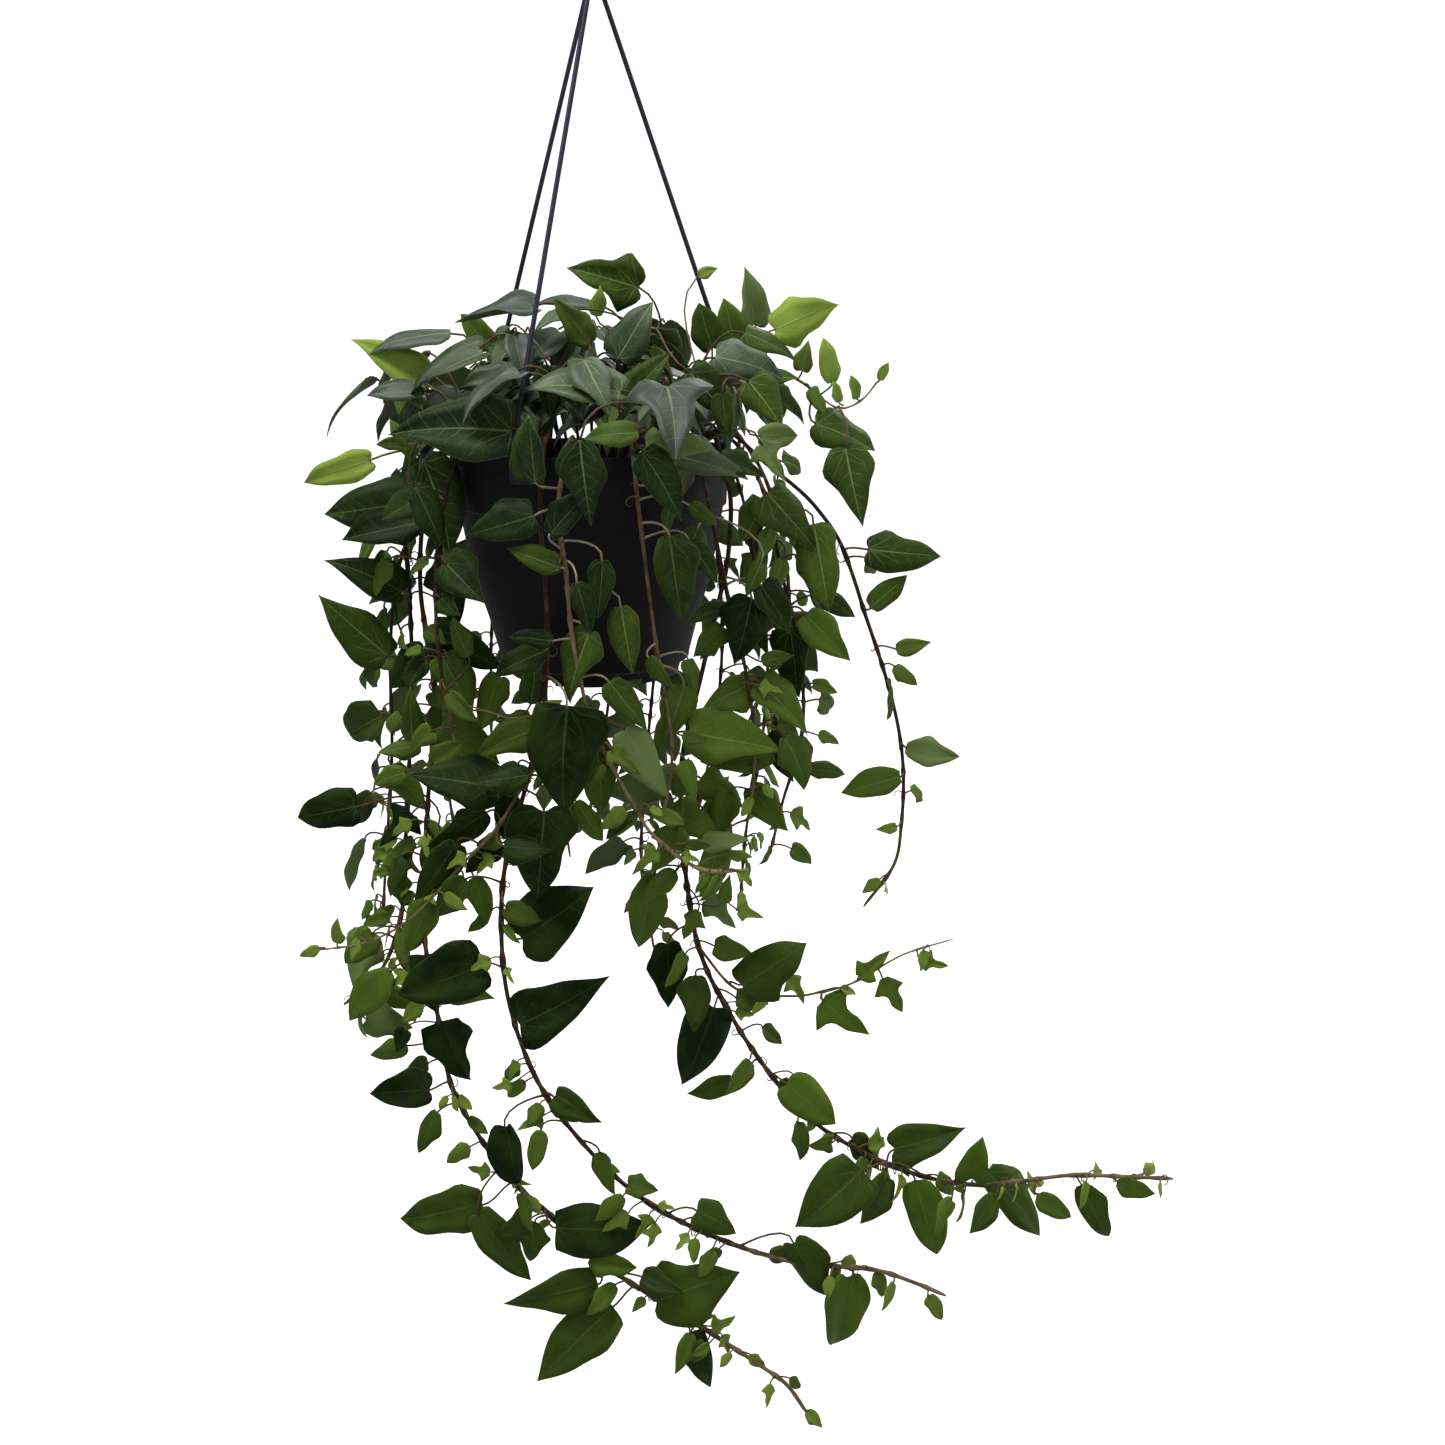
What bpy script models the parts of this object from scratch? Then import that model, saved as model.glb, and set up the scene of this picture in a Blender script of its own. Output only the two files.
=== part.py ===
"""A trailing ivy in a hanging nursery pot. Millimetres inside, metres in the scene, +Z up.

The origin is the inner crown of the hanger's hook. X runs right, Y away from the viewer.
"""
import math
import random

import bmesh
import bpy
from mathutils import Vector
from mathutils.bvhtree import BVHTree

MM = 0.001
UP = Vector((0.0, 0.0, 1.0))
VIEWER = Vector((0.0, -1.0, 0.0))      # towards the viewer

# Pot
POT_X = -8.0            # the vines' weight pulls the pot a little left of the hook
RIM_Z = -341.0
POT_HEIGHT = 156.0
BASE_Z = RIM_Z - POT_HEIGHT
POT_STEPS = 32
RIM_RADIUS = 96.0
RIM_INNER = 93.0
FOOT_HEIGHT = 5.0
# drain slots across the foot ring: their directions, length, width and height
SLOT_TURNS = (0.0, 60.0, 120.0)
SLOT_LENGTH = 150.0
SLOT_WIDTH = 16.0
SLOT_HEIGHT = 3.6
SLOT_BELOW = 2.0        # how far the cutter reaches under the base
# the pot's section as radius and height over the base: underside, outside, inside
POT_UNDERSIDE = ((0.0, FOOT_HEIGHT), (56.0, FOOT_HEIGHT), (56.0, 0.0))
POT_OUTSIDE = ((60.0, 0.0), (65.3, 11.0), (74.0, 41.0), (81.5, 65.0), (87.5, 94.0), (91.2, 116.5),
               (93.4, 118.0), (94.6, 146.0), (RIM_RADIUS, 147.0), (RIM_RADIUS, POT_HEIGHT))
POT_INSIDE = ((RIM_INNER, POT_HEIGHT), (91.4, 119.0), (89.2, 117.0), (85.4, 94.0), (71.9, 41.0),
              (60.0, 8.0), (0.0, 8.0))

# Soil, 0.4 mm inside the wall
SOIL_TOP = 139.0
SOIL_PROFILE = ((0.0, 8.4), (59.4, 8.4), (71.2, 41.5), (84.6, 94.5), (88.0, 116.0), (90.4, 121.0),
                (91.2, 135.0), (0.0, SOIL_TOP))
SOIL_Z = BASE_Z + SOIL_TOP
HOLE_DEPTH = 20.0
ROOT_END = 3.0          # the stem's foot stands this far above the hole's floor
NECK_RISE = 4.0         # it runs straight up to this height over the soil
HOLE_PLAY = 1.0
HOLE_SIDES = 6

# Hanger
HOOK_WIRE = 2.4
HOOK_BEND = 13.0
HOOK_ARC = range(200, -31, -18)      # degrees round the bend, from the open end
HOOK_NECK = ((5.0, 0.0, -22.0), (0.5, 0.0, -29.0))
HOOK_IN_COLLAR = 2.0
COLLAR_TOP = -38.0
COLLAR_BOTTOM = -48.0
COLLAR_RADIUS = 7.0
COLLAR_SIDES = 20
ROD_WIRE = 1.6
ROD_START = 3.8         # rods leave the collar this far from its middle
ROD_PLAY = 0.9          # under the collar, as the slanted end's upper edge then clears it
TOUCH = 0.3             # gap kept between pieces that touch
CLIP_GAP = 0.4          # between the clip and the rim's outside
CLIP_INNER_GAP = 1.0
CLIP_WIDTH = 10.0
CLIP_THICK = 2.4
CLIP_RISE = 19.0        # above the rim
CLIP_DROP = 17.0        # below the rim
CLIP_INNER_DROP = 9.0
ROD_IN_CLIP = 6.0       # the rod ends this far below the clip's top
ROD_BEND = 3.0          # and bends upright this far above it
# azimuth of each clip from the front towards +X, then bends of its rod on the way down
RODS = {
    "hanger_rod_front_left": (-23.0, ()),
    "hanger_rod_rear_left": (-126.0, ()),
    "hanger_rod_right": (106.0, ((72.0, 18.0, -246.0), (81.0, 22.0, -270.0))),
}

# Leaves
BLADE_THICK = 0.7
STALK_RADIUS = 0.9
STALK_ROOT = 0.45       # thinner where it enters the stem, so that it stays inside
CLEARANCE = 1.1         # kept between the leaves of different stems
# half outlines as share of the blade's length and of its half width, base to tip
FORMS = {
    "arrow": ((-0.10, 0.62), (0.17, 1.00), (0.60, 0.58)),
    "heart": ((-0.09, 0.66), (0.24, 1.00), (0.66, 0.64)),
    "lobed": ((-0.09, 0.48), (0.15, 1.00), (0.34, 0.56), (0.70, 0.36)),
    "spear": ((0.04, 0.78), (0.38, 1.00)),
    "bird": ((-0.05, 0.30), (0.20, 1.00), (0.40, 0.34)),
    "young": ((0.08, 0.78), (0.44, 1.00)),
}
WIDTHS = {"arrow": 0.62, "heart": 0.72, "lobed": 0.84, "spear": 0.52, "bird": 0.86, "young": 0.52}
FAN_AT = {"arrow": 0.34, "heart": 0.36, "lobed": 0.26, "spear": 0.36, "bird": 0.20, "young": 0.40}
# shares of the blade's length by which it arches, and its tip and edges droop
BLADE_ARCH = 1.4
TIP_DROOP = 1.2
EDGE_DROOP = 0.9
HEEL = 0.5              # the blade is this much thicker where the stalk leaves it
BENT_STALK = 34.0       # stalks longer than this are arched
LONGEST_STALK = 78.0
STALK_BACK = 0.30       # shares of the stalk's span: back along the blade, off it, and up
STALK_OFF = 0.06
STALK_RISE = 0.10
STALK_MIDDLE = 0.45     # where its bend lies on the straight way, and how near it is drawn to it
STALK_EASE = 0.35
LEAST_TURN = -0.1       # a stalk leaves its blade at a blunter angle than this cosine
SISTER_GAP = 0.2        # kept between the leaves of one stem
POT_GUARD = (62.0, 31.0, 4.0)        # radius kept free at the base, its growth, and beyond the rim
SOIL_GUARD = 2.0

# Stems
STEM_STEP = 27.0
STEM_TAPER = 0.45
ROOT_RADIUS = 66.0
CREST_RISE = 13.0       # hanging stems cross the rim this high, and this far inside its edge
CREST_IN = 4.0
SHOOT_THICK = 1.1
CROWN_THICK = 1.6
CROWN_BEND = (0.42, 0.72, 4.0)       # shares of a crown stem's reach and rise at its bend

# Choosing the place where a stalk leaves its stem
ROOT_STEPS = 60
FOLD_EASE = 0.35        # a stalk that turns back on its blade by more than this costs more
CLIMB_COST = 0.4        # and so does one that climbs to its blade
STIFFNESS = 4.0

# Leaves that are given one by one
LEAN = 0.25             # how far a blade leans back to face up
LEAN_STEP = 0.03
DEPTH_STEP = 2.0        # how far each further try moves it, by turns away and nearer
TIP_FORWARD = 0.12
BLADE_TWIST = 0.5
GIVEN_LIFT = 0.06
GIVEN_SIZE = 1.06       # blades are a little longer than they look, as they arch
GIVEN_STIFFNESS = (2.0, 7)           # the least, and how many further ones are tried by turns
OWN_TRIES = 40
OTHER_TRIES = 19
OWNERS = 5              # the best stems that a leaf is offered to

# Leaves that follow a rule: ranges that are drawn from, as shares or in degrees
OUTWARD = 0.75          # how far hanging leaves face away from the pot, and crown leaves reach out
CROWN_OUT = 0.8
HANGING_RULE = dict(to_viewer=(0.1, 0.75), reach=(0.35, 0.62), aside=(0.45, 0.95), out=(0.3, 0.8),
                    up=(-0.3, 0.35), turn=(5.0, 75.0), tip_out=(-0.1, 0.45), face_up=(0.0, 0.7),
                    face_aside=(-0.4, 0.4))
CROWN_RULE = dict(swing=(10.0, 70.0), reach=(0.35, 0.7), up=(0.05, 0.75), dip=(0.0, 45.0),
                  face_out=(0.2, 0.8), to_viewer=(0.0, 0.4))
BACK_Y = 40.0           # leaves behind this turn away from the viewer
BACK_TURN = -0.6
CROWN_DIP = 26.0        # further dip of the blades for each EDGE_REACH from the middle
EDGE_REACH = 90.0
MOST_DIP = 1.6
RULED_TRIES = 14
SAME_SIDE = 8           # tries before the leaf changes to the stem's other side
TRY_TURN = 4.0          # each try lets a leaf turn further and makes it smaller
TRY_REACH = 0.04
TRY_SHRINK = 0.025
LIFTS = (0.02, 0.10)
SIZES = (0.72, 1.22)
CROWN_SIZES = (0.75, 1.18)
TIP_SHARE = 0.86        # beyond this share of a stem its leaves are young
YOUNG_SIZE = 0.5
BARE_FOOT = 0.14        # share of a stem without leaves, and of a shoot
BARE_SHOOT = 0.12
SHOOT_SPACING = 1.15
CROWN_START = 0.30
CROWN_STEP = 0.9        # where in its stretch of a crown stem each leaf grows
STRETCH = (0.2, 0.8)    # and each leaf of a hanging one
LAST_SHARE = 0.99
FOOT_SIZE = 1.08        # size at a stem's foot, and how much of it is lost towards the tip
SIZE_LOSS = 0.30
OLD_FORMS = ("arrow", "spear", "spear", "heart", "spear")
YOUNG_FORMS = ("young", "young", "bird")
CROWN_FORMS = ("arrow", "heart", "heart", "arrow", "lobed")


# Hanging stems: azimuth where each leaves the soil, route outside the rim, thickness at its foot,
# spacing of the ruled leaves, their length, and the share of the route where they begin.
HANGING = {
    "stem_left_outer": dict(azimuth=-81, thick=1.7, spacing=44, size=40, start=0.16, route=(
        (-133, -20, -365), (-133, -26, -420), (-132, -32, -480), (-136, -40, -554),
        (-141, -48, -620), (-144, -54, -660), (-158, -60, -700), (-187, -64, -728))),
    "stem_left_long": dict(azimuth=-68, thick=1.9, spacing=48, size=38, start=0.10, route=(
        (-114, -46, -372), (-120, -50, -435), (-112, -61, -498), (-119, -66, -574),
        (-122, -76, -629), (-123, -82, -671), (-113, -90, -740), (-104, -98, -781),
        (-69, -108, -837), (-42, -113, -862), (5, -124, -902), (68, -134, -941),
        (128, -142, -982), (143, -145, -1004))),
    "stem_front_long": dict(azimuth=-12, thick=1.9, spacing=54, size=38, start=0.22, route=(
        (-31, -108, -372), (-29, -106, -440), (-33, -106, -500), (-44, -104, -545),
        (-60, -106, -600), (-65, -110, -640), (-63, -113, -695), (-48, -116, -750),
        (-23, -119, -793), (19, -122, -840), (67, -125, -870), (128, -128, -892),
        (190, -130, -898), (239, -132, -917))),
    "stem_front_tan": dict(azimuth=-2, thick=1.6, spacing=60, size=30, start=0.42, route=(
        (-19, -116, -368), (-15, -117, -410), (-12, -117, -452), (0, -119, -511),
        (18, -121, -547), (39, -123, -582), (68, -125, -603), (98, -127, -603))),
    "stem_right_long": dict(azimuth=62, thick=1.9, spacing=46, size=36, start=0.12, route=(
        (88, -57, -372), (86, -60, -410), (66, -66, -497), (55, -72, -546), (56, -76, -610),
        (66, -80, -677), (84, -85, -717), (109, -90, -758), (149, -94, -805), (209, -99, -838),
        (266, -103, -848), (324, -107, -838), (398, -111, -838))),
    "stem_right_outer": dict(azimuth=76, thick=1.6, spacing=60, size=30, start=0.02, route=(
        (112, -30, -350), (135, -32, -368), (161, -34, -400), (180, -37, -451),
        (200, -40, -511), (209, -43, -566), (204, -45, -629), (183, -47, -660))),
    "stem_right_inner": dict(azimuth=92, thick=1.5, spacing=40, size=38, start=0.05, route=(
        (112, -4, -362), (127, -10, -420), (129, -16, -455), (116, -22, -495), (94, -28, -545))),
    "stem_right_front": dict(azimuth=48, thick=1.5, spacing=46, size=40, start=0.08, route=(
        (74, -84, -372), (86, -86, -430), (98, -88, -480), (104, -90, -530), (100, -92, -580))),
    "stem_right_middle": dict(azimuth=70, thick=1.5, spacing=42, size=42, start=0.05, root=50,
        route=((108, -44, -362), (122, -50, -420), (134, -56, -470), (137, -62, -525),
               (124, -66, -575), (116, -68, -610))),
    "stem_right_rear": dict(azimuth=120, thick=1.5, spacing=42, size=42, start=0.08, route=(
        (94, 54, -370), (108, 52, -440), (116, 42, -500), (112, 32, -560), (100, 24, -630),
        (96, 18, -690))),
    "stem_left_rear": dict(azimuth=-95, thick=1.5, spacing=42, size=44, start=0.08, route=(
        (-124, 8, -370), (-148, 10, -430), (-156, 8, -490), (-158, 4, -560), (-166, 0, -640),
        (-170, -6, -690))),
    "stem_left_front": dict(azimuth=-52, thick=1.5, spacing=46, size=40, start=0.08, route=(
        (-97, -72, -370), (-104, -82, -430), (-100, -90, -490), (-90, -94, -545))),
    "stem_front_right": dict(azimuth=20, thick=1.4, spacing=62, size=36, start=0.30, route=(
        (30, -109, -368), (36, -112, -420), (42, -110, -470), (50, -108, -525), (44, -104, -570))),
    "stem_back_right": dict(azimuth=136, thick=1.5, spacing=48, size=44, start=0.08, route=(
        (70, 80, -370), (80, 90, -440), (82, 94, -510), (74, 96, -580), (60, 98, -650))),
    "stem_back_long": dict(azimuth=158, thick=1.6, spacing=52, size=44, start=0.08, route=(
        (34, 103, -370), (36, 112, -450), (28, 116, -530), (20, 118, -610), (16, 116, -690),
        (26, 108, -760))),
    "stem_back_middle": dict(azimuth=180, thick=1.5, spacing=46, size=42, start=0.10, route=(
        (-8, 108, -370), (-6, 110, -440), (-4, 98, -510), (-10, 80, -570), (-24, 62, -640))),
    "stem_back_left": dict(azimuth=-158, thick=1.5, spacing=50, size=44, start=0.08, route=(
        (-50, 103, -370), (-58, 112, -440), (-60, 116, -520), (-52, 116, -600),
        (-42, 112, -680))),
    "stem_rear_left": dict(azimuth=-141, thick=1.4, spacing=46, size=42, start=0.08, route=(
        (-79, 85, -370), (-92, 94, -440), (-98, 98, -510), (-100, 96, -575))),
    "stem_left_back": dict(azimuth=-109, thick=1.5, spacing=46, size=42, start=0.08, route=(
        (-113, 38, -370), (-126, 46, -440), (-132, 46, -510), (-128, 42, -580),
        (-120, 38, -640))),
}

# Routes of the side shoots, fused to the stem they grow from
SHOOTS = {
    "stem_right_long": ((69, -81, -685), (93, -84, -707), (130, -86, -711), (173, -90, -699),
                        (206, -93, -677), (240, -96, -664)),
    "stem_front_long": ((-40, -105, -535), (-62, -110, -575), (-90, -108, -606),
                        (-129, -102, -648), (-165, -96, -668), (-205, -90, -675)),
}

# Crown stems: azimuth, where the root stands, how far out and how high over the rim they reach,
# number of leaves and their length.
CROWN = {
    "stem_crown_top": (10, 8, 20, 82, 6, 54),
    "stem_crown_front": (-6, 34, 92, 44, 4, 56),
    "stem_crown_front_left": (-43, 45, 118, 30, 4, 60),
    "stem_crown_front_right": (30, 45, 116, 30, 4, 56),
    "stem_crown_left": (-74, 42, 136, 40, 5, 64),
    "stem_crown_right": (58, 40, 124, 44, 5, 58),
    "stem_crown_far_left": (-101, 36, 138, 34, 6, 58),
    "stem_crown_far_right": (86, 30, 130, 40, 6, 56),
    "stem_crown_rear_right": (146, 42, 122, 32, 6, 56),
    "stem_crown_rear_left": (-149, 42, 122, 34, 6, 56),
    "stem_crown_rear": (178, 46, 118, 28, 6, 56),
    "stem_crown_high_right": (47, 21, 62, 78, 5, 54),
    "stem_crown_high_left": (-52, 21, 62, 74, 5, 54),
    "stem_crown_high_rear": (128, 22, 64, 68, 5, 54),
    "stem_crown_high_back": (-128, 20, 56, 72, 5, 54),
}
# A thin runner that arches out of the crown on the right, with small pale leaves.
RUNNER = dict(azimuth=84, root=55, thick=1.2, route=(
    (84, -12, -318), (110, -18, -290), (134, -22, -296), (158, -26, -313), (174, -28, -309),
    (186, -30, -295)))

# Leaves placed one by one, as seen from the front: blade base x, z and tip x, z, then depth y.
PLACED = {
    "stem_front_long": (
        (-16, -494, -25, -562, -122, "heart"), (-33, -565, -38, -622, -116, "heart"),
        (-51, -654, -3, -622, -120, "heart"), (-56, -717, 4, -685, -124, "arrow"),
        (-79, -677, -132, -699, -112, "heart"), (-67, -793, -58, -837, -122, "arrow"),
        (132, -877, 158, -919, -132, "arrow"), (-192, -671, -206, -678, -94, "young"),
        (-180, -668, -179, -650, -96, "young"),
        (172, -904, 164, -958, -134, "heart"), (-2, -810, 6, -841, -124, "spear"),
        (-36, -352, -37, -316, -118, "heart"), (226, -915, 236, -934, -134, "young")),
    "stem_left_long": (
        (-101, -416, -93, -453, -64, "lobed"), (-33, -866, 29, -864, -128, "arrow"),
        (-113, -726, -95, -769, -98, "heart"), (-122, -777, -161, -775, -98, "heart"),
        (-86, -857, -142, -865, -114, "arrow"), (-88, -861, -54, -909, -114, "arrow"),
        (-5, -911, -68, -925, -130, "arrow"), (5, -928, -49, -979, -132, "heart"),
        (36, -923, 90, -894, -140, "heart"), (60, -940, 75, -982, -146, "young"),
        (142, -1000, 154, -1012, -146, "young")),
    "stem_left_outer": (
        (-173, -585, -212, -593, -48, "heart"), (-134, -434, -179, -408, -42, "arrow"),
        (-146, -478, -188, -439, -44, "arrow"), (-125, -373, -178, -385, -44, "heart"),
        (-112, -345, -92, -402, -52, "arrow")),
    "stem_right_long": (
        (36, -622, 25, -674, -84, "spear"), (45, -672, 47, -717, -86, "arrow"),
        (96, -700, 137, -669, -92, "arrow"), (77, -717, 55, -774, -92, "arrow"),
        (91, -772, 60, -783, -94, "spear"), (127, -772, 160, -800, -98, "heart"),
        (178, -822, 136, -866, -102, "arrow"), (203, -822, 251, -808, -106, "arrow"),
        (218, -842, 233, -899, -108, "spear"), (258, -842, 261, -811, -108, "heart"),
        (273, -849, 316, -892, -110, "spear"), (302, -848, 326, -867, -114, "young"),
        (334, -842, 354, -883, -112, "spear"), (358, -838, 384, -850, -114, "young"),
        (130, -704, 142, -722, -90, "bird"), (152, -712, 184, -737, -92, "bird"),
        (176, -694, 194, -674, -92, "bird"), (193, -695, 207, -718, -94, "bird"),
        (217, -679, 236, -684, -96, "bird")),
    "stem_right_outer": (
        (180, -405, 226, -410, -48, "arrow"), (182, -446, 204, -423, -46, "young"),
        (200, -473, 223, -468, -48, "young"), (199, -484, 214, -498, -48, "young"),
        (209, -542, 244, -550, -50, "spear"), (206, -563, 167, -571, -50, "spear"),
        (205, -599, 191, -602, -50, "young"), (194, -637, 181, -646, -52, "young")),
    "stem_front_tan": (
        (-33, -374, -72, -387, -121, "arrow"), (-24, -385, 0, -358, -124, "spear"),
        (-17, -406, -48, -394, -124, "spear"), (8, -401, 6, -436, -124, "spear"),
        (-2, -449, -17, -491, -128, "arrow"), (19, -430, 27, -470, -126, "spear"),
        (20, -509, 46, -551, -130, "spear")),
    "stem_front_right": (
        (34, -334, 60, -371, -122, "arrow"), (50, -386, 56, -438, -122, "spear")),
    "stem_right_middle": (
        (142, -386, 154, -441, -64, "spear"), (112, -366, 144, -404, -60, "arrow")),
    "runner_right": (
        (160, -310, 157, -296, -30, "young"), (172, -308, 168, -293, -31, "young"),
        (186, -296, 190, -284, -32, "young"), (140, -300, 152, -316, -30, "young")),
}

# More leaves in the same form, and how far each leans back. Each grows from the stem that suits
# it best.
GIVEN = (
    # over the soil and the rim
    (-48, -322, -119, -316, -100, "arrow", 0.5), (20, -300, -36, -290, -92, "arrow", 0.8),
    (-71, -274, -121, -296, -66, "arrow", 1.2), (-39, -248, -88, -254, -40, "arrow", 2),
    (-3, -247, -40, -243, -22, "spear", 1.8), (-93, -265, -143, -271, -46, "spear", 2.5),
    (-111, -296, -154, -269, -60, "arrow", 0.3), (-71, -273, -89, -255, -26, "heart", 0.2),
    (-27, -286, -28, -316, -80, "heart", 0.3), (-31, -352, -32, -316, -126, "heart", 0.1),
    (-119, -334, -129, -320, -76, "spear", 0.2), (-146, -345, -188, -358, -62, "arrow", 0.3),
    (26, -235, -20, -222, 16, "lobed", 0.2), (15, -281, 36, -248, -48, "heart", 0.4),
    (76, -314, 28, -313, -72, "arrow", 0.5),
    (20, -306, 50, -280, -84, "spear", 0.3), (62, -289, 85, -313, -86, "heart", 0.5),
    (82, -301, 85, -327, -94, "spear", 0.2), (76, -275, 67, -248, -30, "heart", 0.1),
    (90, -272, 86, -244, -2, "heart", 0.1), (105, -260, 100, -224, 8, "arrow", 0.1),
    (117, -263, 156, -247, -22, "arrow", 0.3), (155, -297, 149, -270, -26, "spear", 0.1),
    (135, -289, 139, -271, -32, "heart", 0.1), (97, -265, 130, -280, -40, "arrow", 0.8),
    (78, -280, 120, -288, -64, "arrow", 0.6), (104, -294, 130, -293, -56, "arrow", 0.6),
    (99, -294, 121, -320, -78, "heart", 0.3), (116, -302, 137, -319, -60, "lobed", 0.5),
    (106, -328, 128, -326, -92, "heart", 0.3), (107, -332, 120, -355, -98, "bird", 0.3),
    (144, -323, 183, -336, -46, "heart", 0.3), (164, -338, 172, -387, -50, "arrow", 0.1),
    (32, -323, -2, -324, -114, "spear", 0.4), (35, -332, 73, -332, -116, "spear", 0.4),
    (38, -334, 31, -346, -122, "young", 0.2), (46, -336, 96, -350, -108, "spear", 0.4),
    (-18, -252, -39, -261, -62, "arrow", 0.8), (-1, -272, -20, -244, -72, "spear", 0.1),
    (1, -255, 4, -237, -58, "young", 0.1), (-51, -291, -80, -294, -80, "arrow", 0.8),
    (-108, -301, -142, -301, -72, "spear", 0.8), (-3, -327, 1, -376, -118, "spear", 0.1),
    # right of the pot and below it
    (82, -342, 109, -350, -100, "arrow", 0.4), (62, -368, 77, -381, -114, "spear", 0.2),
    (50, -368, 47, -387, -112, "spear", 0.2), (62, -391, 79, -415, -112, "spear", 0.2),
    (102, -431, 93, -472, -92, "heart", 0.1), (105, -436, 108, -467, -84, "spear", 0.1),
    (127, -455, 134, -500, -70, "arrow", 0.1), (138, -445, 166, -475, -66, "arrow", 0.2),
    (118, -458, 156, -455, -56, "spear", 0.4), (86, -436, 60, -443, -104, "spear", 0.6),
    (82, -449, 66, -469, -96, "heart", 0.2), (104, -488, 69, -503, -94, "arrow", 0.2),
    (108, -488, 141, -516, -76, "arrow", 0.2), (36, -463, 51, -482, -122, "spear", 0.2),
    (58, -487, 46, -524, -100, "arrow", 0.1), (122, -408, 115, -435, -70, "spear", 0.1),
    (107, -408, 98, -428, -94, "arrow", 0.2), (61, -517, 118, -528, -94, "arrow", 0.5),
    (117, -537, 71, -543, -84, "spear", 0.4), (112, -529, 129, -559, -70, "lobed", 0.2),
    (102, -562, 123, -593, -80, "arrow", 0.2), (87, -564, 83, -590, -84, "heart", 0.1),
    (50, -577, 80, -587, -92, "heart", 0.3), (52, -562, 61, -537, -98, "spear", 0.1),
    (23, -543, 40, -572, -104, "heart", 0.2), (27, -564, 8, -581, -110, "spear", 0.4),
    (52, -581, 38, -612, -98, "lobed", 0.1), (69, -593, 98, -590, -100, "spear", 0.6),
    (86, -604, 102, -604, -96, "young", 0.4), (80, -599, 72, -635, -92, "arrow", 0.1),
    (11, -478, 33, -508, -122, "spear", 0.2), (84, -637, 87, -618, -98, "spear", 0.1),
    (93, -642, 110, -645, -94, "bird", 0.3), (77, -671, 101, -676, -92, "heart", 0.4),
    (66, -647, 56, -667, -96, "bird", 0.2),
    # left of the pot and below it
    (-119, -473, -140, -500, -50, "heart", 0.1), (-113, -461, -68, -479, -58, "arrow", 0.3),
    (-86, -473, -97, -449, -72, "spear", 0.1), (-104, -474, -84, -512, -64, "arrow", 0.1),
    (-67, -488, -81, -521, -72, "heart", 0.1), (-29, -459, -62, -475, -112, "spear", 0.5),
    (-24, -453, -50, -450, -118, "spear", 0.5), (-6, -412, 3, -442, -124, "spear", 0.1),
    (-114, -359, -95, -393, -84, "spear", 0.1), (-119, -385, -166, -395, -56, "arrow", 0.6),
    (-128, -533, -127, -498, -64, "spear", 0.1), (-124, -539, -152, -541, -56, "spear", 0.4),
    (-112, -521, -108, -501, -74, "spear", 0.1), (-112, -523, -70, -545, -66, "arrow", 0.3),
    (-109, -539, -91, -526, -92, "heart", 0.2), (-62, -554, -119, -542, -104, "arrow", 0.4),
    (-41, -540, -76, -544, -116, "spear", 0.4), (-43, -520, -81, -532, -88, "arrow", 0.4),
    (-45, -516, -69, -514, -80, "spear", 0.4), (-144, -552, -123, -582, -60, "spear", 0.1),
    (-13, -561, 4, -586, -112, "spear", 0.2), (1, -521, 8, -566, -112, "arrow", 0.1),
    (-131, -585, -154, -608, -62, "bird", 0.1), (-113, -593, -124, -630, -72, "spear", 0.1),
    (-75, -575, -111, -601, -92, "spear", 0.1), (-94, -593, -119, -633, -88, "spear", 0.1),
    (-59, -559, -66, -592, -108, "spear", 0.1),
    (-56, -583, -28, -585, -124, "heart", 0.3), (-65, -595, -91, -612, -98, "spear", 0.3),
    (-134, -647, -148, -638, -66, "heart", 0.3), (-153, -663, -169, -667, -60, "heart", 0.3),
    (-118, -644, -137, -680, -80, "arrow", 0.1), (-162, -671, -181, -694, -70, "heart", 0.1),
    (-93, -625, -112, -647, -92, "arrow", 0.1), (-84, -619, -76, -651, -100, "spear", 0.1),
    (-77, -649, -90, -661, -104, "spear", 0.1), (-60, -631, -39, -641, -120, "heart", 0.2),
    (-36, -501, -22, -492, -110, "young", 0.1), (-42, -499, -35, -467, -112, "young", 0.1),
)

# Materials: colour, roughness
POT_PLASTIC = ((0.019, 0.020, 0.021), 0.42)
HANGER_PLASTIC = ((0.030, 0.032, 0.045), 0.35)
PEAT = ((0.030, 0.020, 0.013), 0.95)
FOLIAGE = ((0.055, 0.115, 0.030), 0.45)
PALE_FOLIAGE = ((0.14, 0.24, 0.05), 0.45)


# Scene set-up and shared helpers

def clear_scene():
    for item in list(bpy.data.objects):
        bpy.data.objects.remove(item, do_unlink=True)


def make_collection(name):
    collection = bpy.data.collections.new(name)
    bpy.context.scene.collection.children.link(collection)
    return collection


def make_material(name, look):
    colour, roughness = look
    material = bpy.data.materials.new(name)
    material.use_nodes = True
    shader = material.node_tree.nodes["Principled BSDF"]
    shader.inputs["Base Color"].default_value = (*colour, 1.0)
    shader.inputs["Roughness"].default_value = roughness
    shader.inputs["Metallic"].default_value = 0.0
    material.diffuse_color = (*colour, 1.0)
    return material


def add_object(name, mesh, collection, material=None):
    item = bpy.data.objects.new(name, mesh)
    collection.objects.link(item)
    if material:
        mesh.materials.clear()
        mesh.materials.append(material)
    return item


def make_active(item):
    for other in bpy.context.selected_objects:
        other.select_set(False)
    bpy.context.view_layer.objects.active = item
    item.select_set(True)


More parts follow.
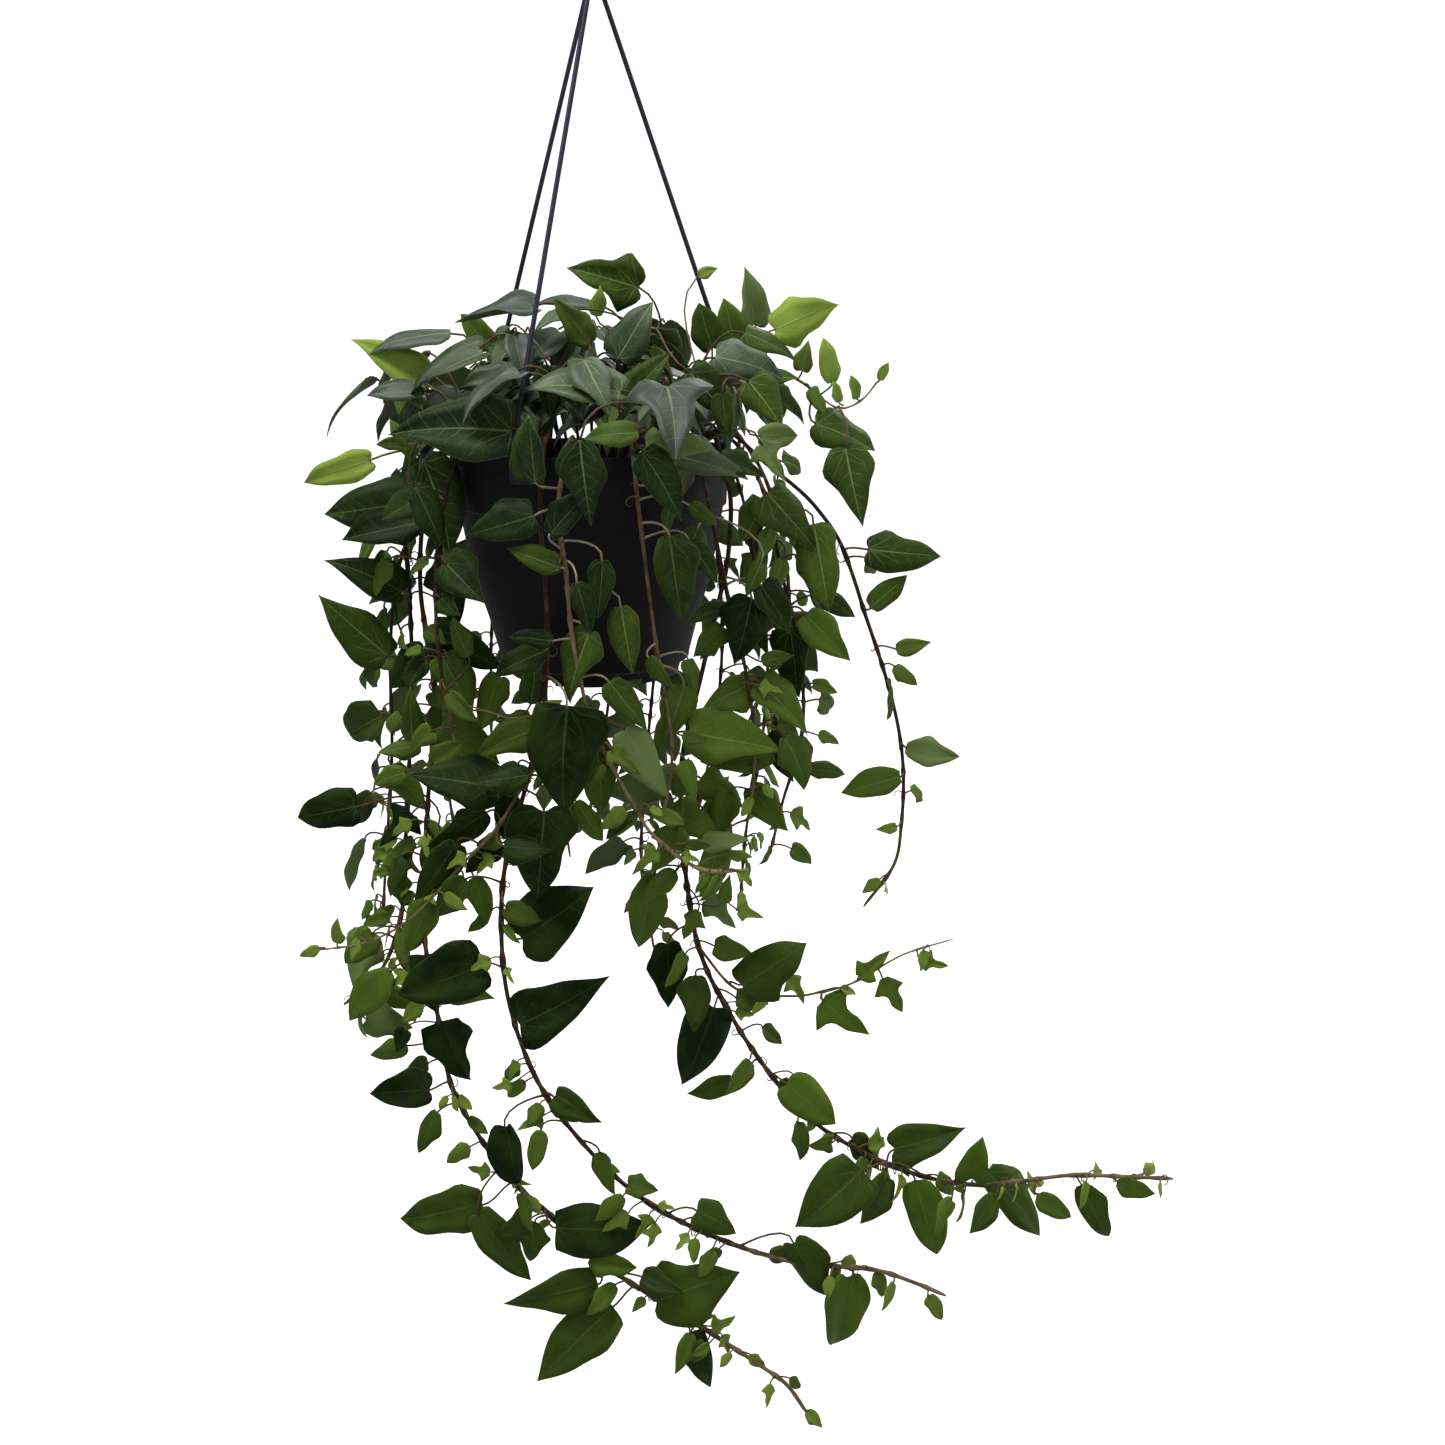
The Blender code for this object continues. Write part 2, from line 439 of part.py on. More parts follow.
def apply_modifiers(item):
    make_active(item)
    for modifier in list(item.modifiers):
        bpy.ops.object.modifier_apply(modifier=modifier.name)


def combine(item, pieces, operation="UNION"):
    """Fuse or cut the pieces with the item in one Boolean, then remove them."""
    tools = bpy.data.collections.new(item.name + "_pieces")
    bpy.context.scene.collection.children.link(tools)
    for piece in pieces:
        for owner in list(piece.users_collection):
            owner.objects.unlink(piece)
        tools.objects.link(piece)
        piece.display_type = "WIRE"
        piece.hide_render = True
    modifier = item.modifiers.new("Combine", "BOOLEAN")
    modifier.operation = operation
    modifier.solver = "EXACT"
    modifier.operand_type = "COLLECTION"
    modifier.collection = tools
    apply_modifiers(item)
    for piece in pieces:
        bpy.data.objects.remove(piece, do_unlink=True)
    bpy.data.collections.remove(tools)


def turned(name, profile, centre, steps, collection, material):
    """Turn a profile of radius and height, which starts and ends on the vertical axis."""
    mesh = bpy.data.meshes.new(name)
    points = [(radius * MM, 0.0, height * MM) for radius, height in profile]
    mesh.from_pydata(points, [(index, index + 1) for index in range(len(points) - 1)], [])
    item = add_object(name, mesh, collection, material)
    item.location = Vector(centre) * MM
    screw = item.modifiers.new("Turn", "SCREW")
    screw.steps = steps
    screw.render_steps = steps
    screw.use_merge_vertices = True
    screw.merge_threshold = 0.00005
    screw.use_smooth_shade = False
    apply_modifiers(item)
    outward(item.data)
    return item


def outward(mesh):
    work = bmesh.new()
    work.from_mesh(mesh)
    bmesh.ops.remove_doubles(work, verts=work.verts, dist=0.00001)
    bmesh.ops.recalc_face_normals(work, faces=work.faces)
    work.to_mesh(mesh)
    work.free()


def tube(name, route, radii, collection, material=None, resolution=0):
    """A round bar along the route, in millimetres, turned into a mesh."""
    curve = bpy.data.curves.new(name, "CURVE")
    curve.dimensions = "3D"
    curve.bevel_depth = MM
    curve.bevel_resolution = resolution
    curve.use_fill_caps = True
    spline = curve.splines.new("POLY")
    spline.points.add(len(route) - 1)
    for point, place, radius in zip(spline.points, route, radii):
        point.co = (*(Vector(place) * MM), 1.0)
        point.radius = radius
    item = bpy.data.objects.new(name, curve)
    collection.objects.link(item)
    make_active(item)
    bpy.ops.object.convert(target="MESH")
    item = bpy.context.view_layer.objects.active
    outward(item.data)
    if material:
        item.data.materials.clear()
        item.data.materials.append(material)
    return item


def smooth_route(points, step):
    """Points a step apart on a smooth curve through the given ones."""
    points = [Vector(point) for point in points]
    ends = [2.0 * points[0] - points[1]] + points + [2.0 * points[-1] - points[-2]]
    route = [points[0]]
    for index in range(1, len(ends) - 2):
        before, start, end, after = ends[index - 1:index + 3]
        parts = max(1, round((end - start).length / step))
        for part in range(1, parts + 1):
            t = part / parts
            route.append(0.5 * (2.0 * start + (end - before) * t
                                + (2.0 * before - 5.0 * start + 4.0 * end - after) * t * t
                                + (3.0 * start - before - 3.0 * end + after) * t ** 3))
    return route


def around_pot(azimuth, radius, height):
    angle = math.radians(azimuth)
    return Vector((POT_X + radius * math.sin(angle), -radius * math.cos(angle), height))


# Pot and soil

def build_pot(collection):
    profile = POT_UNDERSIDE + POT_OUTSIDE + POT_INSIDE
    pot = turned("pot", profile, (POT_X, 0.0, BASE_Z), POT_STEPS, collection,
                 make_material("pot_plastic", POT_PLASTIC))
    depth = SLOT_HEIGHT + SLOT_BELOW
    slots = []
    for turn in SLOT_TURNS:
        bpy.ops.mesh.primitive_cube_add(
            size=1.0, rotation=(0.0, 0.0, math.radians(turn)),
            location=(POT_X * MM, 0.0, (BASE_Z + SLOT_HEIGHT - depth / 2) * MM))
        slot = bpy.context.object
        slot.scale = (SLOT_LENGTH * MM, SLOT_WIDTH * MM, depth * MM)
        bpy.ops.object.transform_apply(location=False, rotation=False, scale=True)
        slots.append(slot)
    combine(slots[0], slots[1:])
    combine(pot, slots[:1], "DIFFERENCE")
    return pot


def build_soil(stems, collection):
    soil = turned("soil", SOIL_PROFILE, (POT_X, 0.0, BASE_Z), POT_STEPS, collection,
                  make_material("peat", PEAT))
    holes = []
    for stem in stems:
        foot = stem["route"][0]
        bpy.ops.mesh.primitive_cylinder_add(
            vertices=HOLE_SIDES, radius=(stem["thick"] + HOLE_PLAY) * MM, depth=2 * HOLE_DEPTH * MM,
            location=(foot.x * MM, foot.y * MM, SOIL_Z * MM))
        holes.append(bpy.context.object)
    combine(soil, holes, "DIFFERENCE")
    return soil


# Hanger

def build_hook(collection, material):
    centre = HOOK_WIRE - HOOK_BEND
    arc = [Vector((HOOK_BEND * math.cos(math.radians(turn)), 0.0,
                   centre + HOOK_BEND * math.sin(math.radians(turn))))
           for turn in HOOK_ARC]
    route = arc + [Vector(point) for point in HOOK_NECK]
    route.append(Vector((0.0, 0.0, COLLAR_TOP - HOOK_IN_COLLAR)))
    hook = tube("hanger_hook", route, [HOOK_WIRE] * len(route), collection, material, 2)
    bpy.ops.mesh.primitive_cylinder_add(
        vertices=COLLAR_SIDES, radius=COLLAR_RADIUS * MM, depth=(COLLAR_TOP - COLLAR_BOTTOM) * MM,
        location=(0.0, 0.0, (COLLAR_TOP + COLLAR_BOTTOM) / 2 * MM))
    combine(hook, [bpy.context.object])
    return hook


def clip_outline():
    """Section of the clip as distance from the pot's axis and height over the rim."""
    outer = RIM_RADIUS + CLIP_GAP
    inner = RIM_INNER - CLIP_INNER_GAP
    return ((outer, -CLIP_DROP), (outer + CLIP_THICK, -CLIP_DROP), (outer + CLIP_THICK, CLIP_RISE),
            (outer, CLIP_RISE), (outer, TOUCH + CLIP_THICK), (inner - CLIP_THICK, TOUCH + CLIP_THICK),
            (inner - CLIP_THICK, -CLIP_INNER_DROP), (inner, -CLIP_INNER_DROP), (inner, TOUCH),
            (outer, TOUCH))


def build_clip(name, azimuth, collection):
    curve = bpy.data.curves.new(name, "CURVE")
    curve.dimensions = "2D"
    curve.fill_mode = "BOTH"
    curve.extrude = CLIP_WIDTH / 2 * MM
    outline = clip_outline()
    spline = curve.splines.new("POLY")
    spline.points.add(len(outline) - 1)
    spline.use_cyclic_u = True
    for point, (across, height) in zip(spline.points, outline):
        point.co = (across * MM, height * MM, 0.0, 1.0)
    clip = bpy.data.objects.new(name, curve)
    collection.objects.link(clip)
    clip.rotation_euler = (math.radians(90.0), 0.0, math.radians(azimuth - 90.0))
    clip.location = (POT_X * MM, 0.0, RIM_Z * MM)
    make_active(clip)
    bpy.ops.object.convert(target="MESH")
    bpy.ops.object.transform_apply(location=True, rotation=True, scale=True)
    clip = bpy.context.view_layer.objects.active
    outward(clip.data)
    return clip


def build_rod(name, collection, material):
    azimuth, bends = RODS[name]
    seat = RIM_RADIUS + CLIP_GAP + CLIP_THICK / 2
    top = around_pot(azimuth, ROD_START, COLLAR_BOTTOM - ROD_PLAY) - Vector((POT_X, 0.0, 0.0))
    foot = around_pot(azimuth, seat, RIM_Z + CLIP_RISE - ROD_IN_CLIP)
    above = around_pot(azimuth, seat, RIM_Z + CLIP_RISE + ROD_BEND)
    route = [top] + [Vector(bend) for bend in bends] + [above, foot]
    rod = tube(name, route, [ROD_WIRE] * len(route), collection, material, 1)
    combine(rod, [build_clip(name + "_clip", azimuth, collection)])
    return rod


# Leaf blades

def leaf_cage(leaf, grow=0.0):
    """Corners and triangles of one blade with its stalk, as a closed solid, in millimetres."""
    form = leaf["form"]
    along, normal = leaf["along"], leaf["normal"]
    across = normal.cross(along)
    length = leaf["length"] + grow
    half = leaf["length"] * WIDTHS[form] / 2.0 + grow
    thick = BLADE_THICK + 2.0 * grow
    lift = leaf["lift"]

    def place(share, side, height):
        wave = lift * length * (BLADE_ARCH * share * (1.0 - share) - TIP_DROOP * share * share
                                - EDGE_DROOP * side * side)
        return (leaf["base"] + along * (share * length) + across * (side * half)
                + normal * (height + wave + grow))

    outline = FORMS[form]
    stalk = STALK_RADIUS + grow
    corners = [leaf["base"] - across * stalk + normal * grow]
    corners += [place(share, -side, 0.0) for share, side in outline]
    corners += [place(1.0, 0.0, 0.0)]
    corners += [place(share, side, 0.0) for share, side in reversed(outline)]
    corners += [leaf["base"] + across * stalk + normal * grow]
    count = len(corners)
    under = count
    corners += [leaf["base"] - normal * (thick + HEEL)]
    corners += [corner - normal * thick for corner in corners[1:count - 1]]
    crown = len(corners)
    corners += [place(FAN_AT[form], 0.0, 0.0), place(FAN_AT[form], 0.0, -thick)]

    top = list(range(count))
    low = [under + index for index in range(count - 1)] + [under]
    faces = [(crown, top[index], top[(index + 1) % count]) for index in range(count)]
    for index in range(count - 1):
        faces.append((crown + 1, low[index + 1], low[index]))
        faces.append((low[index], low[index + 1], top[index + 1]))
        faces.append((low[index], top[index + 1], top[index]))

    ring = (top[0], top[-1], under)
    side_axis = across
    for centre, heading, radius in stalk_path(leaf):
        reach = radius + grow
        side_axis = (side_axis - heading * side_axis.dot(heading)).normalized()
        face_axis = side_axis.cross(heading)
        first = len(corners)
        corners += [centre - side_axis * reach + face_axis * 0.5 * reach,
                    centre + side_axis * reach + face_axis * 0.5 * reach,
                    centre - face_axis * reach]
        new_ring = (first, first + 1, first + 2)
        for one, two in ((0, 1), (1, 2), (2, 0)):
            faces.append((ring[one], ring[two], new_ring[two]))
            faces.append((ring[one], new_ring[two], new_ring[one]))
        ring = new_ring
    faces.append(ring)
    return corners, faces


def stalk_path(leaf):
    """Centre, heading and radius of the stalk's rings, from the blade back to the stem."""
    base, root, along = leaf["base"], leaf["root"], leaf["along"]
    span = (root - base).length
    if span < BENT_STALK:
        return [(root, (root - base).normalized(), STALK_ROOT)]
    middle = (base - along * (STALK_BACK * span) + leaf["normal"] * (STALK_OFF * span)
              + UP * (STALK_RISE * span))
    middle = middle.lerp(base.lerp(root, STALK_MIDDLE), STALK_EASE)
    return [(middle, (root - base).normalized(), STALK_RADIUS),
            (root, (root - middle).normalized(), STALK_ROOT)]


def cage_tree(cage):
    corners, faces = cage
    return BVHTree.FromPolygons(corners, faces), box_of(corners)


def box_of(corners):
    low = Vector([min(corner[axis] for corner in corners) for axis in range(3)])
    high = Vector([max(corner[axis] for corner in corners) for axis in range(3)])
    return low, high


def boxes_meet(one, two):
    return all(one[0][axis] <= two[1][axis] and two[0][axis] <= one[1][axis] for axis in range(3))


def stem_cage(route, radii):
    """A four-sided bar along a stem, for the clearance tests."""
    corners, faces = [], []
    for index, point in enumerate(route):
        ahead = (route[min(index + 1, len(route) - 1)] - route[max(index - 1, 0)]).normalized()
        side = ahead.cross(UP if abs(ahead.z) < 0.9 else VIEWER).normalized()
        other = ahead.cross(side)
        reach = radii[index]
        corners += [point + side * reach, point + other * reach, point - side * reach,
                    point - other * reach]
        if index:
            start = 4 * index
            for corner in range(4):
                follow = (corner + 1) % 4
                faces.append((start - 4 + corner, start - 4 + follow, start + follow,
                              start + corner))
    return corners, faces


# Stems

def stem_radii(route, thick):
    count = len(route) - 1
    return [thick * (1.0 - STEM_TAPER * index / count) for index in range(count + 1)]


def plan_stem(name, root, middle, thick, shoot=None, **rule):
    """A stem's route, radii and side shoots, and the places where a stalk can leave it."""
    foot = Vector((root.x, root.y, SOIL_Z - HOLE_DEPTH + ROOT_END))
    neck = Vector((root.x, root.y, SOIL_Z + NECK_RISE))
    route = [foot] + smooth_route([neck] + middle, STEM_STEP)
    shoots = []
    if shoot:
        branch = smooth_route(shoot, STEM_STEP)
        branch[0] = min(route, key=lambda point: (point - branch[0]).length).copy()
        shoots.append((branch, stem_radii(branch, SHOOT_THICK)))
    places = [point_on(line, step / ROOT_STEPS)
              for line in [route[1:]] + [branch for branch, radii in shoots]
              for step in range(ROOT_STEPS + 1)]
    return dict(name=name, route=route, thick=thick, radii=stem_radii(route, thick), leaves=[],
                shoots=shoots, places=places, **rule)


def plan_stems():
    stems = []
    for name, row in HANGING.items():
        root = around_pot(row["azimuth"], row.get("root", ROOT_RADIUS), 0.0)
        crest = around_pot(row["azimuth"], RIM_RADIUS - CREST_IN, RIM_Z + CREST_RISE)
        stems.append(plan_stem(name, root, [crest] + [Vector(point) for point in row["route"]],
                               row["thick"], SHOOTS.get(name), kind="hanging",
                               spacing=row["spacing"], size=row["size"], start=row["start"]))
    across, up, over = CROWN_BEND
    for name, (azimuth, root, reach, rise, count, size) in CROWN.items():
        middle = [around_pot(azimuth, root + across * (reach - root), RIM_Z + up * rise + over),
                  around_pot(azimuth, reach, RIM_Z + rise)]
        stems.append(plan_stem(name, around_pot(azimuth, root, 0.0), middle, CROWN_THICK,
                               kind="crown", count=count, size=size))
    root = around_pot(RUNNER["azimuth"], RUNNER["root"], 0.0)
    stems.append(plan_stem("runner_right", root, [Vector(point) for point in RUNNER["route"]],
                           RUNNER["thick"], kind="runner"))
    return stems


# Leaf layout

def outward_at(point):
    radial = Vector((point.x - POT_X, point.y, 0.0))
    return radial.normalized() if radial.length > 1.0 else VIEWER.copy()


def point_on(route, share):
    """The place at a share of the way along a route."""
    lengths = [(after - before).length for before, after in zip(route, route[1:])]
    left = share * sum(lengths)
    for index, length in enumerate(lengths):
        if left <= length or index == len(lengths) - 1:
            return route[index].lerp(route[index + 1], min(1.0, left / length))
        left -= length


def square_to(along, normal):
    return (normal - along * normal.dot(along)).normalized()


def hanging_leaf(draw, point, side, size, attempt):
    """A leaf on an arched stalk whose blade hangs and faces outwards."""
    rule = HANGING_RULE
    facing = VIEWER * draw.uniform(*rule["to_viewer"]) * (1.0 if point.y < BACK_Y else BACK_TURN)
    out = (outward_at(point) * OUTWARD + facing).normalized()
    sideways = out.cross(UP) * side
    reach = size * draw.uniform(*rule["reach"]) * (1.0 + TRY_REACH * attempt)
    base = (point + sideways * reach * draw.uniform(*rule["aside"])
            + out * reach * draw.uniform(*rule["out"]) + UP * reach * draw.uniform(*rule["up"]))
    least, most = rule["turn"]
    turn = math.radians(draw.uniform(least, most + TRY_TURN * attempt))
    along = (-UP * math.cos(turn) + sideways * math.sin(turn)
             + out * draw.uniform(*rule["tip_out"])).normalized()
    normal = square_to(along, out + UP * draw.uniform(*rule["face_up"])
                       + sideways * draw.uniform(*rule["face_aside"]))
    return base, along, normal


def crown_leaf(draw, point, side, size, attempt):
    """A leaf that reaches out of the crown and tips over towards its edge."""
    rule = CROWN_RULE
    out = outward_at(point)
    distance = Vector((point.x - POT_X, point.y, 0.0)).length
    least, most = rule["swing"]
    swing = math.radians(draw.uniform(least, most + TRY_TURN * attempt))
    level = (out * math.cos(swing) + out.cross(UP) * side * math.sin(swing)).normalized()
    reach = size * draw.uniform(*rule["reach"])
    base = point + level * reach * CROWN_OUT + UP * reach * draw.uniform(*rule["up"])
    dip = math.radians(draw.uniform(*rule["dip"]) + CROWN_DIP * min(MOST_DIP, distance / EDGE_REACH))
    along = (level * math.cos(dip) - UP * math.sin(dip)).normalized()
    normal = square_to(along, UP + level * draw.uniform(*rule["face_out"])
                       + VIEWER * draw.uniform(*rule["to_viewer"]))
    return base, along, normal


def make_leaf(root, base, along, normal, length, form, lift):
    return dict(root=root, base=base, along=along, normal=normal, length=length, form=form,
                lift=lift)


def in_soil_or_pot(corners):
    foot, growth, beyond = POT_GUARD
    for corner in corners:
        radius = math.hypot(corner.x - POT_X, corner.y)
        if radius < RIM_INNER + beyond and BASE_Z < corner.z < SOIL_Z + SOIL_GUARD:
            if radius < foot + growth * (corner.z - BASE_Z) / POT_HEIGHT:
                return True
    return False


def is_clear(leaf, stem, taken):
    """True if the leaf keeps its distance from every solid but its own stem."""
    cage = leaf_cage(leaf, CLEARANCE)
    if in_soil_or_pot(cage[0]):
        return False
    tree, box = cage_tree(cage)
    for owner, other, other_box in taken:
        if owner != stem["name"] and boxes_meet(box, other_box) and tree.overlap(other):
            return False
    return True


def is_sound(leaf):
    """True if the stalk leaves its blade cleanly, so that the solid doesn't cross itself."""
    stalk = leaf["root"] - leaf["base"]
    if stalk.length > LONGEST_STALK or stalk.normalized().dot(leaf["along"]) > LEAST_TURN:
        return False
    corners, faces = leaf_cage(leaf)
    tree = BVHTree.FromPolygons(corners, faces)
    return all(set(faces[one]) & set(faces[two]) for one, two in tree.overlap(tree))


def crosses_sisters(leaf, stem):
    """True if the leaf runs through another leaf of its stem."""
    tree, box = cage_tree(leaf_cage(leaf, SISTER_GAP))
    for other in stem["leaves"]:
        other_tree, other_box = other["tree"]
        if boxes_meet(box, other_box) and tree.overlap(other_tree):
            return True
    return False


def fits(leaf, stem, taken):
    return is_sound(leaf) and not crosses_sisters(leaf, stem) and is_clear(leaf, stem, taken)


def keep(leaf, stem, taken):
    leaf["tree"] = cage_tree(leaf_cage(leaf))
    stem["leaves"].append(leaf)
    taken.append((stem["name"], *leaf["tree"]))


def best_root(stem, base, along, stiffness=STIFFNESS):
    """Cost and place of the shortest stalk from a stem to a blade that doesn't fold back."""
    def cost(place):
        stalk = place - base
        folding = max(0.0, stalk.dot(along) / stalk.length + FOLD_EASE)
        return stalk.length * (1.0 + stiffness * folding) + CLIMB_COST * max(0.0, -stalk.z)

    best = min(stem["places"], key=cost)
    return cost(best), best


def place_given(row, stem, taken, tries):
    """Try one given leaf at depths ever further from its own; True if it found a place."""
    base_x, base_z, tip_x, tip_z, depth, form, *lean = row
    lean = lean[0] if lean else LEAN
    draw = random.Random(f"{base_x} {tip_z}")
    least, kinds = GIVEN_STIFFNESS
    span = Vector((tip_x - base_x, 0.0, tip_z - base_z)).length
    for attempt in range(tries):
        shift = (-1.0) ** attempt * DEPTH_STEP * ((attempt + 1) // 2)
        base = Vector((base_x, depth + shift, base_z))
        tip = Vector((tip_x, depth + shift - TIP_FORWARD * span, tip_z))
        along = (tip - base).normalized()
        twist = draw.uniform(-BLADE_TWIST, BLADE_TWIST)
        normal = square_to(along, VIEWER + UP * (lean + LEAN_STEP * attempt)
                           + Vector((twist, 0.0, 0.0)))
        root = best_root(stem, base, along, least + attempt % kinds)[1]
        leaf = make_leaf(root, base, along, normal, span * GIVEN_SIZE, form, GIVEN_LIFT)
        if fits(leaf, stem, taken):
            keep(leaf, stem, taken)
            return True
    return False


def place_free(row, stems, taken):
    """Give one leaf to the stem with the best stalk for it, or to the next best."""
    base = Vector((row[0], row[4], row[1]))
    along = Vector((row[2] - row[0], 0.0, row[3] - row[1])).normalized()
    order = sorted(stems, key=lambda stem: best_root(stem, base, along)[0])
    for stem in order[:OWNERS]:
        if place_given(row, stem, taken, OTHER_TRIES):
            return


def place_hanging(stem, taken):
    draw = random.Random(stem["name"])
    place_along(stem["route"][1:], BARE_FOOT + stem["start"], False, stem, draw, taken)
    for route, radii in stem["shoots"]:
        place_along(route, BARE_SHOOT, True, stem, draw, taken)


def place_along(route, start, on_shoot, stem, draw, taken):
    """Leaves by turns on both sides of a route, smaller and younger towards its tip."""
    total = sum((after - before).length for before, after in zip(route, route[1:]))
    spacing = stem["spacing"] * (SHOOT_SPACING if on_shoot else 1.0)
    count = int(total * (1.0 - start) / spacing)
    for index in range(count):
        share = start + (1.0 - start) * (index + draw.uniform(*STRETCH)) / count
        young = on_shoot or share > TIP_SHARE
        shrink = YOUNG_SIZE if young else FOOT_SIZE - SIZE_LOSS * share
        size = stem["size"] * draw.uniform(*SIZES) * shrink
        form = draw.choice(YOUNG_FORMS if young else OLD_FORMS)
        try_leaf(stem, taken, draw, hanging_leaf, point_on(route, min(share, LAST_SHARE)),
                 (-1) ** index, size, form)


def place_crown(stem, taken):
    draw = random.Random(stem["name"])
    for index in range(stem["count"]):
        share = CROWN_START + (1.0 - CROWN_START) * (index + CROWN_STEP) / stem["count"]
        size = stem["size"] * draw.uniform(*CROWN_SIZES)
        form = draw.choice(CROWN_FORMS)
        try_leaf(stem, taken, draw, crown_leaf,
                 point_on(stem["route"][1:], min(share, LAST_SHARE)), (-1) ** index, size, form)


def try_leaf(stem, taken, draw, rule, point, side, size, form):
    for attempt in range(RULED_TRIES):
        base, along, normal = rule(draw, point, side if attempt < SAME_SIDE else -side, size,
                                   attempt)
        leaf = make_leaf(point, base, along, normal, size * (1.0 - TRY_SHRINK * attempt), form,
                         draw.uniform(*LIFTS))
        if fits(leaf, stem, taken):
            keep(leaf, stem, taken)
            return


def lay_out_leaves(stems, fixed):
    """Give every stem its leaves, clear of the fixed pieces and of each other's stems."""
    taken = [("fixed", tree, box) for tree, box in fixed]
    for stem in stems:
        for route, radii in [(stem["route"], stem["radii"])] + stem["shoots"]:
            tree, box = cage_tree(stem_cage(route, radii))
            taken.append((stem["name"], tree, box))
    for stem in stems:
        for row in PLACED.get(stem["name"], ()):
            place_given(row, stem, taken, OWN_TRIES)
    for row in GIVEN:
        place_free(row, stems, taken)
    for stem in stems:
        if stem["kind"] == "hanging":
            place_hanging(stem, taken)
        elif stem["kind"] == "crown":
            place_crown(stem, taken)


# Leafy stems as solids

def mesh_from_cage(name, cage):
    corners, faces = cage
    mesh = bpy.data.meshes.new(name)
    mesh.from_pydata([corner * MM for corner in corners], [], faces)
    mesh.update()
    return mesh


def build_stem(stem, collection):
    look = PALE_FOLIAGE if stem["kind"] == "runner" else FOLIAGE
    material = make_material(stem["name"] + "_foliage", look)
    item = tube(stem["name"], stem["route"], stem["radii"], collection, material)
    pieces = [tube(stem["name"] + "_shoot", route, radii, collection)
              for route, radii in stem["shoots"]]
    for index, leaf in enumerate(stem["leaves"]):
        mesh = mesh_from_cage(f"{stem['name']}_leaf_{index}", leaf_cage(leaf))
        pieces.append(add_object(mesh.name, mesh, collection))
    combine(item, pieces)
    return item


def fixed_tree(item):
    corners = [item.matrix_world @ vertex.co / MM for vertex in item.data.vertices]
    faces = [tuple(face.vertices) for face in item.data.polygons]
    return BVHTree.FromPolygons(corners, faces), box_of(corners)


def main():
    clear_scene()
    collection = make_collection("potted english ivy")
    pot = build_pot(collection)
    hanger = make_material("hanger_plastic", HANGER_PLASTIC)
    fixed = [pot, build_hook(collection, hanger)]
    for name in RODS:
        fixed.append(build_rod(name, collection, make_material(name + "_plastic", HANGER_PLASTIC)))
    bpy.context.view_layer.update()
    stems = plan_stems()
    lay_out_leaves(stems, [fixed_tree(item) for item in fixed])
    build_soil(stems, collection)
    for stem in stems:
        build_stem(stem, collection)


main()
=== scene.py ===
"""Dresses the potted ivy: fine leaves, stems, pot and hanger over the plain solids.

Millimetres in the tables, metres in the scene. The origin is the inner crown of the hook.
"""
import math
import random

import bmesh
import bpy
import numpy as np
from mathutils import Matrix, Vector, kdtree, noise
from mathutils.bvhtree import BVHTree


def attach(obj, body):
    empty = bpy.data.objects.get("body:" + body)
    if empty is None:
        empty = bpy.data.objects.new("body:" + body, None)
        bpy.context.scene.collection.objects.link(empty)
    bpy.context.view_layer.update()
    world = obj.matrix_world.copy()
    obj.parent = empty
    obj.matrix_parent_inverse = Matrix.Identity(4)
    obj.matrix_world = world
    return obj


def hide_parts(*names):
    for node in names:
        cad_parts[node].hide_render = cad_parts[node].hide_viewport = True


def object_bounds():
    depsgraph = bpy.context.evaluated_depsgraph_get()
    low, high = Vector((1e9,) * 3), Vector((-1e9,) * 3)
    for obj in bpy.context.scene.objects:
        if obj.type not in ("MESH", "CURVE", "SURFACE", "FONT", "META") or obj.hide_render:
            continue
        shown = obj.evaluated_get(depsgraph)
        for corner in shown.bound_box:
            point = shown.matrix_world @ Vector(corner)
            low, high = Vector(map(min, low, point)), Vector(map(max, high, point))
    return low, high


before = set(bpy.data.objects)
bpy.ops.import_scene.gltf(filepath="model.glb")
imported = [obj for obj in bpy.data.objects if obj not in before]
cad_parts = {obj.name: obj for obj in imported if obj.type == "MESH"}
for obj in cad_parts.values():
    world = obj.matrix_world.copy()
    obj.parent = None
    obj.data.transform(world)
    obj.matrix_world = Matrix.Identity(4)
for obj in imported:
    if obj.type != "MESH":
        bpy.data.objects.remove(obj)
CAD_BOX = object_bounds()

MM = 0.001
UP = Vector((0.0, 0.0, 1.0))
VIEWER = Vector((0.0, -1.0, 0.0))  # towards the viewer
WELD = 0.00001  # corners nearer than this, in metres, are one

# Pot
POT_X = -8.0  # the vines' weight pulls the pot a little left of the hook
RIM_Z = -341.0
POT_HEIGHT = 156.0
BASE_Z = RIM_Z - POT_HEIGHT
RIM_RADIUS = 96.0
RIM_INNER = 93.0
FOOT_HEIGHT = 5.0
# drain slots across the foot ring: their directions, length, width and height
SLOT_TURNS = (0.0, 60.0, 120.0)
SLOT_LENGTH = 150.0
SLOT_WIDTH = 16.0
SLOT_HEIGHT = 3.6
SLOT_BELOW = 2.0  # how far the cutter reaches under the base
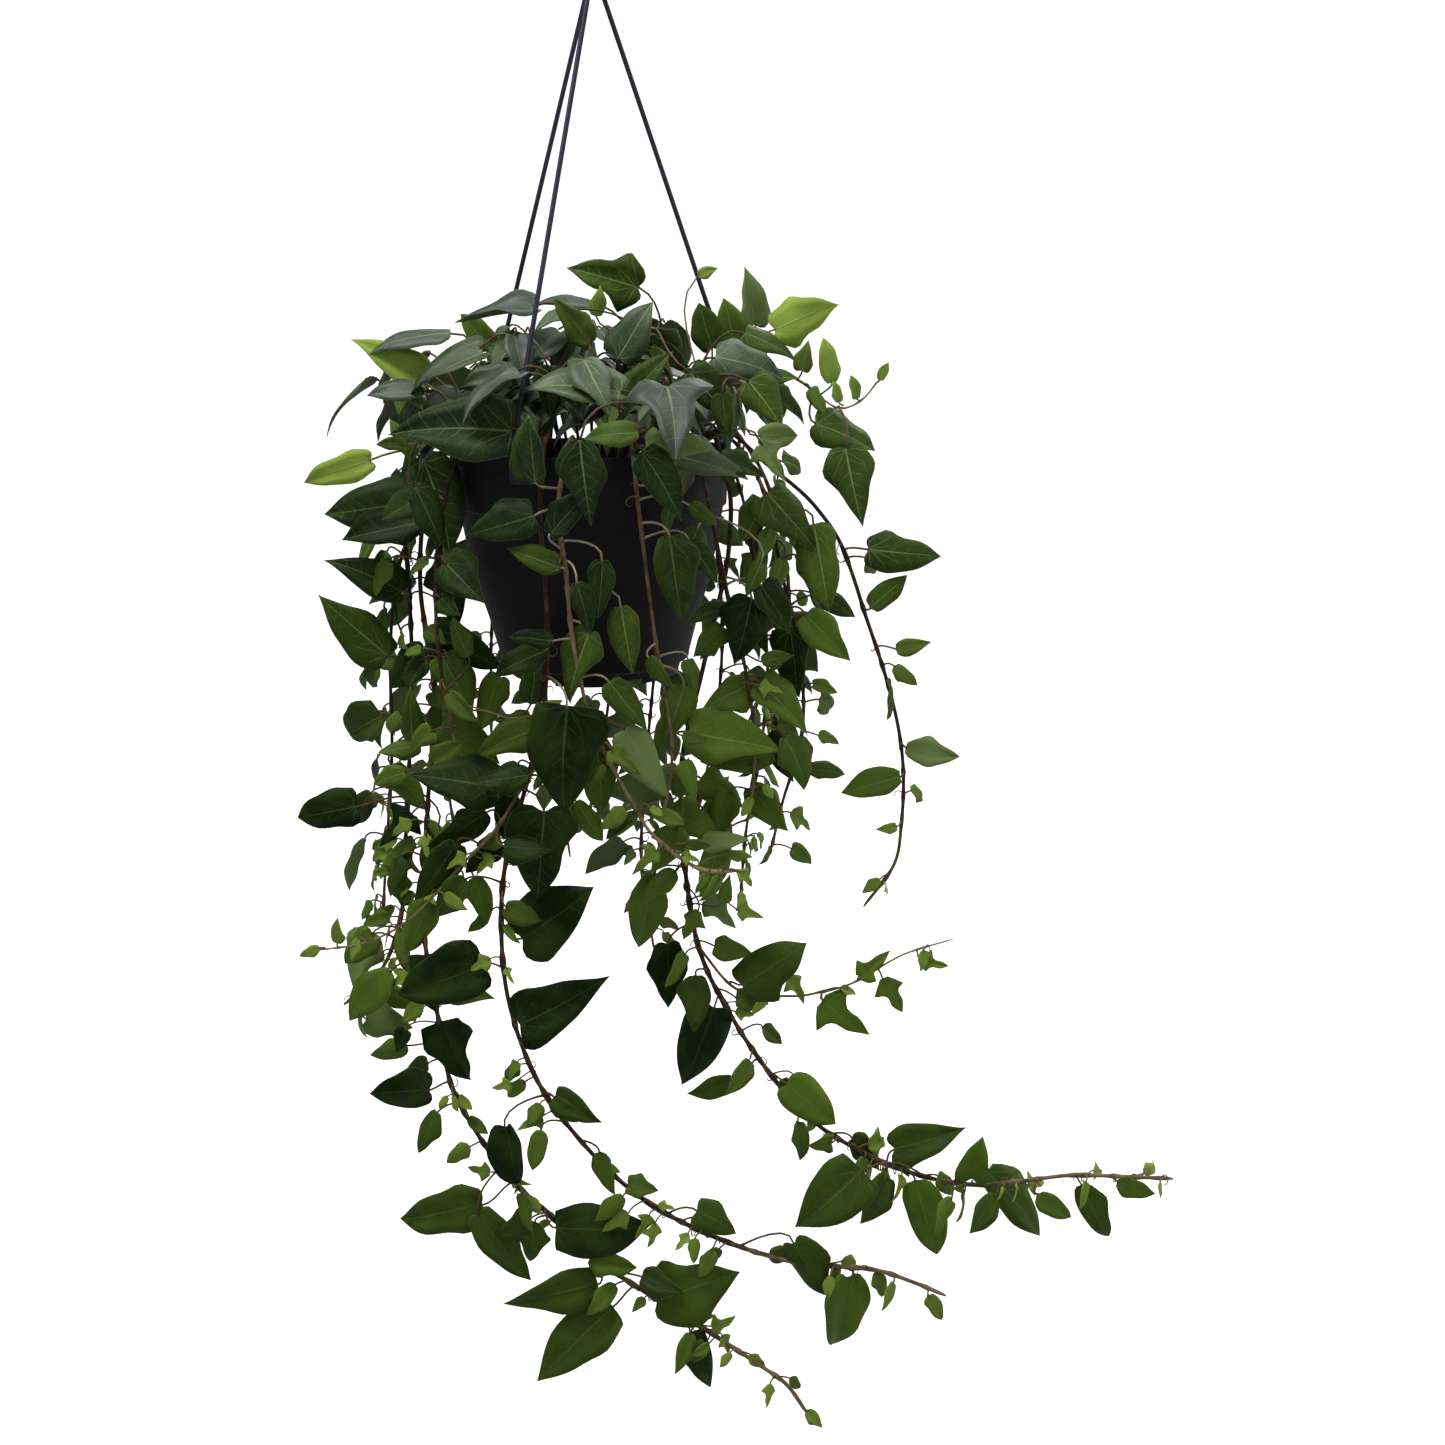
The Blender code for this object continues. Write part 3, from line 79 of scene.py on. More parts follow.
# its section as radius and height over the base: foot, outside, then inside
POT_SECTION = ((56.0, FOOT_HEIGHT), (56.0, 0.0), (60.0, 0.0), (60.4, 7.6), (64.6, 9.4),
               (66.6, 10.4), (67.0, 14.0), (74.0, 41.0), (81.5, 65.0), (87.5, 94.0),
               (91.2, 116.5), (93.4, 118.0), (94.6, 146.0), (RIM_RADIUS, 147.0),
               (RIM_RADIUS, POT_HEIGHT), (RIM_INNER, POT_HEIGHT), (91.4, 119.0),
               (89.2, 117.0), (85.4, 94.0), (71.9, 41.0), (60.0, 8.0))
POT_SIDES = 96
POT_SHARP = 32.0  # edges that turn by more degrees than this are rounded
POT_ROUNDING = 0.7
ROUNDING_CUTS = 2
SMOOTH_UNDER = 40.0  # edges that turn by fewer degrees than this are shaded smooth

# Soil, 0.4 mm inside the wall
SOIL_SECTION = ((59.4, 8.4), (71.2, 41.5), (84.6, 94.5), (88.0, 116.0), (90.4, 121.0),
                (91.2, 135.0), (88.0, 137.2), (60.0, 138.0))
SOIL_SIDES = 48
SOIL_TOP = 139.0
SOIL_Z = BASE_Z + SOIL_TOP
HOLE_DEPTH = 20.0
ROOT_END = 3.0  # the stem's foot stands this far above the hole's floor
NECK_RISE = 4.0  # it runs straight up to this height over the soil
# heights over the pot's base above which the soil's faces are inset, then cut, then made rough
INSET_FROM = 137.5
CUT_FROM = 136.0
ROUGH_FROM = 137.0
SOIL_INSETS = 4
SOIL_INSET = 0.012  # in metres
SOIL_CUTS = 2
CLODS = ((0.0022, 260.0), (0.0030, 70.0))  # height in metres, and how dense they are
SOIL_SMOOTH_UNDER = 50.0
CRUMBS = 160
CRUMB_REACH = 86.0  # how far from the pot's middle they lie
CRUMB_ROUND = (0.0, 6.283)
CRUMB_SIZES = (0.8, 2.6)
CRUMB_LIFT = 0.2  # share of its size by which a crumb's middle is over the soil
CRUMB_TILTS = (0.0, 3.0)
CRUMB_DEPTHS = (0.6, 1.0)
CRUMB_HEIGHTS = (0.4, 0.8)

# Hanger
HOOK_WIRE = 2.4
HOOK_BEND = 13.0
HOOK_ARC = range(200, -31, -10)  # degrees round the bend, from the open end
HOOK_NECK = ((5.0, 0.0, -22.0), (0.5, 0.0, -29.0))
HOOK_IN_COLLAR = 2.0
HOOK_STEP = 2.0
HOOK_END = (1.2, 2.0)  # the wire's first radii, as its open end is rounded
HOOK_ROUNDNESS = 4
COLLAR_TOP = -38.0
COLLAR_BOTTOM = -48.0
COLLAR_RADIUS = 7.0
COLLAR_SIDES = 32
# its section as radius and height over its bottom, with a groove half way
COLLAR_SECTION = ((3.4, 0.0), (COLLAR_RADIUS - 0.4, 0.0), (COLLAR_RADIUS, 0.5),
                  (COLLAR_RADIUS, 3.6), (COLLAR_RADIUS - 0.7, 4.1), (COLLAR_RADIUS - 0.7, 5.9),
                  (COLLAR_RADIUS, 6.4), (COLLAR_RADIUS - 0.3, 9.2), (4.4, 10.0), (2.4, 10.0))
ROD_WIRE = 1.6
ROD_START = 3.8  # rods leave the collar this far from its middle
ROD_PLAY = 0.9  # under the collar, as the slanted end's upper edge then clears it
TOUCH = 0.3  # gap kept between pieces that touch
CLIP_GAP = 0.4  # between the clip and the rim's outside
CLIP_INNER_GAP = 1.0
CLIP_WIDTH = 13.0
CLIP_THICK = 2.4
CLIP_RISE = 19.0  # above the rim
CLIP_DROP = 17.0  # below the rim
CLIP_INNER_DROP = 9.0
CLIP_SLANT = (3.0, 0.6)  # how far from its inner end the bridge slants, and how far down
CLIP_ROUNDING = 0.6
ROD_IN_CLIP = 6.0  # the rod ends this far below the clip's top
ROD_BEND = 3.0  # and bends upright this far above it
ROD_CORNERS = 9.0  # its bends begin this far before their corners,
CORNER_SHARE = 0.45  # or at this share of a shorter stretch
CORNER_STEPS = 5
ROD_ROUNDNESS = 3
# azimuth of each clip from the front towards +X, then bends of its rod on the way down
RODS = {
    "hanger_rod_front_left": (-23.0, ()),
    "hanger_rod_rear_left": (-126.0, ()),
    "hanger_rod_right": (106.0, ((72.0, 18.0, -246.0), (81.0, 22.0, -270.0))),
}

# Leaves
BLADE_THICK = 0.7
STALK_RADIUS = 0.9
STALK_ROOT = 0.45  # thinner where it enters the stem, so that it stays inside
CLEARANCE = 1.1  # kept between the leaves of different stems
# half outlines as share of the blade's length and of its half width, base to tip
FORMS = {
    "arrow": ((-0.10, 0.62), (0.17, 1.00), (0.60, 0.58)),
    "heart": ((-0.09, 0.66), (0.24, 1.00), (0.66, 0.64)),
    "lobed": ((-0.09, 0.48), (0.15, 1.00), (0.34, 0.56), (0.70, 0.36)),
    "spear": ((0.04, 0.78), (0.38, 1.00)),
    "bird": ((-0.05, 0.30), (0.20, 1.00), (0.40, 0.34)),
    "young": ((0.08, 0.78), (0.44, 1.00)),
}
WIDTHS = {"arrow": 0.62, "heart": 0.72, "lobed": 0.84, "spear": 0.52, "bird": 0.86, "young": 0.52}
FAN_AT = {"arrow": 0.34, "heart": 0.36, "lobed": 0.26, "spear": 0.36, "bird": 0.20, "young": 0.40}
# shares of the blade's length by which it arches, and its tip and edges droop
BLADE_ARCH = 1.4
TIP_DROOP = 1.2
EDGE_DROOP = 0.9
HEEL = 0.5  # the blade is this much thicker where the stalk leaves it
BENT_STALK = 34.0  # stalks longer than this are arched
LONGEST_STALK = 78.0
STALK_BACK = 0.30  # shares of the stalk's span: back along the blade, off it, and up
STALK_OFF = 0.06
STALK_RISE = 0.10
STALK_MIDDLE = 0.45  # where its bend lies on the straight way, and how near it is drawn to it
STALK_EASE = 0.35
LEAST_TURN = -0.1  # a stalk leaves its blade at a blunter angle than this cosine
SISTER_GAP = 0.2  # kept between the leaves of one stem
POT_GUARD = (62.0, 31.0, 4.0)  # radius kept free at the base, its growth, and beyond the rim
SOIL_GUARD = 2.0

# Stems
STEM_STEP = 27.0
STEM_TAPER = 0.45
ROOT_RADIUS = 66.0
CREST_RISE = 13.0  # hanging stems cross the rim this high, and this far inside its edge
CREST_IN = 4.0
SHOOT_THICK = 1.1
CROWN_THICK = 1.6
CROWN_BEND = (0.42, 0.72, 4.0)  # shares of a crown stem's reach and rise at its bend

# Choosing the place where a stalk leaves its stem
ROOT_STEPS = 60
FOLD_EASE = 0.35  # a stalk that turns back on its blade by more than this costs more
CLIMB_COST = 0.4  # and so does one that climbs to its blade
STIFFNESS = 4.0

# Leaves that are given one by one
LEAN = 0.25  # how far a blade leans back to face up
LEAN_STEP = 0.03
DEPTH_STEP = 2.0  # how far each further try moves it, by turns away and nearer
TIP_FORWARD = 0.12
BLADE_TWIST = 0.5
GIVEN_LIFT = 0.06
GIVEN_SIZE = 1.06  # blades are a little longer than they look, as they arch
GIVEN_STIFFNESS = (2.0, 7)  # the least, and how many further ones are tried by turns
OWN_TRIES = 40
OTHER_TRIES = 19
OWNERS = 5  # the best stems that a leaf is offered to

# Leaves that follow a rule: ranges that are drawn from, as shares or in degrees
OUTWARD = 0.75  # how far hanging leaves face away from the pot, and crown leaves reach out
CROWN_OUT = 0.8
HANGING_RULE = dict(to_viewer=(0.1, 0.75), reach=(0.35, 0.62), aside=(0.45, 0.95), out=(0.3, 0.8),
                    up=(-0.3, 0.35), turn=(5.0, 75.0), tip_out=(-0.1, 0.45), face_up=(0.0, 0.7),
                    face_aside=(-0.4, 0.4))
CROWN_RULE = dict(swing=(10.0, 70.0), reach=(0.35, 0.7), up=(0.05, 0.75), dip=(0.0, 45.0),
                  face_out=(0.2, 0.8), to_viewer=(0.0, 0.4))
BACK_Y = 40.0  # leaves behind this turn away from the viewer
BACK_TURN = -0.6
CROWN_DIP = 26.0  # further dip of the blades for each EDGE_REACH from the middle
EDGE_REACH = 90.0
MOST_DIP = 1.6
RULED_TRIES = 14
SAME_SIDE = 8  # tries before the leaf changes to the stem's other side
TRY_TURN = 4.0  # each try lets a leaf turn further and makes it smaller
TRY_REACH = 0.04
TRY_SHRINK = 0.025
LIFTS = (0.02, 0.10)
SIZES = (0.72, 1.22)
CROWN_SIZES = (0.75, 1.18)
TIP_SHARE = 0.86  # beyond this share of a stem its leaves are young
YOUNG_SIZE = 0.5
BARE_FOOT = 0.14  # share of a stem without leaves, and of a shoot
BARE_SHOOT = 0.12
SHOOT_SPACING = 1.15
CROWN_START = 0.30
CROWN_STEP = 0.9  # where in its stretch of a crown stem each leaf grows
STRETCH = (0.2, 0.8)  # and each leaf of a hanging one
LAST_SHARE = 0.99
FOOT_SIZE = 1.08  # size at a stem's foot, and how much of it is lost towards the tip
SIZE_LOSS = 0.30
OLD_FORMS = ("arrow", "spear", "spear", "heart", "spear")
YOUNG_FORMS = ("young", "young", "bird")
CROWN_FORMS = ("arrow", "heart", "heart", "arrow", "lobed")


# Hanging stems: azimuth where each leaves the soil, route outside the rim, thickness at its foot,
# spacing of the ruled leaves, their length, and the share of the route where they begin.
HANGING = {
    "stem_left_outer": dict(azimuth=-81, thick=1.7, spacing=44, size=40, start=0.16, route=(
        (-133, -20, -365), (-133, -26, -420), (-132, -32, -480), (-136, -40, -554),
        (-141, -48, -620), (-144, -54, -660), (-158, -60, -700), (-187, -64, -728))),
    "stem_left_long": dict(azimuth=-68, thick=1.9, spacing=48, size=38, start=0.10, route=(
        (-114, -46, -372), (-120, -50, -435), (-112, -61, -498), (-119, -66, -574),
        (-122, -76, -629), (-123, -82, -671), (-113, -90, -740), (-104, -98, -781),
        (-69, -108, -837), (-42, -113, -862), (5, -124, -902), (68, -134, -941),
        (128, -142, -982), (143, -145, -1004))),
    "stem_front_long": dict(azimuth=-12, thick=1.9, spacing=54, size=38, start=0.22, route=(
        (-31, -108, -372), (-29, -106, -440), (-33, -106, -500), (-44, -104, -545),
        (-60, -106, -600), (-65, -110, -640), (-63, -113, -695), (-48, -116, -750),
        (-23, -119, -793), (19, -122, -840), (67, -125, -870), (128, -128, -892),
        (190, -130, -898), (239, -132, -917))),
    "stem_front_tan": dict(azimuth=-2, thick=1.6, spacing=60, size=30, start=0.42, route=(
        (-19, -116, -368), (-15, -117, -410), (-12, -117, -452), (0, -119, -511),
        (18, -121, -547), (39, -123, -582), (68, -125, -603), (98, -127, -603))),
    "stem_right_long": dict(azimuth=62, thick=1.9, spacing=46, size=36, start=0.12, route=(
        (88, -57, -372), (86, -60, -410), (66, -66, -497), (55, -72, -546), (56, -76, -610),
        (66, -80, -677), (84, -85, -717), (109, -90, -758), (149, -94, -805), (209, -99, -838),
        (266, -103, -848), (324, -107, -838), (398, -111, -838))),
    "stem_right_outer": dict(azimuth=76, thick=1.6, spacing=60, size=30, start=0.02, route=(
        (112, -30, -350), (135, -32, -368), (161, -34, -400), (180, -37, -451),
        (200, -40, -511), (209, -43, -566), (204, -45, -629), (183, -47, -660))),
    "stem_right_inner": dict(azimuth=92, thick=1.5, spacing=40, size=38, start=0.05, route=(
        (112, -4, -362), (127, -10, -420), (129, -16, -455), (116, -22, -495), (94, -28, -545))),
    "stem_right_front": dict(azimuth=48, thick=1.5, spacing=46, size=40, start=0.08, route=(
        (74, -84, -372), (86, -86, -430), (98, -88, -480), (104, -90, -530), (100, -92, -580))),
    "stem_right_middle": dict(azimuth=70, thick=1.5, spacing=42, size=42, start=0.05, root=50,
        route=((108, -44, -362), (122, -50, -420), (134, -56, -470), (137, -62, -525),
               (124, -66, -575), (116, -68, -610))),
    "stem_right_rear": dict(azimuth=120, thick=1.5, spacing=42, size=42, start=0.08, route=(
        (94, 54, -370), (108, 52, -440), (116, 42, -500), (112, 32, -560), (100, 24, -630),
        (96, 18, -690))),
    "stem_left_rear": dict(azimuth=-95, thick=1.5, spacing=42, size=44, start=0.08, route=(
        (-124, 8, -370), (-148, 10, -430), (-156, 8, -490), (-158, 4, -560), (-166, 0, -640),
        (-170, -6, -690))),
    "stem_left_front": dict(azimuth=-52, thick=1.5, spacing=46, size=40, start=0.08, route=(
        (-97, -72, -370), (-104, -82, -430), (-100, -90, -490), (-90, -94, -545))),
    "stem_front_right": dict(azimuth=20, thick=1.4, spacing=62, size=36, start=0.30, route=(
        (30, -109, -368), (36, -112, -420), (42, -110, -470), (50, -108, -525), (44, -104, -570))),
    "stem_back_right": dict(azimuth=136, thick=1.5, spacing=48, size=44, start=0.08, route=(
        (70, 80, -370), (80, 90, -440), (82, 94, -510), (74, 96, -580), (60, 98, -650))),
    "stem_back_long": dict(azimuth=158, thick=1.6, spacing=52, size=44, start=0.08, route=(
        (34, 103, -370), (36, 112, -450), (28, 116, -530), (20, 118, -610), (16, 116, -690),
        (26, 108, -760))),
    "stem_back_middle": dict(azimuth=180, thick=1.5, spacing=46, size=42, start=0.10, route=(
        (-8, 108, -370), (-6, 110, -440), (-4, 98, -510), (-10, 80, -570), (-24, 62, -640))),
    "stem_back_left": dict(azimuth=-158, thick=1.5, spacing=50, size=44, start=0.08, route=(
        (-50, 103, -370), (-58, 112, -440), (-60, 116, -520), (-52, 116, -600),
        (-42, 112, -680))),
    "stem_rear_left": dict(azimuth=-141, thick=1.4, spacing=46, size=42, start=0.08, route=(
        (-79, 85, -370), (-92, 94, -440), (-98, 98, -510), (-100, 96, -575))),
    "stem_left_back": dict(azimuth=-109, thick=1.5, spacing=46, size=42, start=0.08, route=(
        (-113, 38, -370), (-126, 46, -440), (-132, 46, -510), (-128, 42, -580),
        (-120, 38, -640))),
}

# Routes of the side shoots, fused to the stem they grow from
SHOOTS = {
    "stem_right_long": ((69, -81, -685), (93, -84, -707), (130, -86, -711), (173, -90, -699),
                        (206, -93, -677), (240, -96, -664)),
    "stem_front_long": ((-40, -105, -535), (-62, -110, -575), (-90, -108, -606),
                        (-129, -102, -648), (-165, -96, -668), (-205, -90, -675)),
}

# Crown stems: azimuth, where the root stands, how far out and how high over the rim they reach,
# number of leaves and their length.
CROWN = {
    "stem_crown_top": (10, 8, 20, 82, 6, 54),
    "stem_crown_front": (-6, 34, 92, 44, 4, 56),
    "stem_crown_front_left": (-43, 45, 118, 30, 4, 60),
    "stem_crown_front_right": (30, 45, 116, 30, 4, 56),
    "stem_crown_left": (-74, 42, 136, 40, 5, 64),
    "stem_crown_right": (58, 40, 124, 44, 5, 58),
    "stem_crown_far_left": (-101, 36, 138, 34, 6, 58),
    "stem_crown_far_right": (86, 30, 130, 40, 6, 56),
    "stem_crown_rear_right": (146, 42, 122, 32, 6, 56),
    "stem_crown_rear_left": (-149, 42, 122, 34, 6, 56),
    "stem_crown_rear": (178, 46, 118, 28, 6, 56),
    "stem_crown_high_right": (47, 21, 62, 78, 5, 54),
    "stem_crown_high_left": (-52, 21, 62, 74, 5, 54),
    "stem_crown_high_rear": (128, 22, 64, 68, 5, 54),
    "stem_crown_high_back": (-128, 20, 56, 72, 5, 54),
}
# A thin runner that arches out of the crown on the right, with small pale leaves.
RUNNER = dict(azimuth=84, root=55, thick=1.2, route=(
    (84, -12, -318), (110, -18, -290), (134, -22, -296), (158, -26, -313), (174, -28, -309),
    (186, -30, -295)))

# Leaves placed one by one, as seen from the front: blade base x, z and tip x, z, then depth y.
PLACED = {
    "stem_front_long": (
        (-16, -494, -25, -562, -122, "heart"), (-33, -565, -38, -622, -116, "heart"),
        (-51, -654, -3, -622, -120, "heart"), (-56, -717, 4, -685, -124, "arrow"),
        (-79, -677, -132, -699, -112, "heart"), (-67, -793, -58, -837, -122, "arrow"),
        (132, -877, 158, -919, -132, "arrow"), (-192, -671, -206, -678, -94, "young"),
        (-180, -668, -179, -650, -96, "young"),
        (172, -904, 164, -958, -134, "heart"), (-2, -810, 6, -841, -124, "spear"),
        (-36, -352, -37, -316, -118, "heart"), (226, -915, 236, -934, -134, "young")),
    "stem_left_long": (
        (-101, -416, -93, -453, -64, "lobed"), (-33, -866, 29, -864, -128, "arrow"),
        (-113, -726, -95, -769, -98, "heart"), (-122, -777, -161, -775, -98, "heart"),
        (-86, -857, -142, -865, -114, "arrow"), (-88, -861, -54, -909, -114, "arrow"),
        (-5, -911, -68, -925, -130, "arrow"), (5, -928, -49, -979, -132, "heart"),
        (36, -923, 90, -894, -140, "heart"), (60, -940, 75, -982, -146, "young"),
        (142, -1000, 154, -1012, -146, "young")),
    "stem_left_outer": (
        (-173, -585, -212, -593, -48, "heart"), (-134, -434, -179, -408, -42, "arrow"),
        (-146, -478, -188, -439, -44, "arrow"), (-125, -373, -178, -385, -44, "heart"),
        (-112, -345, -92, -402, -52, "arrow")),
    "stem_right_long": (
        (36, -622, 25, -674, -84, "spear"), (45, -672, 47, -717, -86, "arrow"),
        (96, -700, 137, -669, -92, "arrow"), (77, -717, 55, -774, -92, "arrow"),
        (91, -772, 60, -783, -94, "spear"), (127, -772, 160, -800, -98, "heart"),
        (178, -822, 136, -866, -102, "arrow"), (203, -822, 251, -808, -106, "arrow"),
        (218, -842, 233, -899, -108, "spear"), (258, -842, 261, -811, -108, "heart"),
        (273, -849, 316, -892, -110, "spear"), (302, -848, 326, -867, -114, "young"),
        (334, -842, 354, -883, -112, "spear"), (358, -838, 384, -850, -114, "young"),
        (130, -704, 142, -722, -90, "bird"), (152, -712, 184, -737, -92, "bird"),
        (176, -694, 194, -674, -92, "bird"), (193, -695, 207, -718, -94, "bird"),
        (217, -679, 236, -684, -96, "bird")),
    "stem_right_outer": (
        (180, -405, 226, -410, -48, "arrow"), (182, -446, 204, -423, -46, "young"),
        (200, -473, 223, -468, -48, "young"), (199, -484, 214, -498, -48, "young"),
        (209, -542, 244, -550, -50, "spear"), (206, -563, 167, -571, -50, "spear"),
        (205, -599, 191, -602, -50, "young"), (194, -637, 181, -646, -52, "young")),
    "stem_front_tan": (
        (-33, -374, -72, -387, -121, "arrow"), (-24, -385, 0, -358, -124, "spear"),
        (-17, -406, -48, -394, -124, "spear"), (8, -401, 6, -436, -124, "spear"),
        (-2, -449, -17, -491, -128, "arrow"), (19, -430, 27, -470, -126, "spear"),
        (20, -509, 46, -551, -130, "spear")),
    "stem_front_right": (
        (34, -334, 60, -371, -122, "arrow"), (50, -386, 56, -438, -122, "spear")),
    "stem_right_middle": (
        (142, -386, 154, -441, -64, "spear"), (112, -366, 144, -404, -60, "arrow")),
    "runner_right": (
        (160, -310, 157, -296, -30, "young"), (172, -308, 168, -293, -31, "young"),
        (186, -296, 190, -284, -32, "young"), (140, -300, 152, -316, -30, "young")),
}

# More leaves in the same form, and how far each leans back. Each grows from the stem that suits
# it best.
GIVEN = (
    # over the soil and the rim
    (-48, -322, -119, -316, -100, "arrow", 0.5), (20, -300, -36, -290, -92, "arrow", 0.8),
    (-71, -274, -121, -296, -66, "arrow", 1.2), (-39, -248, -88, -254, -40, "arrow", 2),
    (-3, -247, -40, -243, -22, "spear", 1.8), (-93, -265, -143, -271, -46, "spear", 2.5),
    (-111, -296, -154, -269, -60, "arrow", 0.3), (-71, -273, -89, -255, -26, "heart", 0.2),
    (-27, -286, -28, -316, -80, "heart", 0.3), (-31, -352, -32, -316, -126, "heart", 0.1),
    (-119, -334, -129, -320, -76, "spear", 0.2), (-146, -345, -188, -358, -62, "arrow", 0.3),
    (26, -235, -20, -222, 16, "lobed", 0.2), (15, -281, 36, -248, -48, "heart", 0.4),
    (76, -314, 28, -313, -72, "arrow", 0.5),
    (20, -306, 50, -280, -84, "spear", 0.3), (62, -289, 85, -313, -86, "heart", 0.5),
    (82, -301, 85, -327, -94, "spear", 0.2), (76, -275, 67, -248, -30, "heart", 0.1),
    (90, -272, 86, -244, -2, "heart", 0.1), (105, -260, 100, -224, 8, "arrow", 0.1),
    (117, -263, 156, -247, -22, "arrow", 0.3), (155, -297, 149, -270, -26, "spear", 0.1),
    (135, -289, 139, -271, -32, "heart", 0.1), (97, -265, 130, -280, -40, "arrow", 0.8),
    (78, -280, 120, -288, -64, "arrow", 0.6), (104, -294, 130, -293, -56, "arrow", 0.6),
    (99, -294, 121, -320, -78, "heart", 0.3), (116, -302, 137, -319, -60, "lobed", 0.5),
    (106, -328, 128, -326, -92, "heart", 0.3), (107, -332, 120, -355, -98, "bird", 0.3),
    (144, -323, 183, -336, -46, "heart", 0.3), (164, -338, 172, -387, -50, "arrow", 0.1),
    (32, -323, -2, -324, -114, "spear", 0.4), (35, -332, 73, -332, -116, "spear", 0.4),
    (38, -334, 31, -346, -122, "young", 0.2), (46, -336, 96, -350, -108, "spear", 0.4),
    (-18, -252, -39, -261, -62, "arrow", 0.8), (-1, -272, -20, -244, -72, "spear", 0.1),
    (1, -255, 4, -237, -58, "young", 0.1), (-51, -291, -80, -294, -80, "arrow", 0.8),
    (-108, -301, -142, -301, -72, "spear", 0.8), (-3, -327, 1, -376, -118, "spear", 0.1),
    # right of the pot and below it
    (82, -342, 109, -350, -100, "arrow", 0.4), (62, -368, 77, -381, -114, "spear", 0.2),
    (50, -368, 47, -387, -112, "spear", 0.2), (62, -391, 79, -415, -112, "spear", 0.2),
    (102, -431, 93, -472, -92, "heart", 0.1), (105, -436, 108, -467, -84, "spear", 0.1),
    (127, -455, 134, -500, -70, "arrow", 0.1), (138, -445, 166, -475, -66, "arrow", 0.2),
    (118, -458, 156, -455, -56, "spear", 0.4), (86, -436, 60, -443, -104, "spear", 0.6),
    (82, -449, 66, -469, -96, "heart", 0.2), (104, -488, 69, -503, -94, "arrow", 0.2),
    (108, -488, 141, -516, -76, "arrow", 0.2), (36, -463, 51, -482, -122, "spear", 0.2),
    (58, -487, 46, -524, -100, "arrow", 0.1), (122, -408, 115, -435, -70, "spear", 0.1),
    (107, -408, 98, -428, -94, "arrow", 0.2), (61, -517, 118, -528, -94, "arrow", 0.5),
    (117, -537, 71, -543, -84, "spear", 0.4), (112, -529, 129, -559, -70, "lobed", 0.2),
    (102, -562, 123, -593, -80, "arrow", 0.2), (87, -564, 83, -590, -84, "heart", 0.1),
    (50, -577, 80, -587, -92, "heart", 0.3), (52, -562, 61, -537, -98, "spear", 0.1),
    (23, -543, 40, -572, -104, "heart", 0.2), (27, -564, 8, -581, -110, "spear", 0.4),
    (52, -581, 38, -612, -98, "lobed", 0.1), (69, -593, 98, -590, -100, "spear", 0.6),
    (86, -604, 102, -604, -96, "young", 0.4), (80, -599, 72, -635, -92, "arrow", 0.1),
    (11, -478, 33, -508, -122, "spear", 0.2), (84, -637, 87, -618, -98, "spear", 0.1),
    (93, -642, 110, -645, -94, "bird", 0.3), (77, -671, 101, -676, -92, "heart", 0.4),
    (66, -647, 56, -667, -96, "bird", 0.2),
    # left of the pot and below it
    (-119, -473, -140, -500, -50, "heart", 0.1), (-113, -461, -68, -479, -58, "arrow", 0.3),
    (-86, -473, -97, -449, -72, "spear", 0.1), (-104, -474, -84, -512, -64, "arrow", 0.1),
    (-67, -488, -81, -521, -72, "heart", 0.1), (-29, -459, -62, -475, -112, "spear", 0.5),
    (-24, -453, -50, -450, -118, "spear", 0.5), (-6, -412, 3, -442, -124, "spear", 0.1),
    (-114, -359, -95, -393, -84, "spear", 0.1), (-119, -385, -166, -395, -56, "arrow", 0.6),
    (-128, -533, -127, -498, -64, "spear", 0.1), (-124, -539, -152, -541, -56, "spear", 0.4),
    (-112, -521, -108, -501, -74, "spear", 0.1), (-112, -523, -70, -545, -66, "arrow", 0.3),
    (-109, -539, -91, -526, -92, "heart", 0.2), (-62, -554, -119, -542, -104, "arrow", 0.4),
    (-41, -540, -76, -544, -116, "spear", 0.4), (-43, -520, -81, -532, -88, "arrow", 0.4),
    (-45, -516, -69, -514, -80, "spear", 0.4), (-144, -552, -123, -582, -60, "spear", 0.1),
    (-13, -561, 4, -586, -112, "spear", 0.2), (1, -521, 8, -566, -112, "arrow", 0.1),
    (-131, -585, -154, -608, -62, "bird", 0.1), (-113, -593, -124, -630, -72, "spear", 0.1),
    (-75, -575, -111, -601, -92, "spear", 0.1), (-94, -593, -119, -633, -88, "spear", 0.1),
    (-59, -559, -66, -592, -108, "spear", 0.1),
    (-56, -583, -28, -585, -124, "heart", 0.3), (-65, -595, -91, -612, -98, "spear", 0.3),
    (-134, -647, -148, -638, -66, "heart", 0.3), (-153, -663, -169, -667, -60, "heart", 0.3),
    (-118, -644, -137, -680, -80, "arrow", 0.1), (-162, -671, -181, -694, -70, "heart", 0.1),
    (-93, -625, -112, -647, -92, "arrow", 0.1), (-84, -619, -76, -651, -100, "spear", 0.1),
    (-77, -649, -90, -661, -104, "spear", 0.1), (-60, -631, -39, -641, -120, "heart", 0.2),
    (-36, -501, -22, -492, -110, "young", 0.1), (-42, -499, -35, -467, -112, "young", 0.1),
)

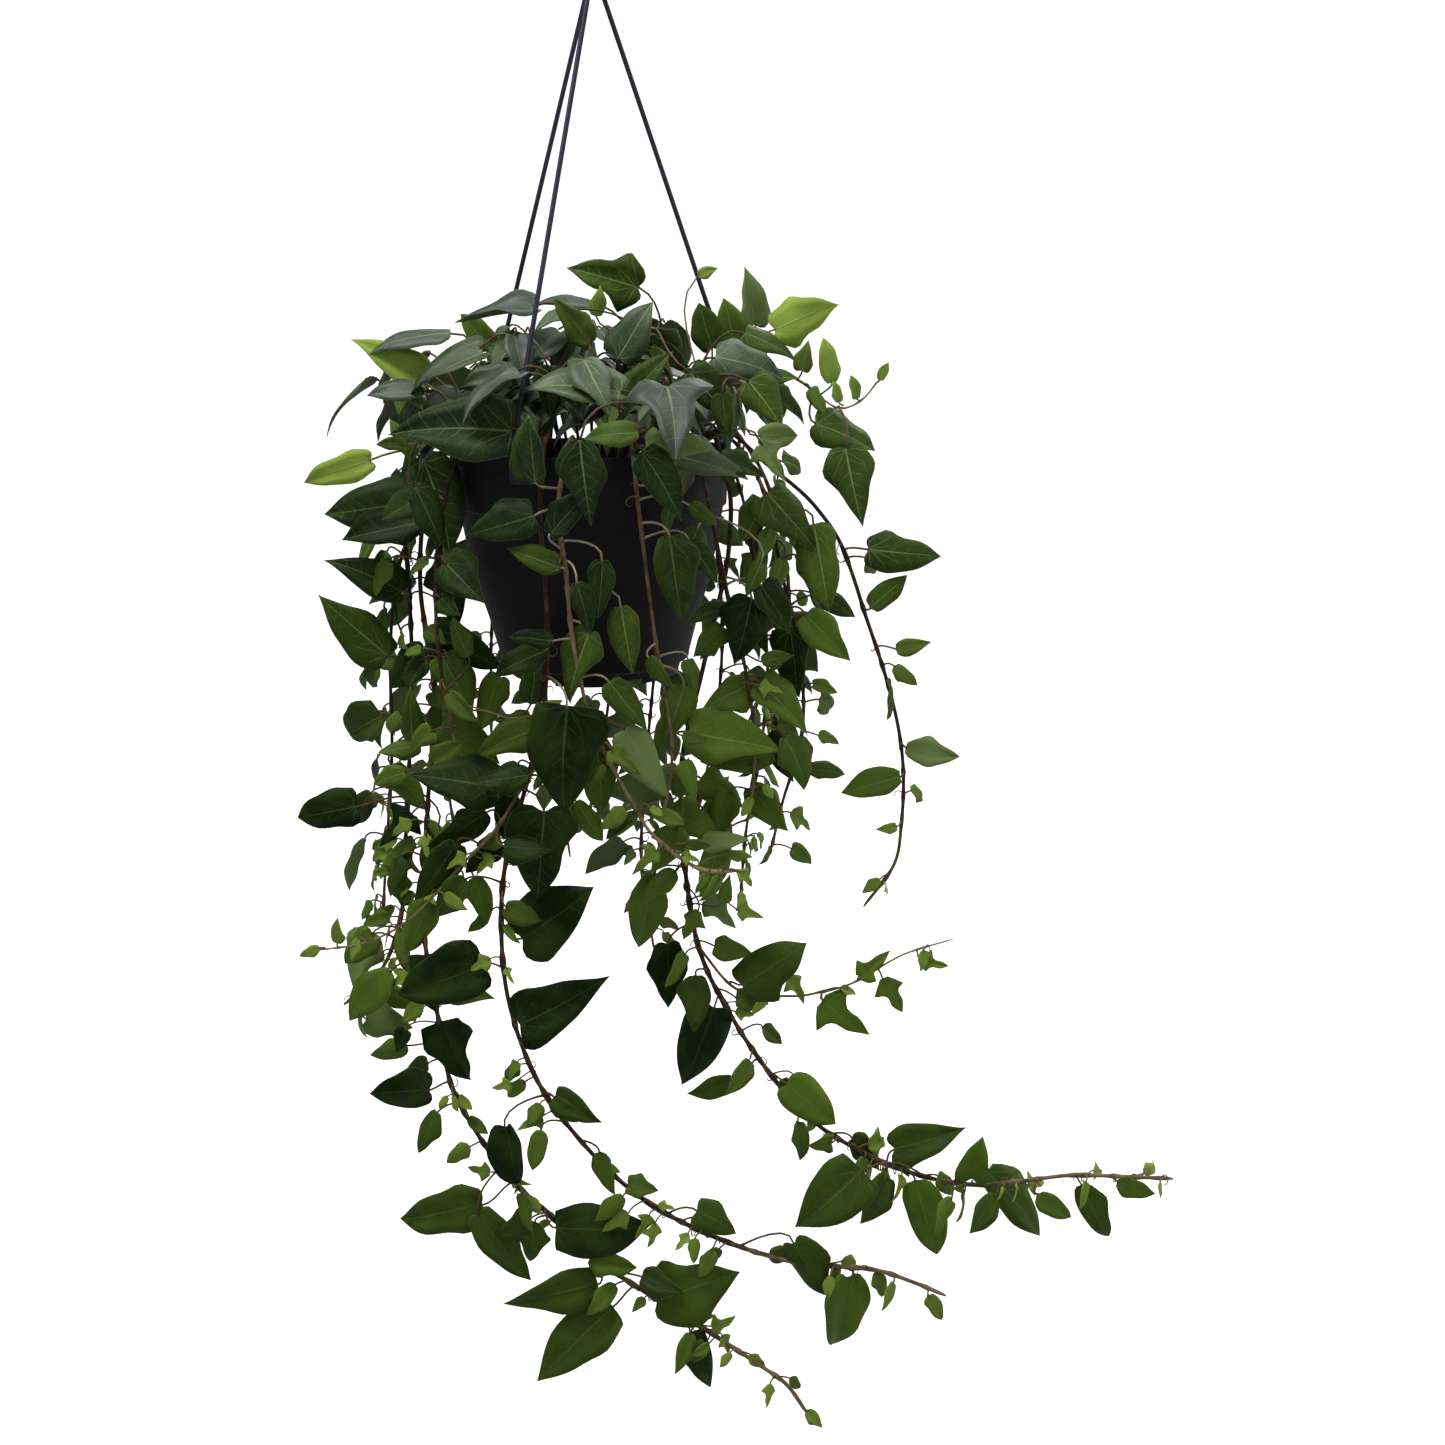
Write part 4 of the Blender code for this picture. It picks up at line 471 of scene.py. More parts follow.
# Blades as the scene draws them: for each rib from base to tip its place on the midrib, and where
# it meets the margin, as shares of the length and of the half width
RIBS = {
    "arrow": ((0.0, -0.012, 0.10), (0.015, -0.075, 0.34), (0.04, -0.09, 0.62), (0.09, -0.02, 0.84),
              (0.17, 0.10, 0.97), (0.28, 0.25, 0.98), (0.42, 0.43, 0.85), (0.57, 0.61, 0.63),
              (0.72, 0.77, 0.37), (0.87, 0.90, 0.14), (1.0, 1.0, 0.0)),
    "heart": ((0.0, -0.01, 0.10), (0.015, -0.075, 0.34), (0.04, -0.085, 0.64), (0.10, -0.01, 0.87),
              (0.19, 0.13, 1.0), (0.31, 0.30, 0.99), (0.45, 0.48, 0.86), (0.59, 0.65, 0.66),
              (0.74, 0.80, 0.40), (0.88, 0.92, 0.15), (1.0, 1.0, 0.0)),
    "lobed": ((0.0, -0.01, 0.10), (0.02, -0.075, 0.34), (0.05, -0.08, 0.58), (0.09, 0.00, 0.80),
              (0.16, 0.15, 1.0), (0.25, 0.26, 0.82), (0.36, 0.37, 0.60), (0.50, 0.53, 0.51),
              (0.66, 0.71, 0.37), (0.84, 0.88, 0.14), (1.0, 1.0, 0.0)),
    "spear": ((0.0, 0.0, 0.16), (0.03, -0.01, 0.48), (0.08, 0.03, 0.74), (0.16, 0.13, 0.92),
              (0.27, 0.27, 1.0), (0.39, 0.42, 0.95), (0.52, 0.57, 0.78), (0.66, 0.72, 0.54),
              (0.82, 0.87, 0.25), (1.0, 1.0, 0.0)),
    "bird": ((0.0, -0.01, 0.12), (0.03, -0.05, 0.32), (0.09, 0.06, 0.66), (0.17, 0.20, 1.0),
             (0.27, 0.28, 0.58), (0.40, 0.41, 0.36), (0.60, 0.62, 0.33), (0.82, 0.84, 0.14),
             (1.0, 1.0, 0.0)),
    "young": ((0.0, 0.02, 0.20), (0.06, 0.04, 0.62), (0.18, 0.18, 0.92), (0.34, 0.38, 1.0),
              (0.52, 0.58, 0.82), (0.74, 0.80, 0.42), (1.0, 1.0, 0.0)),
}
WIDEST_RIB_GAP = 0.085  # ribs further apart than this get another between them
RIB_BOW = (0.0, 0.42, 1.0)  # share of a rib's sweep at the midrib, half way and at the margin
HALF_BLADE = 0.01  # half thickness of the pattern, before it takes its real one
BLADE_HALF_THICK = 0.28
PATTERN_WELD = 0.0001  # corners of the pattern that lie nearer than this are one
BLADE_REAR = -0.9  # what lies further back in the pattern is its stalk
MAP_BASE = (0.5, 0.25)  # where the blade's base lies in its map
BLADE_MIDDLE = 0.4  # share of its length where a leaf's place is taken

# How each copy differs from its pattern. Pairs are ranges that are drawn from.
LOBES = (0.0, 0.9)  # how far the lobes reach behind the stalk, as a share of the form's
SWELLING = (0.70, 1.08)  # below 1 the blade is widest further out
PINCH = (0.0, 0.34)  # how much narrower a blade may be at its base,
PINCH_MOST = 1.2  # with its lobes counted up to here
BELLY = (-0.10, 0.08)  # and how much wider in its middle
HALF_WAVE = 3.14
BLUNT = (-0.25, 0.32)  # how much wider than drawn the blade stays towards its tip,
BLUNT_FROM = 0.6  # beyond this share of its length
CORNER_AT = (0.08, 0.46)  # where along the blade each half has its blunt corner
CORNER_OUT = (0.0, 0.26)  # how far it stands out,
CORNER_LONG = (0.10, 0.18)  # how much of the length it takes up,
CORNER_IN = 0.75  # and how much of that the blade is drawn in above it
WAIST_STEP = 0.25  # how far above it that is,
WAIST_LONG = 1.4  # and over how much more of the length
FOLD = (-0.05, 0.55)  # how steeply the two halves fold up
PUFF = (0.03, 0.17)  # how far each half swells up between midrib and margin
RIPPLE = (0.014, 0.050)  # how high the margin's waves are,
RIPPLES = (5.0, 11.0)  # how dense,
PHASES = (0.0, 6.28)  # and where they begin
TWIST = 0.6
CURL_ODDS = 0.45  # share of the leaves that have one half rolled in or out
CURL = (-0.55, 0.75)
CURL_FROM = 0.25  # share of the half width where the roll begins
TIP_BEND = (-0.2, 0.9)  # how far the tip bends down,
TIP_BEND_FROM = 0.62  # beyond this share of the length
SWAY = 0.09  # how far the tip swings aside
LOPSIDED = 0.14  # by how much one half of a blade is wider than the other
UNEVEN = (0.02, 0.08)  # how far its outline wanders in and out,
UNEVEN_WAVES = (6.0, 10.0)  # how often,
UNEVEN_SHIFT = 1.7  # and how far it is out of step with the ripples
SLIM_PLACES = ((-31, -334), (-128, -286), (-163, -350), (-18, -949), (-74, -881), (-32, -917))
SLIM = 0.76  # narrow leaves, one of them beside the front clip

# Leaf stalks
STALK_SIDES = 5
STALK_CUTS = 5
STALK_GAUGE = 0.1  # radius of the stalk in the pattern
STALK_THIN = 0.78  # radius of a grown leaf's stalk
STALK_YOUNG = 0.6  # share of it that the smallest leaves have,
STALK_GROWTH = 90.0  # and the length of blade that would add as much as a whole one
STALK_FLARE = 0.5  # how much wider it gets at the stem,
STALK_FLARE_FROM = 0.8  # beyond this share of its way,
STALK_FLARE_OVER = 0.2  # over this share
STALK_LEAD = 0.36  # share of its span that it runs on behind the blade,
STALK_LEAVE = 0.28  # and on its way out of the stem,
STALK_LIFT = 0.55  # where it rises
STALK_ASIDE = 0.16
STALK_SUNK = 0.6  # share of the blade's thickness that it starts under its middle
STALK_UNDER = 0.6  # how far in from the blade's base it starts
SAME_RING = 0.001

# Stems as the scene draws them
STEM_FINE = 5.0  # step along their routes
STEM_ROUNDNESS = 2
FRESH_FROM = 0.72  # beyond this share of a stem its bark turns fresh,
FRESH_RISE = 2.0  # so fast
SHOOT_YOUTH = 0.55  # how fresh the bark of side shoots is, and of some stems
YOUNG_STEMS = {"stem_front_tan": 0.7, "runner_right": 0.7, "stem_front_right": 0.4,
               "stem_right_inner": 0.3}
CANE_GAUGE = (0.82, 1.30)  # stems against the solid ones: thinner at the foot, less tapered
CANE_TIP = 0.55  # share of its thickness left at the very end
JOINT_SWELL = 0.55  # how much thicker a stem is at a joint,
JOINT_REACH = 2.6  # and how far along
NO_JOINT = 99.0  # distance to the nearest joint where a stem has none
JOINT_CURL_ODDS = 0.55
JOINT_CURL_SIZES = (2.2, 5.0)
JOINT_CURL_STEPS = 8
JOINT_CURL_FORWARD = 0.4
JOINT_CURL_RISE = (-0.3, 0.5)
JOINT_CURL_LEAN = (-0.5, 0.5)
JOINT_CURL_TURNS = (150.0, 330.0)  # in degrees
JOINT_CURL_CLOSING = 0.45  # how much tighter the curl is at its end
JOINT_CURL_RADIUS = 0.55
JOINT_CURL_TAPER = 0.25
JOINT_CURL_YOUTH = 0.35

# Further leaves
FURTHER = (  # smaller leaves of the photo, given as in GIVEN
    (-167, -680, -184, -715, -50, "heart", 0.3), (-148, -694, -181, -725, -66, "spear", 0.2),
    (-158, -712, -128, -722, -74, "spear", 0.8), (-170, -735, -139, -739, -72, "heart", 0.3),
    (-113, -718, -81, -719, -84, "arrow", 0.4), (-138, -733, -145, -749, -100, "heart", 0.2),
    (66, -229, 78, -223, -18, "young", 0.4),
)
BARE_VINE = "stem_right_outer"  # the vine that hangs apart, with few leaves
MORE_EVERY = 40.0  # spacing of the leaves that fill the gaps,
MORE_EVERY_BEHIND = 26.0  # and on stems that hang behind BEHIND_Y
BEHIND_Y = 20.0
MORE_FROM = 0.14  # share of a stem where they begin,
MORE_SPAN = 0.84  # and how much of it they cover
MORE_SIZES = (17.0, 38.0)
MORE_LARGE = 1.1  # size factor at a stem's foot and on the crown,
MORE_LOSS = 0.35  # and how much of it is lost towards the tip
MORE_FORMS = ("spear", "arrow", "spear", "heart", "young", "bird")
MORE_ON_CROWN = 20
CROWN_FROM = 0.35  # share of a crown stem where they begin, and what they cover
CROWN_SPAN = 0.6
MORE_CROWN_FORMS = ("heart", "arrow", "spear")
TUFT_BELOW = -560.0  # height under which the vines carry tufts
TUFT_EVERY = 32.0
TUFT_STEP = 5.0  # from leaf to leaf in a tuft
TUFT_STRETCH = (0.1, 0.9)  # where in its stretch of the stem each tuft grows
TUFT_ODDS = 0.6
TUFT_COUNTS = (2, 3, 3, 4)
TUFT_SIZES = (11.0, 25.0)
TUFT_FORMS = ("bird", "young", "spear", "bird", "arrow")
# the pot's open front, as seen by the viewer
POT_FRONT_X = (-98.0, 88.0)
POT_FRONT_Y = -60.0
POT_FRONT_Z = (-505.0, -345.0)

# Looks, as linear colours. Leaves: dark, light and young ones, then the crown's painted sheen, the
# grey-green of a reflection of the bright sky.
LEAF_COLOURS = ((0.0032, 0.0115, 0.0007), (0.060, 0.108, 0.0085), (0.232, 0.325, 0.046),
                (0.024, 0.045, 0.025))
LEAF_GLOSS = (0.08, 0.42)  # specular level and roughness of hanging leaves
CROWN_GLOSS = (0.40, 0.42)  # and of those on the crown whose sheen is more than SATIN_FROM
SATIN_FROM = 0.34
# how much of the painted sheen colour the leaves take
CROWN_TINT = 0.75
VEIN_PALE = (0.21, 0.31, 0.115)
RIM_PALE = (0.11, 0.17, 0.045)
UNDER_PALE = (0.150, 0.195, 0.088)
UNDER_SHARE = 0.55  # how much of it the underside of a leaf takes
STALK_OLD = (0.070, 0.036, 0.018)
STALK_PALE = (0.300, 0.250, 0.170)  # stalks before the pot
STALK_PALE_SHARE = 0.8
STALK_FRESH = (0.125, 0.140, 0.030)
BARK_OLD = (0.022, 0.0085, 0.0050)
BARK_FRESH = (0.235, 0.178, 0.090)
LENTICEL = (0.14, 0.095, 0.055)
# plastics: colour, colour where it is dusty and rubbed, roughness
POT_LOOK = ((0.0038, 0.0040, 0.0045), (0.012, 0.0125, 0.013), 0.48)
HANGER_LOOK = ((0.021, 0.023, 0.037), (0.055, 0.058, 0.075), 0.34)
PEAT_DARK = (0.010, 0.006, 0.004)
PEAT_LIGHT = (0.045, 0.027, 0.016)
PERLITE = (0.45, 0.42, 0.37)
FLOOR_WHITE = (0.44, 0.44, 0.44)
FLOOR_SHADE = (0.42, 0.42, 0.42)
FLOOR_GLOW = 0.90

# Veins, in the blade's map
VEIN_CRISP = 1.7
VEIN_OWN = 9.0  # factors that give each leaf waves and spacings of its own
VEIN_SHIFT_X = 37.0
VEIN_SHIFT_Y = 11.0
VEIN_WAVES = 5.0
VEIN_SWAY = (0.08, 0.08, 0.0)
NOISE_MIDDLE = (0.5, 0.5, 0.5)
VEIN_FANS = (0.27, 0.40)  # half the angle between the veins that leave the base
VEIN_CURVE = 0.45
VEIN_WIDTHS = (0.0, 0.6, 0.0095, 0.0055)  # soft step by the distance from the base
VEIN_FADE = (0.05, 0.62, 0.55, 0.0)
MIDRIB_WIDTHS = (0.0, 1.0, 0.017, 0.005)
SIDE_VEIN_SLANT = 0.75
SIDE_VEIN_STEPS = (0.095, 0.065)
SIDE_VEIN_WIDTH = 0.008
SIDE_VEIN_FADE = (0.0, 0.22, 0.9, 0.1)
SIDE_VEIN_SHARE = 0.5  # how strong they are against the main ones
NET_SCALE = 26.0
NET_LINES = (0.0, 0.08, 0.16, 0.0)
RIM_LINE = (0.93, 1.0, 0.0, 0.20)
VEIN_TONES = (0.11, 0.58)  # how plain veins are, low on the plant and on its crown
VEINS_FROM = -640.0  # height from which they get plainer,
VEINS_RISE = 300.0  # and over how much
VEIN_ODDS = (0.6, 1.4)
DARK_VEINS = 0.45  # and by how much fainter they are on dark leaves,
DARK_VEINS_RISE = 2.5  # which they are at tones below one over this

# Grains, as scale, detail and roughness
LEAF_PATCHES = (34.0, 3.0, 0.55)
LEAF_GRAIN = (900.0, 2.0, 0.6)
STALK_PATCHES = (120.0, 3.0, 0.6)
STALK_GRAIN = (1400.0, 2.0, 0.6)
PLASTIC_GRAIN = (1600.0, 2.0, 0.6)
DUST_CLOUDS = (14.0, 4.0, 0.6)
SCUFFS = (1.0, 2.0, 0.7)
SCUFF_STRETCH = (60.0, 60.0, 900.0)
PEAT_CLODS = (220.0, 5.0, 0.7)
PEAT_FLECKS = (700.0, 2.0, 0.5)
FLOOR_CLOUDS = (2.0, 3.0, 0.5)
# and soft steps over them: from, to, value below, value above
LEAF_PATCH_TONES = (0.25, 0.75, -0.16, 0.16)
LEAF_PATCH_ROUGH = (0.2, 0.8)
LEAF_ROUGHER = 0.14  # how much rougher the roughest patches are
LEAF_GRAIN_ROUGH = 0.08
UNDER_ROUGH = (0.2, 0.8, 0.22, 0.0)
LEAF_RELIEF = (-0.8, -0.3, 0.12)  # of main veins, side veins and grain
LEAF_BUMP = (0.5, 0.0005)  # strength and height in metres, as for the others below
LEAF_DEPTH = dict(Subsurface_Weight=0.35, Subsurface_Radius=(0.35, 0.9, 0.08),
                  Subsurface_Scale=0.0012)
STALK_PATCH_AGES = (0.3, 0.7, -0.22, 0.22)
STALK_DOTS = (0.45, 0.75, 0.0, 0.35)
STALK_ROUGH = (0.2, 0.8, 0.45, 0.7)
STALK_BUMP = (0.5, 0.0003)
BARK_BUMP = (0.5, 0.0006)
STALK_SPECULAR = 0.15
DUST = (0.42, 0.72, 0.0, 0.30)
SCUFF_LINES = (0.62, 0.80, 0.0, 0.22)
PLASTIC_PATCH_ROUGH = (0.3, 0.7)
PLASTIC_ROUGHER = 0.14
PLASTIC_GRAIN_ROUGH = 0.06
PLASTIC_BUMP = (0.25, 0.0002)
PLASTIC_SPECULAR = 0.16
PEAT_LIGHTS = (0.35, 0.70)
PERLITE_DOTS = (0.70, 0.76)
PEAT_ROUGH = (0.3, 0.7, 0.98, 0.85)
PEAT_BUMP = (0.9, 0.003)
FLOOR_ROUGH = 0.85
FLOOR_SPECULAR = 0.1

# Tones of the leaves. A tone is 0 for the darkest and 1 for the lightest.
TONES = ((0.0, 0.18), (0.28, 0.58), (0.65, 1.0))  # dark, middling and light ones
TONE_SHARES = (0.34, 0.72)  # up to the first share the leaves are dark, past the second light
TONE_CAP = 0.96  # none gets lighter than this by its place alone
RIGHT_FROM = (55.0, -720.0)  # right of and above this, leaves are lighter by RIGHT_TONE, painted light from behind
RIGHT_TONE = 0.12
LOW_FROM = -700.0  # below this they are darker, or lighter right of LOW_RIGHT_X
LOW_RIGHT_X = 20.0
LOW_TONE = 0.04
LOW_RIGHT_TONE = 0.16
GROWN_LENGTH = 34.0  # shorter leaves look young, in full at GROWTH less
GROWTH = 22.0
YOUTH = (0.75, 0.25)  # of the smallest leaves of young forms, and of other forms
SHEEN_LEAN = 0.15  # leaves that face up by more than this have the crown's painted sheen,
SHEEN_GAIN = 1.7  # and how fast it grows
SHEEN_SHARES = (0.08, 0.92)  # sheen of upright leaves, and what those that lie flat add
SHEEN_FROM = -400.0  # height from which there is any,
SHEEN_RISE = 60.0  # and over how much it grows
SHEEN_SIDE_X = 95.0  # right of this it is weaker
SHEEN_ASIDE = 0.55
CROWN_VARIES = (0.35, 1.0)  # by how much the sheen differs from leaf to leaf
COOL_FROM = -430.0  # above this height left of COOL_SIDE leaves are darker, and greyer with the painted sheen colour
COOL_RISE = 70.0
COOL_SIDE = 60.0
COOL = 0.28
COOL_TONE = -0.16
BACKLIT = 0.24  # youth given as a painted glow to leaves that hang in front of the light,
BACKLIT_VARIES = (0.4, 1.2)
BACKLIT_FACING = -0.6  # which face the viewer by this much,
BACKLIT_UPRIGHT = 0.4  # face up by less than this,
BACKLIT_ABOVE = -262.0  # and grow above this height or right of BACKLIT_RIGHT
BACKLIT_RIGHT = 108.0
BRIGHT_REACH = 7.0  # leaves painted as lit from behind, by their middle as seen in front
BACKLIT_GLOW = 0.92
BRIGHT_PLACES = ((-128, -286), (-163, -350), (132, -257), (153, -286), (35, -339))
SHADES = (  # leaves of one tone, with youth and painted sheen, where they hang in front
    (0.08, 0.0, 0.32, (
        (-171, -381), (-147, -378), (-141, -389), (-106, -373), (-84, -415), (-98, -432),
        (-94, -433), (-128, -484), (-119, -480), (-101, -555), (-86, -549), (-58, -544),
        (-189, -588), (-35, -589), (-44, -584), (-31, -641), (-49, -379), (-35, -452),
        (-14, -374), (-1, -348), (-31, -337), (45, -350), (-20, -523), (98, -448), (106, -449),
        (130, -474), (133, -499), (-78, -319), (-74, -331), (-94, -469), (-62, -573),
        (-101, -686), (-119, -689), (-31, -704), (-105, -744), (-138, -776), (-63, -812),
        (-7, -865), (46, -691), (68, -741), (-141, -740))),
    (0.55, 0.0, 1.0, ((24, -267), (96, -283))),
    (0.40, 0.04, 0.0, (
        (-30, -401), (22, -447), (-8, -467), (7, -230), (72, -264), (-110, -860),
        (-74, -881), (64, -706), (113, -687), (78, -777), (-18, -949), (-32, -917), (59, -911),
        (160, -841), (191, -845), (160, -328), (167, -359), (125, -382), (108, -303),
        (199, -407), (-25, -772))),
    (0.88, 0.08, 0.0, (
        (-73, -502), (-94, -532), (-59, -525), (-143, -558), (-135, -565), (53, -503),
        (48, -512), (85, -522), (98, -540), (89, -494), (122, -500), (134, -457), (150, -458),
        (147, -409), (111, -575), (80, -567), (85, -575), (78, -582), (63, -581), (46, -594),
        (77, -614), (42, -623), (31, -644), (-79, -265), (-126, -659), (141, -784),
        (190, -566), (-170, -681), (-140, -681), (-162, -707), (-145, -716),
        (-99, -718), (88, -260))),
    (0.90, 0.08, 0.3, ((18, -323),)),
    (1.10, 0.16, 0.0, (
        (31, -527), (30, -555), (44, -551), (81, -592), (80, -649), (103, -245), (8, -323),
        (224, -545), (115, -327), (112, -342), (51, -332), (-174, -695), (-157, -737))),
)
PALE_TONE = 1.0  # a leaf of this tone shows its pale underside's colour
SHADE_REACH = 4.5
SHADE_VARIES = (-0.06, 0.04)

# Studio, in metres. The floor rises to a wall at the back.
FLOOR_SIZE = 6.0
FLOOR_GAP = 0.004  # between the floor and the lowest leaf
FLOOR_REAR = 2.9  # edges further back than this are drawn up
SWEEP_STEPS = 8
SWEEP_STEP = 0.2
WALL_HEIGHT = 4.0
SKY = (-0.15, 0.85, 0.08, 0.75)  # soft step of its strength, from below to above
BACKGROUND = 1.0
WHITE = (1.0, 1.0, 1.0, 1.0)
# name, place, aim, size, power
LIGHTS = (
    ("key", (-0.6, -0.5, 1.3), (0.0, 0.0, -0.35), (0.9, 0.7), 34.0),
    ("fill", (1.2, -1.7, 0.1), (0.0, 0.0, -0.6), (1.2, 1.2), 6.0),
    ("back", (0.7, 1.4, 1.1), (0.0, 0.0, -0.4), (1.4, 1.0), 34.0),
    ("side", (1.5, 0.35, -0.35), (0.0, 0.0, -0.42), (0.4, 1.2), 7.0),
)
CAMERA_PLACE = (0.0826, -1.04, -0.266)
CAMERA_TILT = 75.4
SENSOR_WIDTH = 36.0
FOCAL_PIXELS = 1490.0
FRAME_PIXELS = 1445.0


def clamped(value):
    return max(0.0, min(1.0, value))


def smooth_route(points, step):
    """Points a step apart on a smooth curve through the given ones."""
    points = [Vector(point) for point in points]
    ends = [2.0 * points[0] - points[1]] + points + [2.0 * points[-1] - points[-2]]
    route = [points[0]]
    for index in range(1, len(ends) - 2):
        before, start, end, after = ends[index - 1:index + 3]
        parts = max(1, round((end - start).length / step))
        for part in range(1, parts + 1):
            t = part / parts
            route.append(0.5 * (2.0 * start + (end - before) * t
                                + (2.0 * before - 5.0 * start + 4.0 * end - after) * t * t
                                + (3.0 * start - before - 3.0 * end + after) * t ** 3))
    return route


def route_length(route):
    return sum((after - before).length for before, after in zip(route, route[1:]))


def around_pot(azimuth, radius, height):
    angle = math.radians(azimuth)
    return Vector((POT_X + radius * math.sin(angle), -radius * math.cos(angle), height))


# Leaf blades

def leaf_cage(leaf, grow=0.0):
    """Corners and triangles of one blade with its stalk, as a closed solid, in millimetres."""
    form = leaf["form"]
    along, normal = leaf["along"], leaf["normal"]
    across = normal.cross(along)
    length = leaf["length"] + grow
    half = leaf["length"] * WIDTHS[form] / 2.0 + grow
    thick = BLADE_THICK + 2.0 * grow
    lift = leaf["lift"]

    def place(share, side, height):
        wave = lift * length * (BLADE_ARCH * share * (1.0 - share) - TIP_DROOP * share * share
                                - EDGE_DROOP * side * side)
        return (leaf["base"] + along * (share * length) + across * (side * half)
                + normal * (height + wave + grow))

    outline = FORMS[form]
    stalk = STALK_RADIUS + grow
    corners = [leaf["base"] - across * stalk + normal * grow]
    corners += [place(share, -side, 0.0) for share, side in outline]
    corners += [place(1.0, 0.0, 0.0)]
    corners += [place(share, side, 0.0) for share, side in reversed(outline)]
    corners += [leaf["base"] + across * stalk + normal * grow]
    count = len(corners)
    under = count
    corners += [leaf["base"] - normal * (thick + HEEL)]
    corners += [corner - normal * thick for corner in corners[1:count - 1]]
    crown = len(corners)
    corners += [place(FAN_AT[form], 0.0, 0.0), place(FAN_AT[form], 0.0, -thick)]

    top = list(range(count))
    low = [under + index for index in range(count - 1)] + [under]
    faces = [(crown, top[index], top[(index + 1) % count]) for index in range(count)]
    for index in range(count - 1):
        faces.append((crown + 1, low[index + 1], low[index]))
        faces.append((low[index], low[index + 1], top[index + 1]))
        faces.append((low[index], top[index + 1], top[index]))

    ring = (top[0], top[-1], under)
    side_axis = across
    for centre, heading, radius in stalk_path(leaf):
        reach = radius + grow
        side_axis = (side_axis - heading * side_axis.dot(heading)).normalized()
        face_axis = side_axis.cross(heading)
        first = len(corners)
        corners += [centre - side_axis * reach + face_axis * 0.5 * reach,
                    centre + side_axis * reach + face_axis * 0.5 * reach,
                    centre - face_axis * reach]
        new_ring = (first, first + 1, first + 2)
        for one, two in ((0, 1), (1, 2), (2, 0)):
            faces.append((ring[one], ring[two], new_ring[two]))
            faces.append((ring[one], new_ring[two], new_ring[one]))
        ring = new_ring
    faces.append(ring)
    return corners, faces


def stalk_path(leaf):
    """Centre, heading and radius of the stalk's rings, from the blade back to the stem."""
    base, root, along = leaf["base"], leaf["root"], leaf["along"]
    span = (root - base).length
    if span < BENT_STALK:
        return [(root, (root - base).normalized(), STALK_ROOT)]
    middle = (base - along * (STALK_BACK * span) + leaf["normal"] * (STALK_OFF * span)
              + UP * (STALK_RISE * span))
    middle = middle.lerp(base.lerp(root, STALK_MIDDLE), STALK_EASE)
    return [(middle, (root - base).normalized(), STALK_RADIUS),
            (root, (root - middle).normalized(), STALK_ROOT)]


def cage_tree(cage):
    corners, faces = cage
    return BVHTree.FromPolygons(corners, faces), box_of(corners)


def box_of(corners):
    low = Vector([min(corner[axis] for corner in corners) for axis in range(3)])
    high = Vector([max(corner[axis] for corner in corners) for axis in range(3)])
    return low, high


def boxes_meet(one, two):
    return all(one[0][axis] <= two[1][axis] and two[0][axis] <= one[1][axis] for axis in range(3))


def stem_cage(route, radii):
    """A four-sided bar along a stem, for the clearance tests."""
    corners, faces = [], []
    for index, point in enumerate(route):
        ahead = (route[min(index + 1, len(route) - 1)] - route[max(index - 1, 0)]).normalized()
        side = ahead.cross(UP if abs(ahead.z) < 0.9 else VIEWER).normalized()
        other = ahead.cross(side)
        reach = radii[index]
        corners += [point + side * reach, point + other * reach, point - side * reach,
                    point - other * reach]
        if index:
            start = 4 * index
            for corner in range(4):
                follow = (corner + 1) % 4
                faces.append((start - 4 + corner, start - 4 + follow, start + follow,
                              start + corner))
    return corners, faces


# Stems

def stem_radii(route, thick):
    count = len(route) - 1
    return [thick * (1.0 - STEM_TAPER * index / count) for index in range(count + 1)]


def plan_stem(name, root, middle, thick, shoot=None, **rule):
    """A stem's route, radii and side shoots, and the places where a stalk can leave it."""
    foot = Vector((root.x, root.y, SOIL_Z - HOLE_DEPTH + ROOT_END))
    neck = Vector((root.x, root.y, SOIL_Z + NECK_RISE))
    route = [foot] + smooth_route([neck] + middle, STEM_STEP)
    shoots = []
    if shoot:
        branch = smooth_route(shoot, STEM_STEP)
        branch[0] = min(route, key=lambda point: (point - branch[0]).length).copy()
        shoots.append((branch, stem_radii(branch, SHOOT_THICK)))
    places = [point_on(line, step / ROOT_STEPS)
              for line in [route[1:]] + [branch for branch, radii in shoots]
              for step in range(ROOT_STEPS + 1)]
    return dict(name=name, route=route, radii=stem_radii(route, thick), leaves=[],
                shoots=shoots, places=places, **rule)


def plan_stems():
    stems = []
    for name, row in HANGING.items():
        root = around_pot(row["azimuth"], row.get("root", ROOT_RADIUS), 0.0)
        crest = around_pot(row["azimuth"], RIM_RADIUS - CREST_IN, RIM_Z + CREST_RISE)
        stems.append(plan_stem(name, root, [crest] + [Vector(point) for point in row["route"]],
                               row["thick"], SHOOTS.get(name), kind="hanging",
                               spacing=row["spacing"], size=row["size"], start=row["start"]))
    across, up, over = CROWN_BEND
    for name, (azimuth, root, reach, rise, count, size) in CROWN.items():
        middle = [around_pot(azimuth, root + across * (reach - root), RIM_Z + up * rise + over),
                  around_pot(azimuth, reach, RIM_Z + rise)]
        stems.append(plan_stem(name, around_pot(azimuth, root, 0.0), middle, CROWN_THICK,
                               kind="crown", count=count, size=size))
    root = around_pot(RUNNER["azimuth"], RUNNER["root"], 0.0)
    stems.append(plan_stem("runner_right", root, [Vector(point) for point in RUNNER["route"]],
                           RUNNER["thick"], kind="runner"))
    return stems


# Leaf layout

def outward_at(point):
    radial = Vector((point.x - POT_X, point.y, 0.0))
    return radial.normalized() if radial.length > 1.0 else VIEWER.copy()


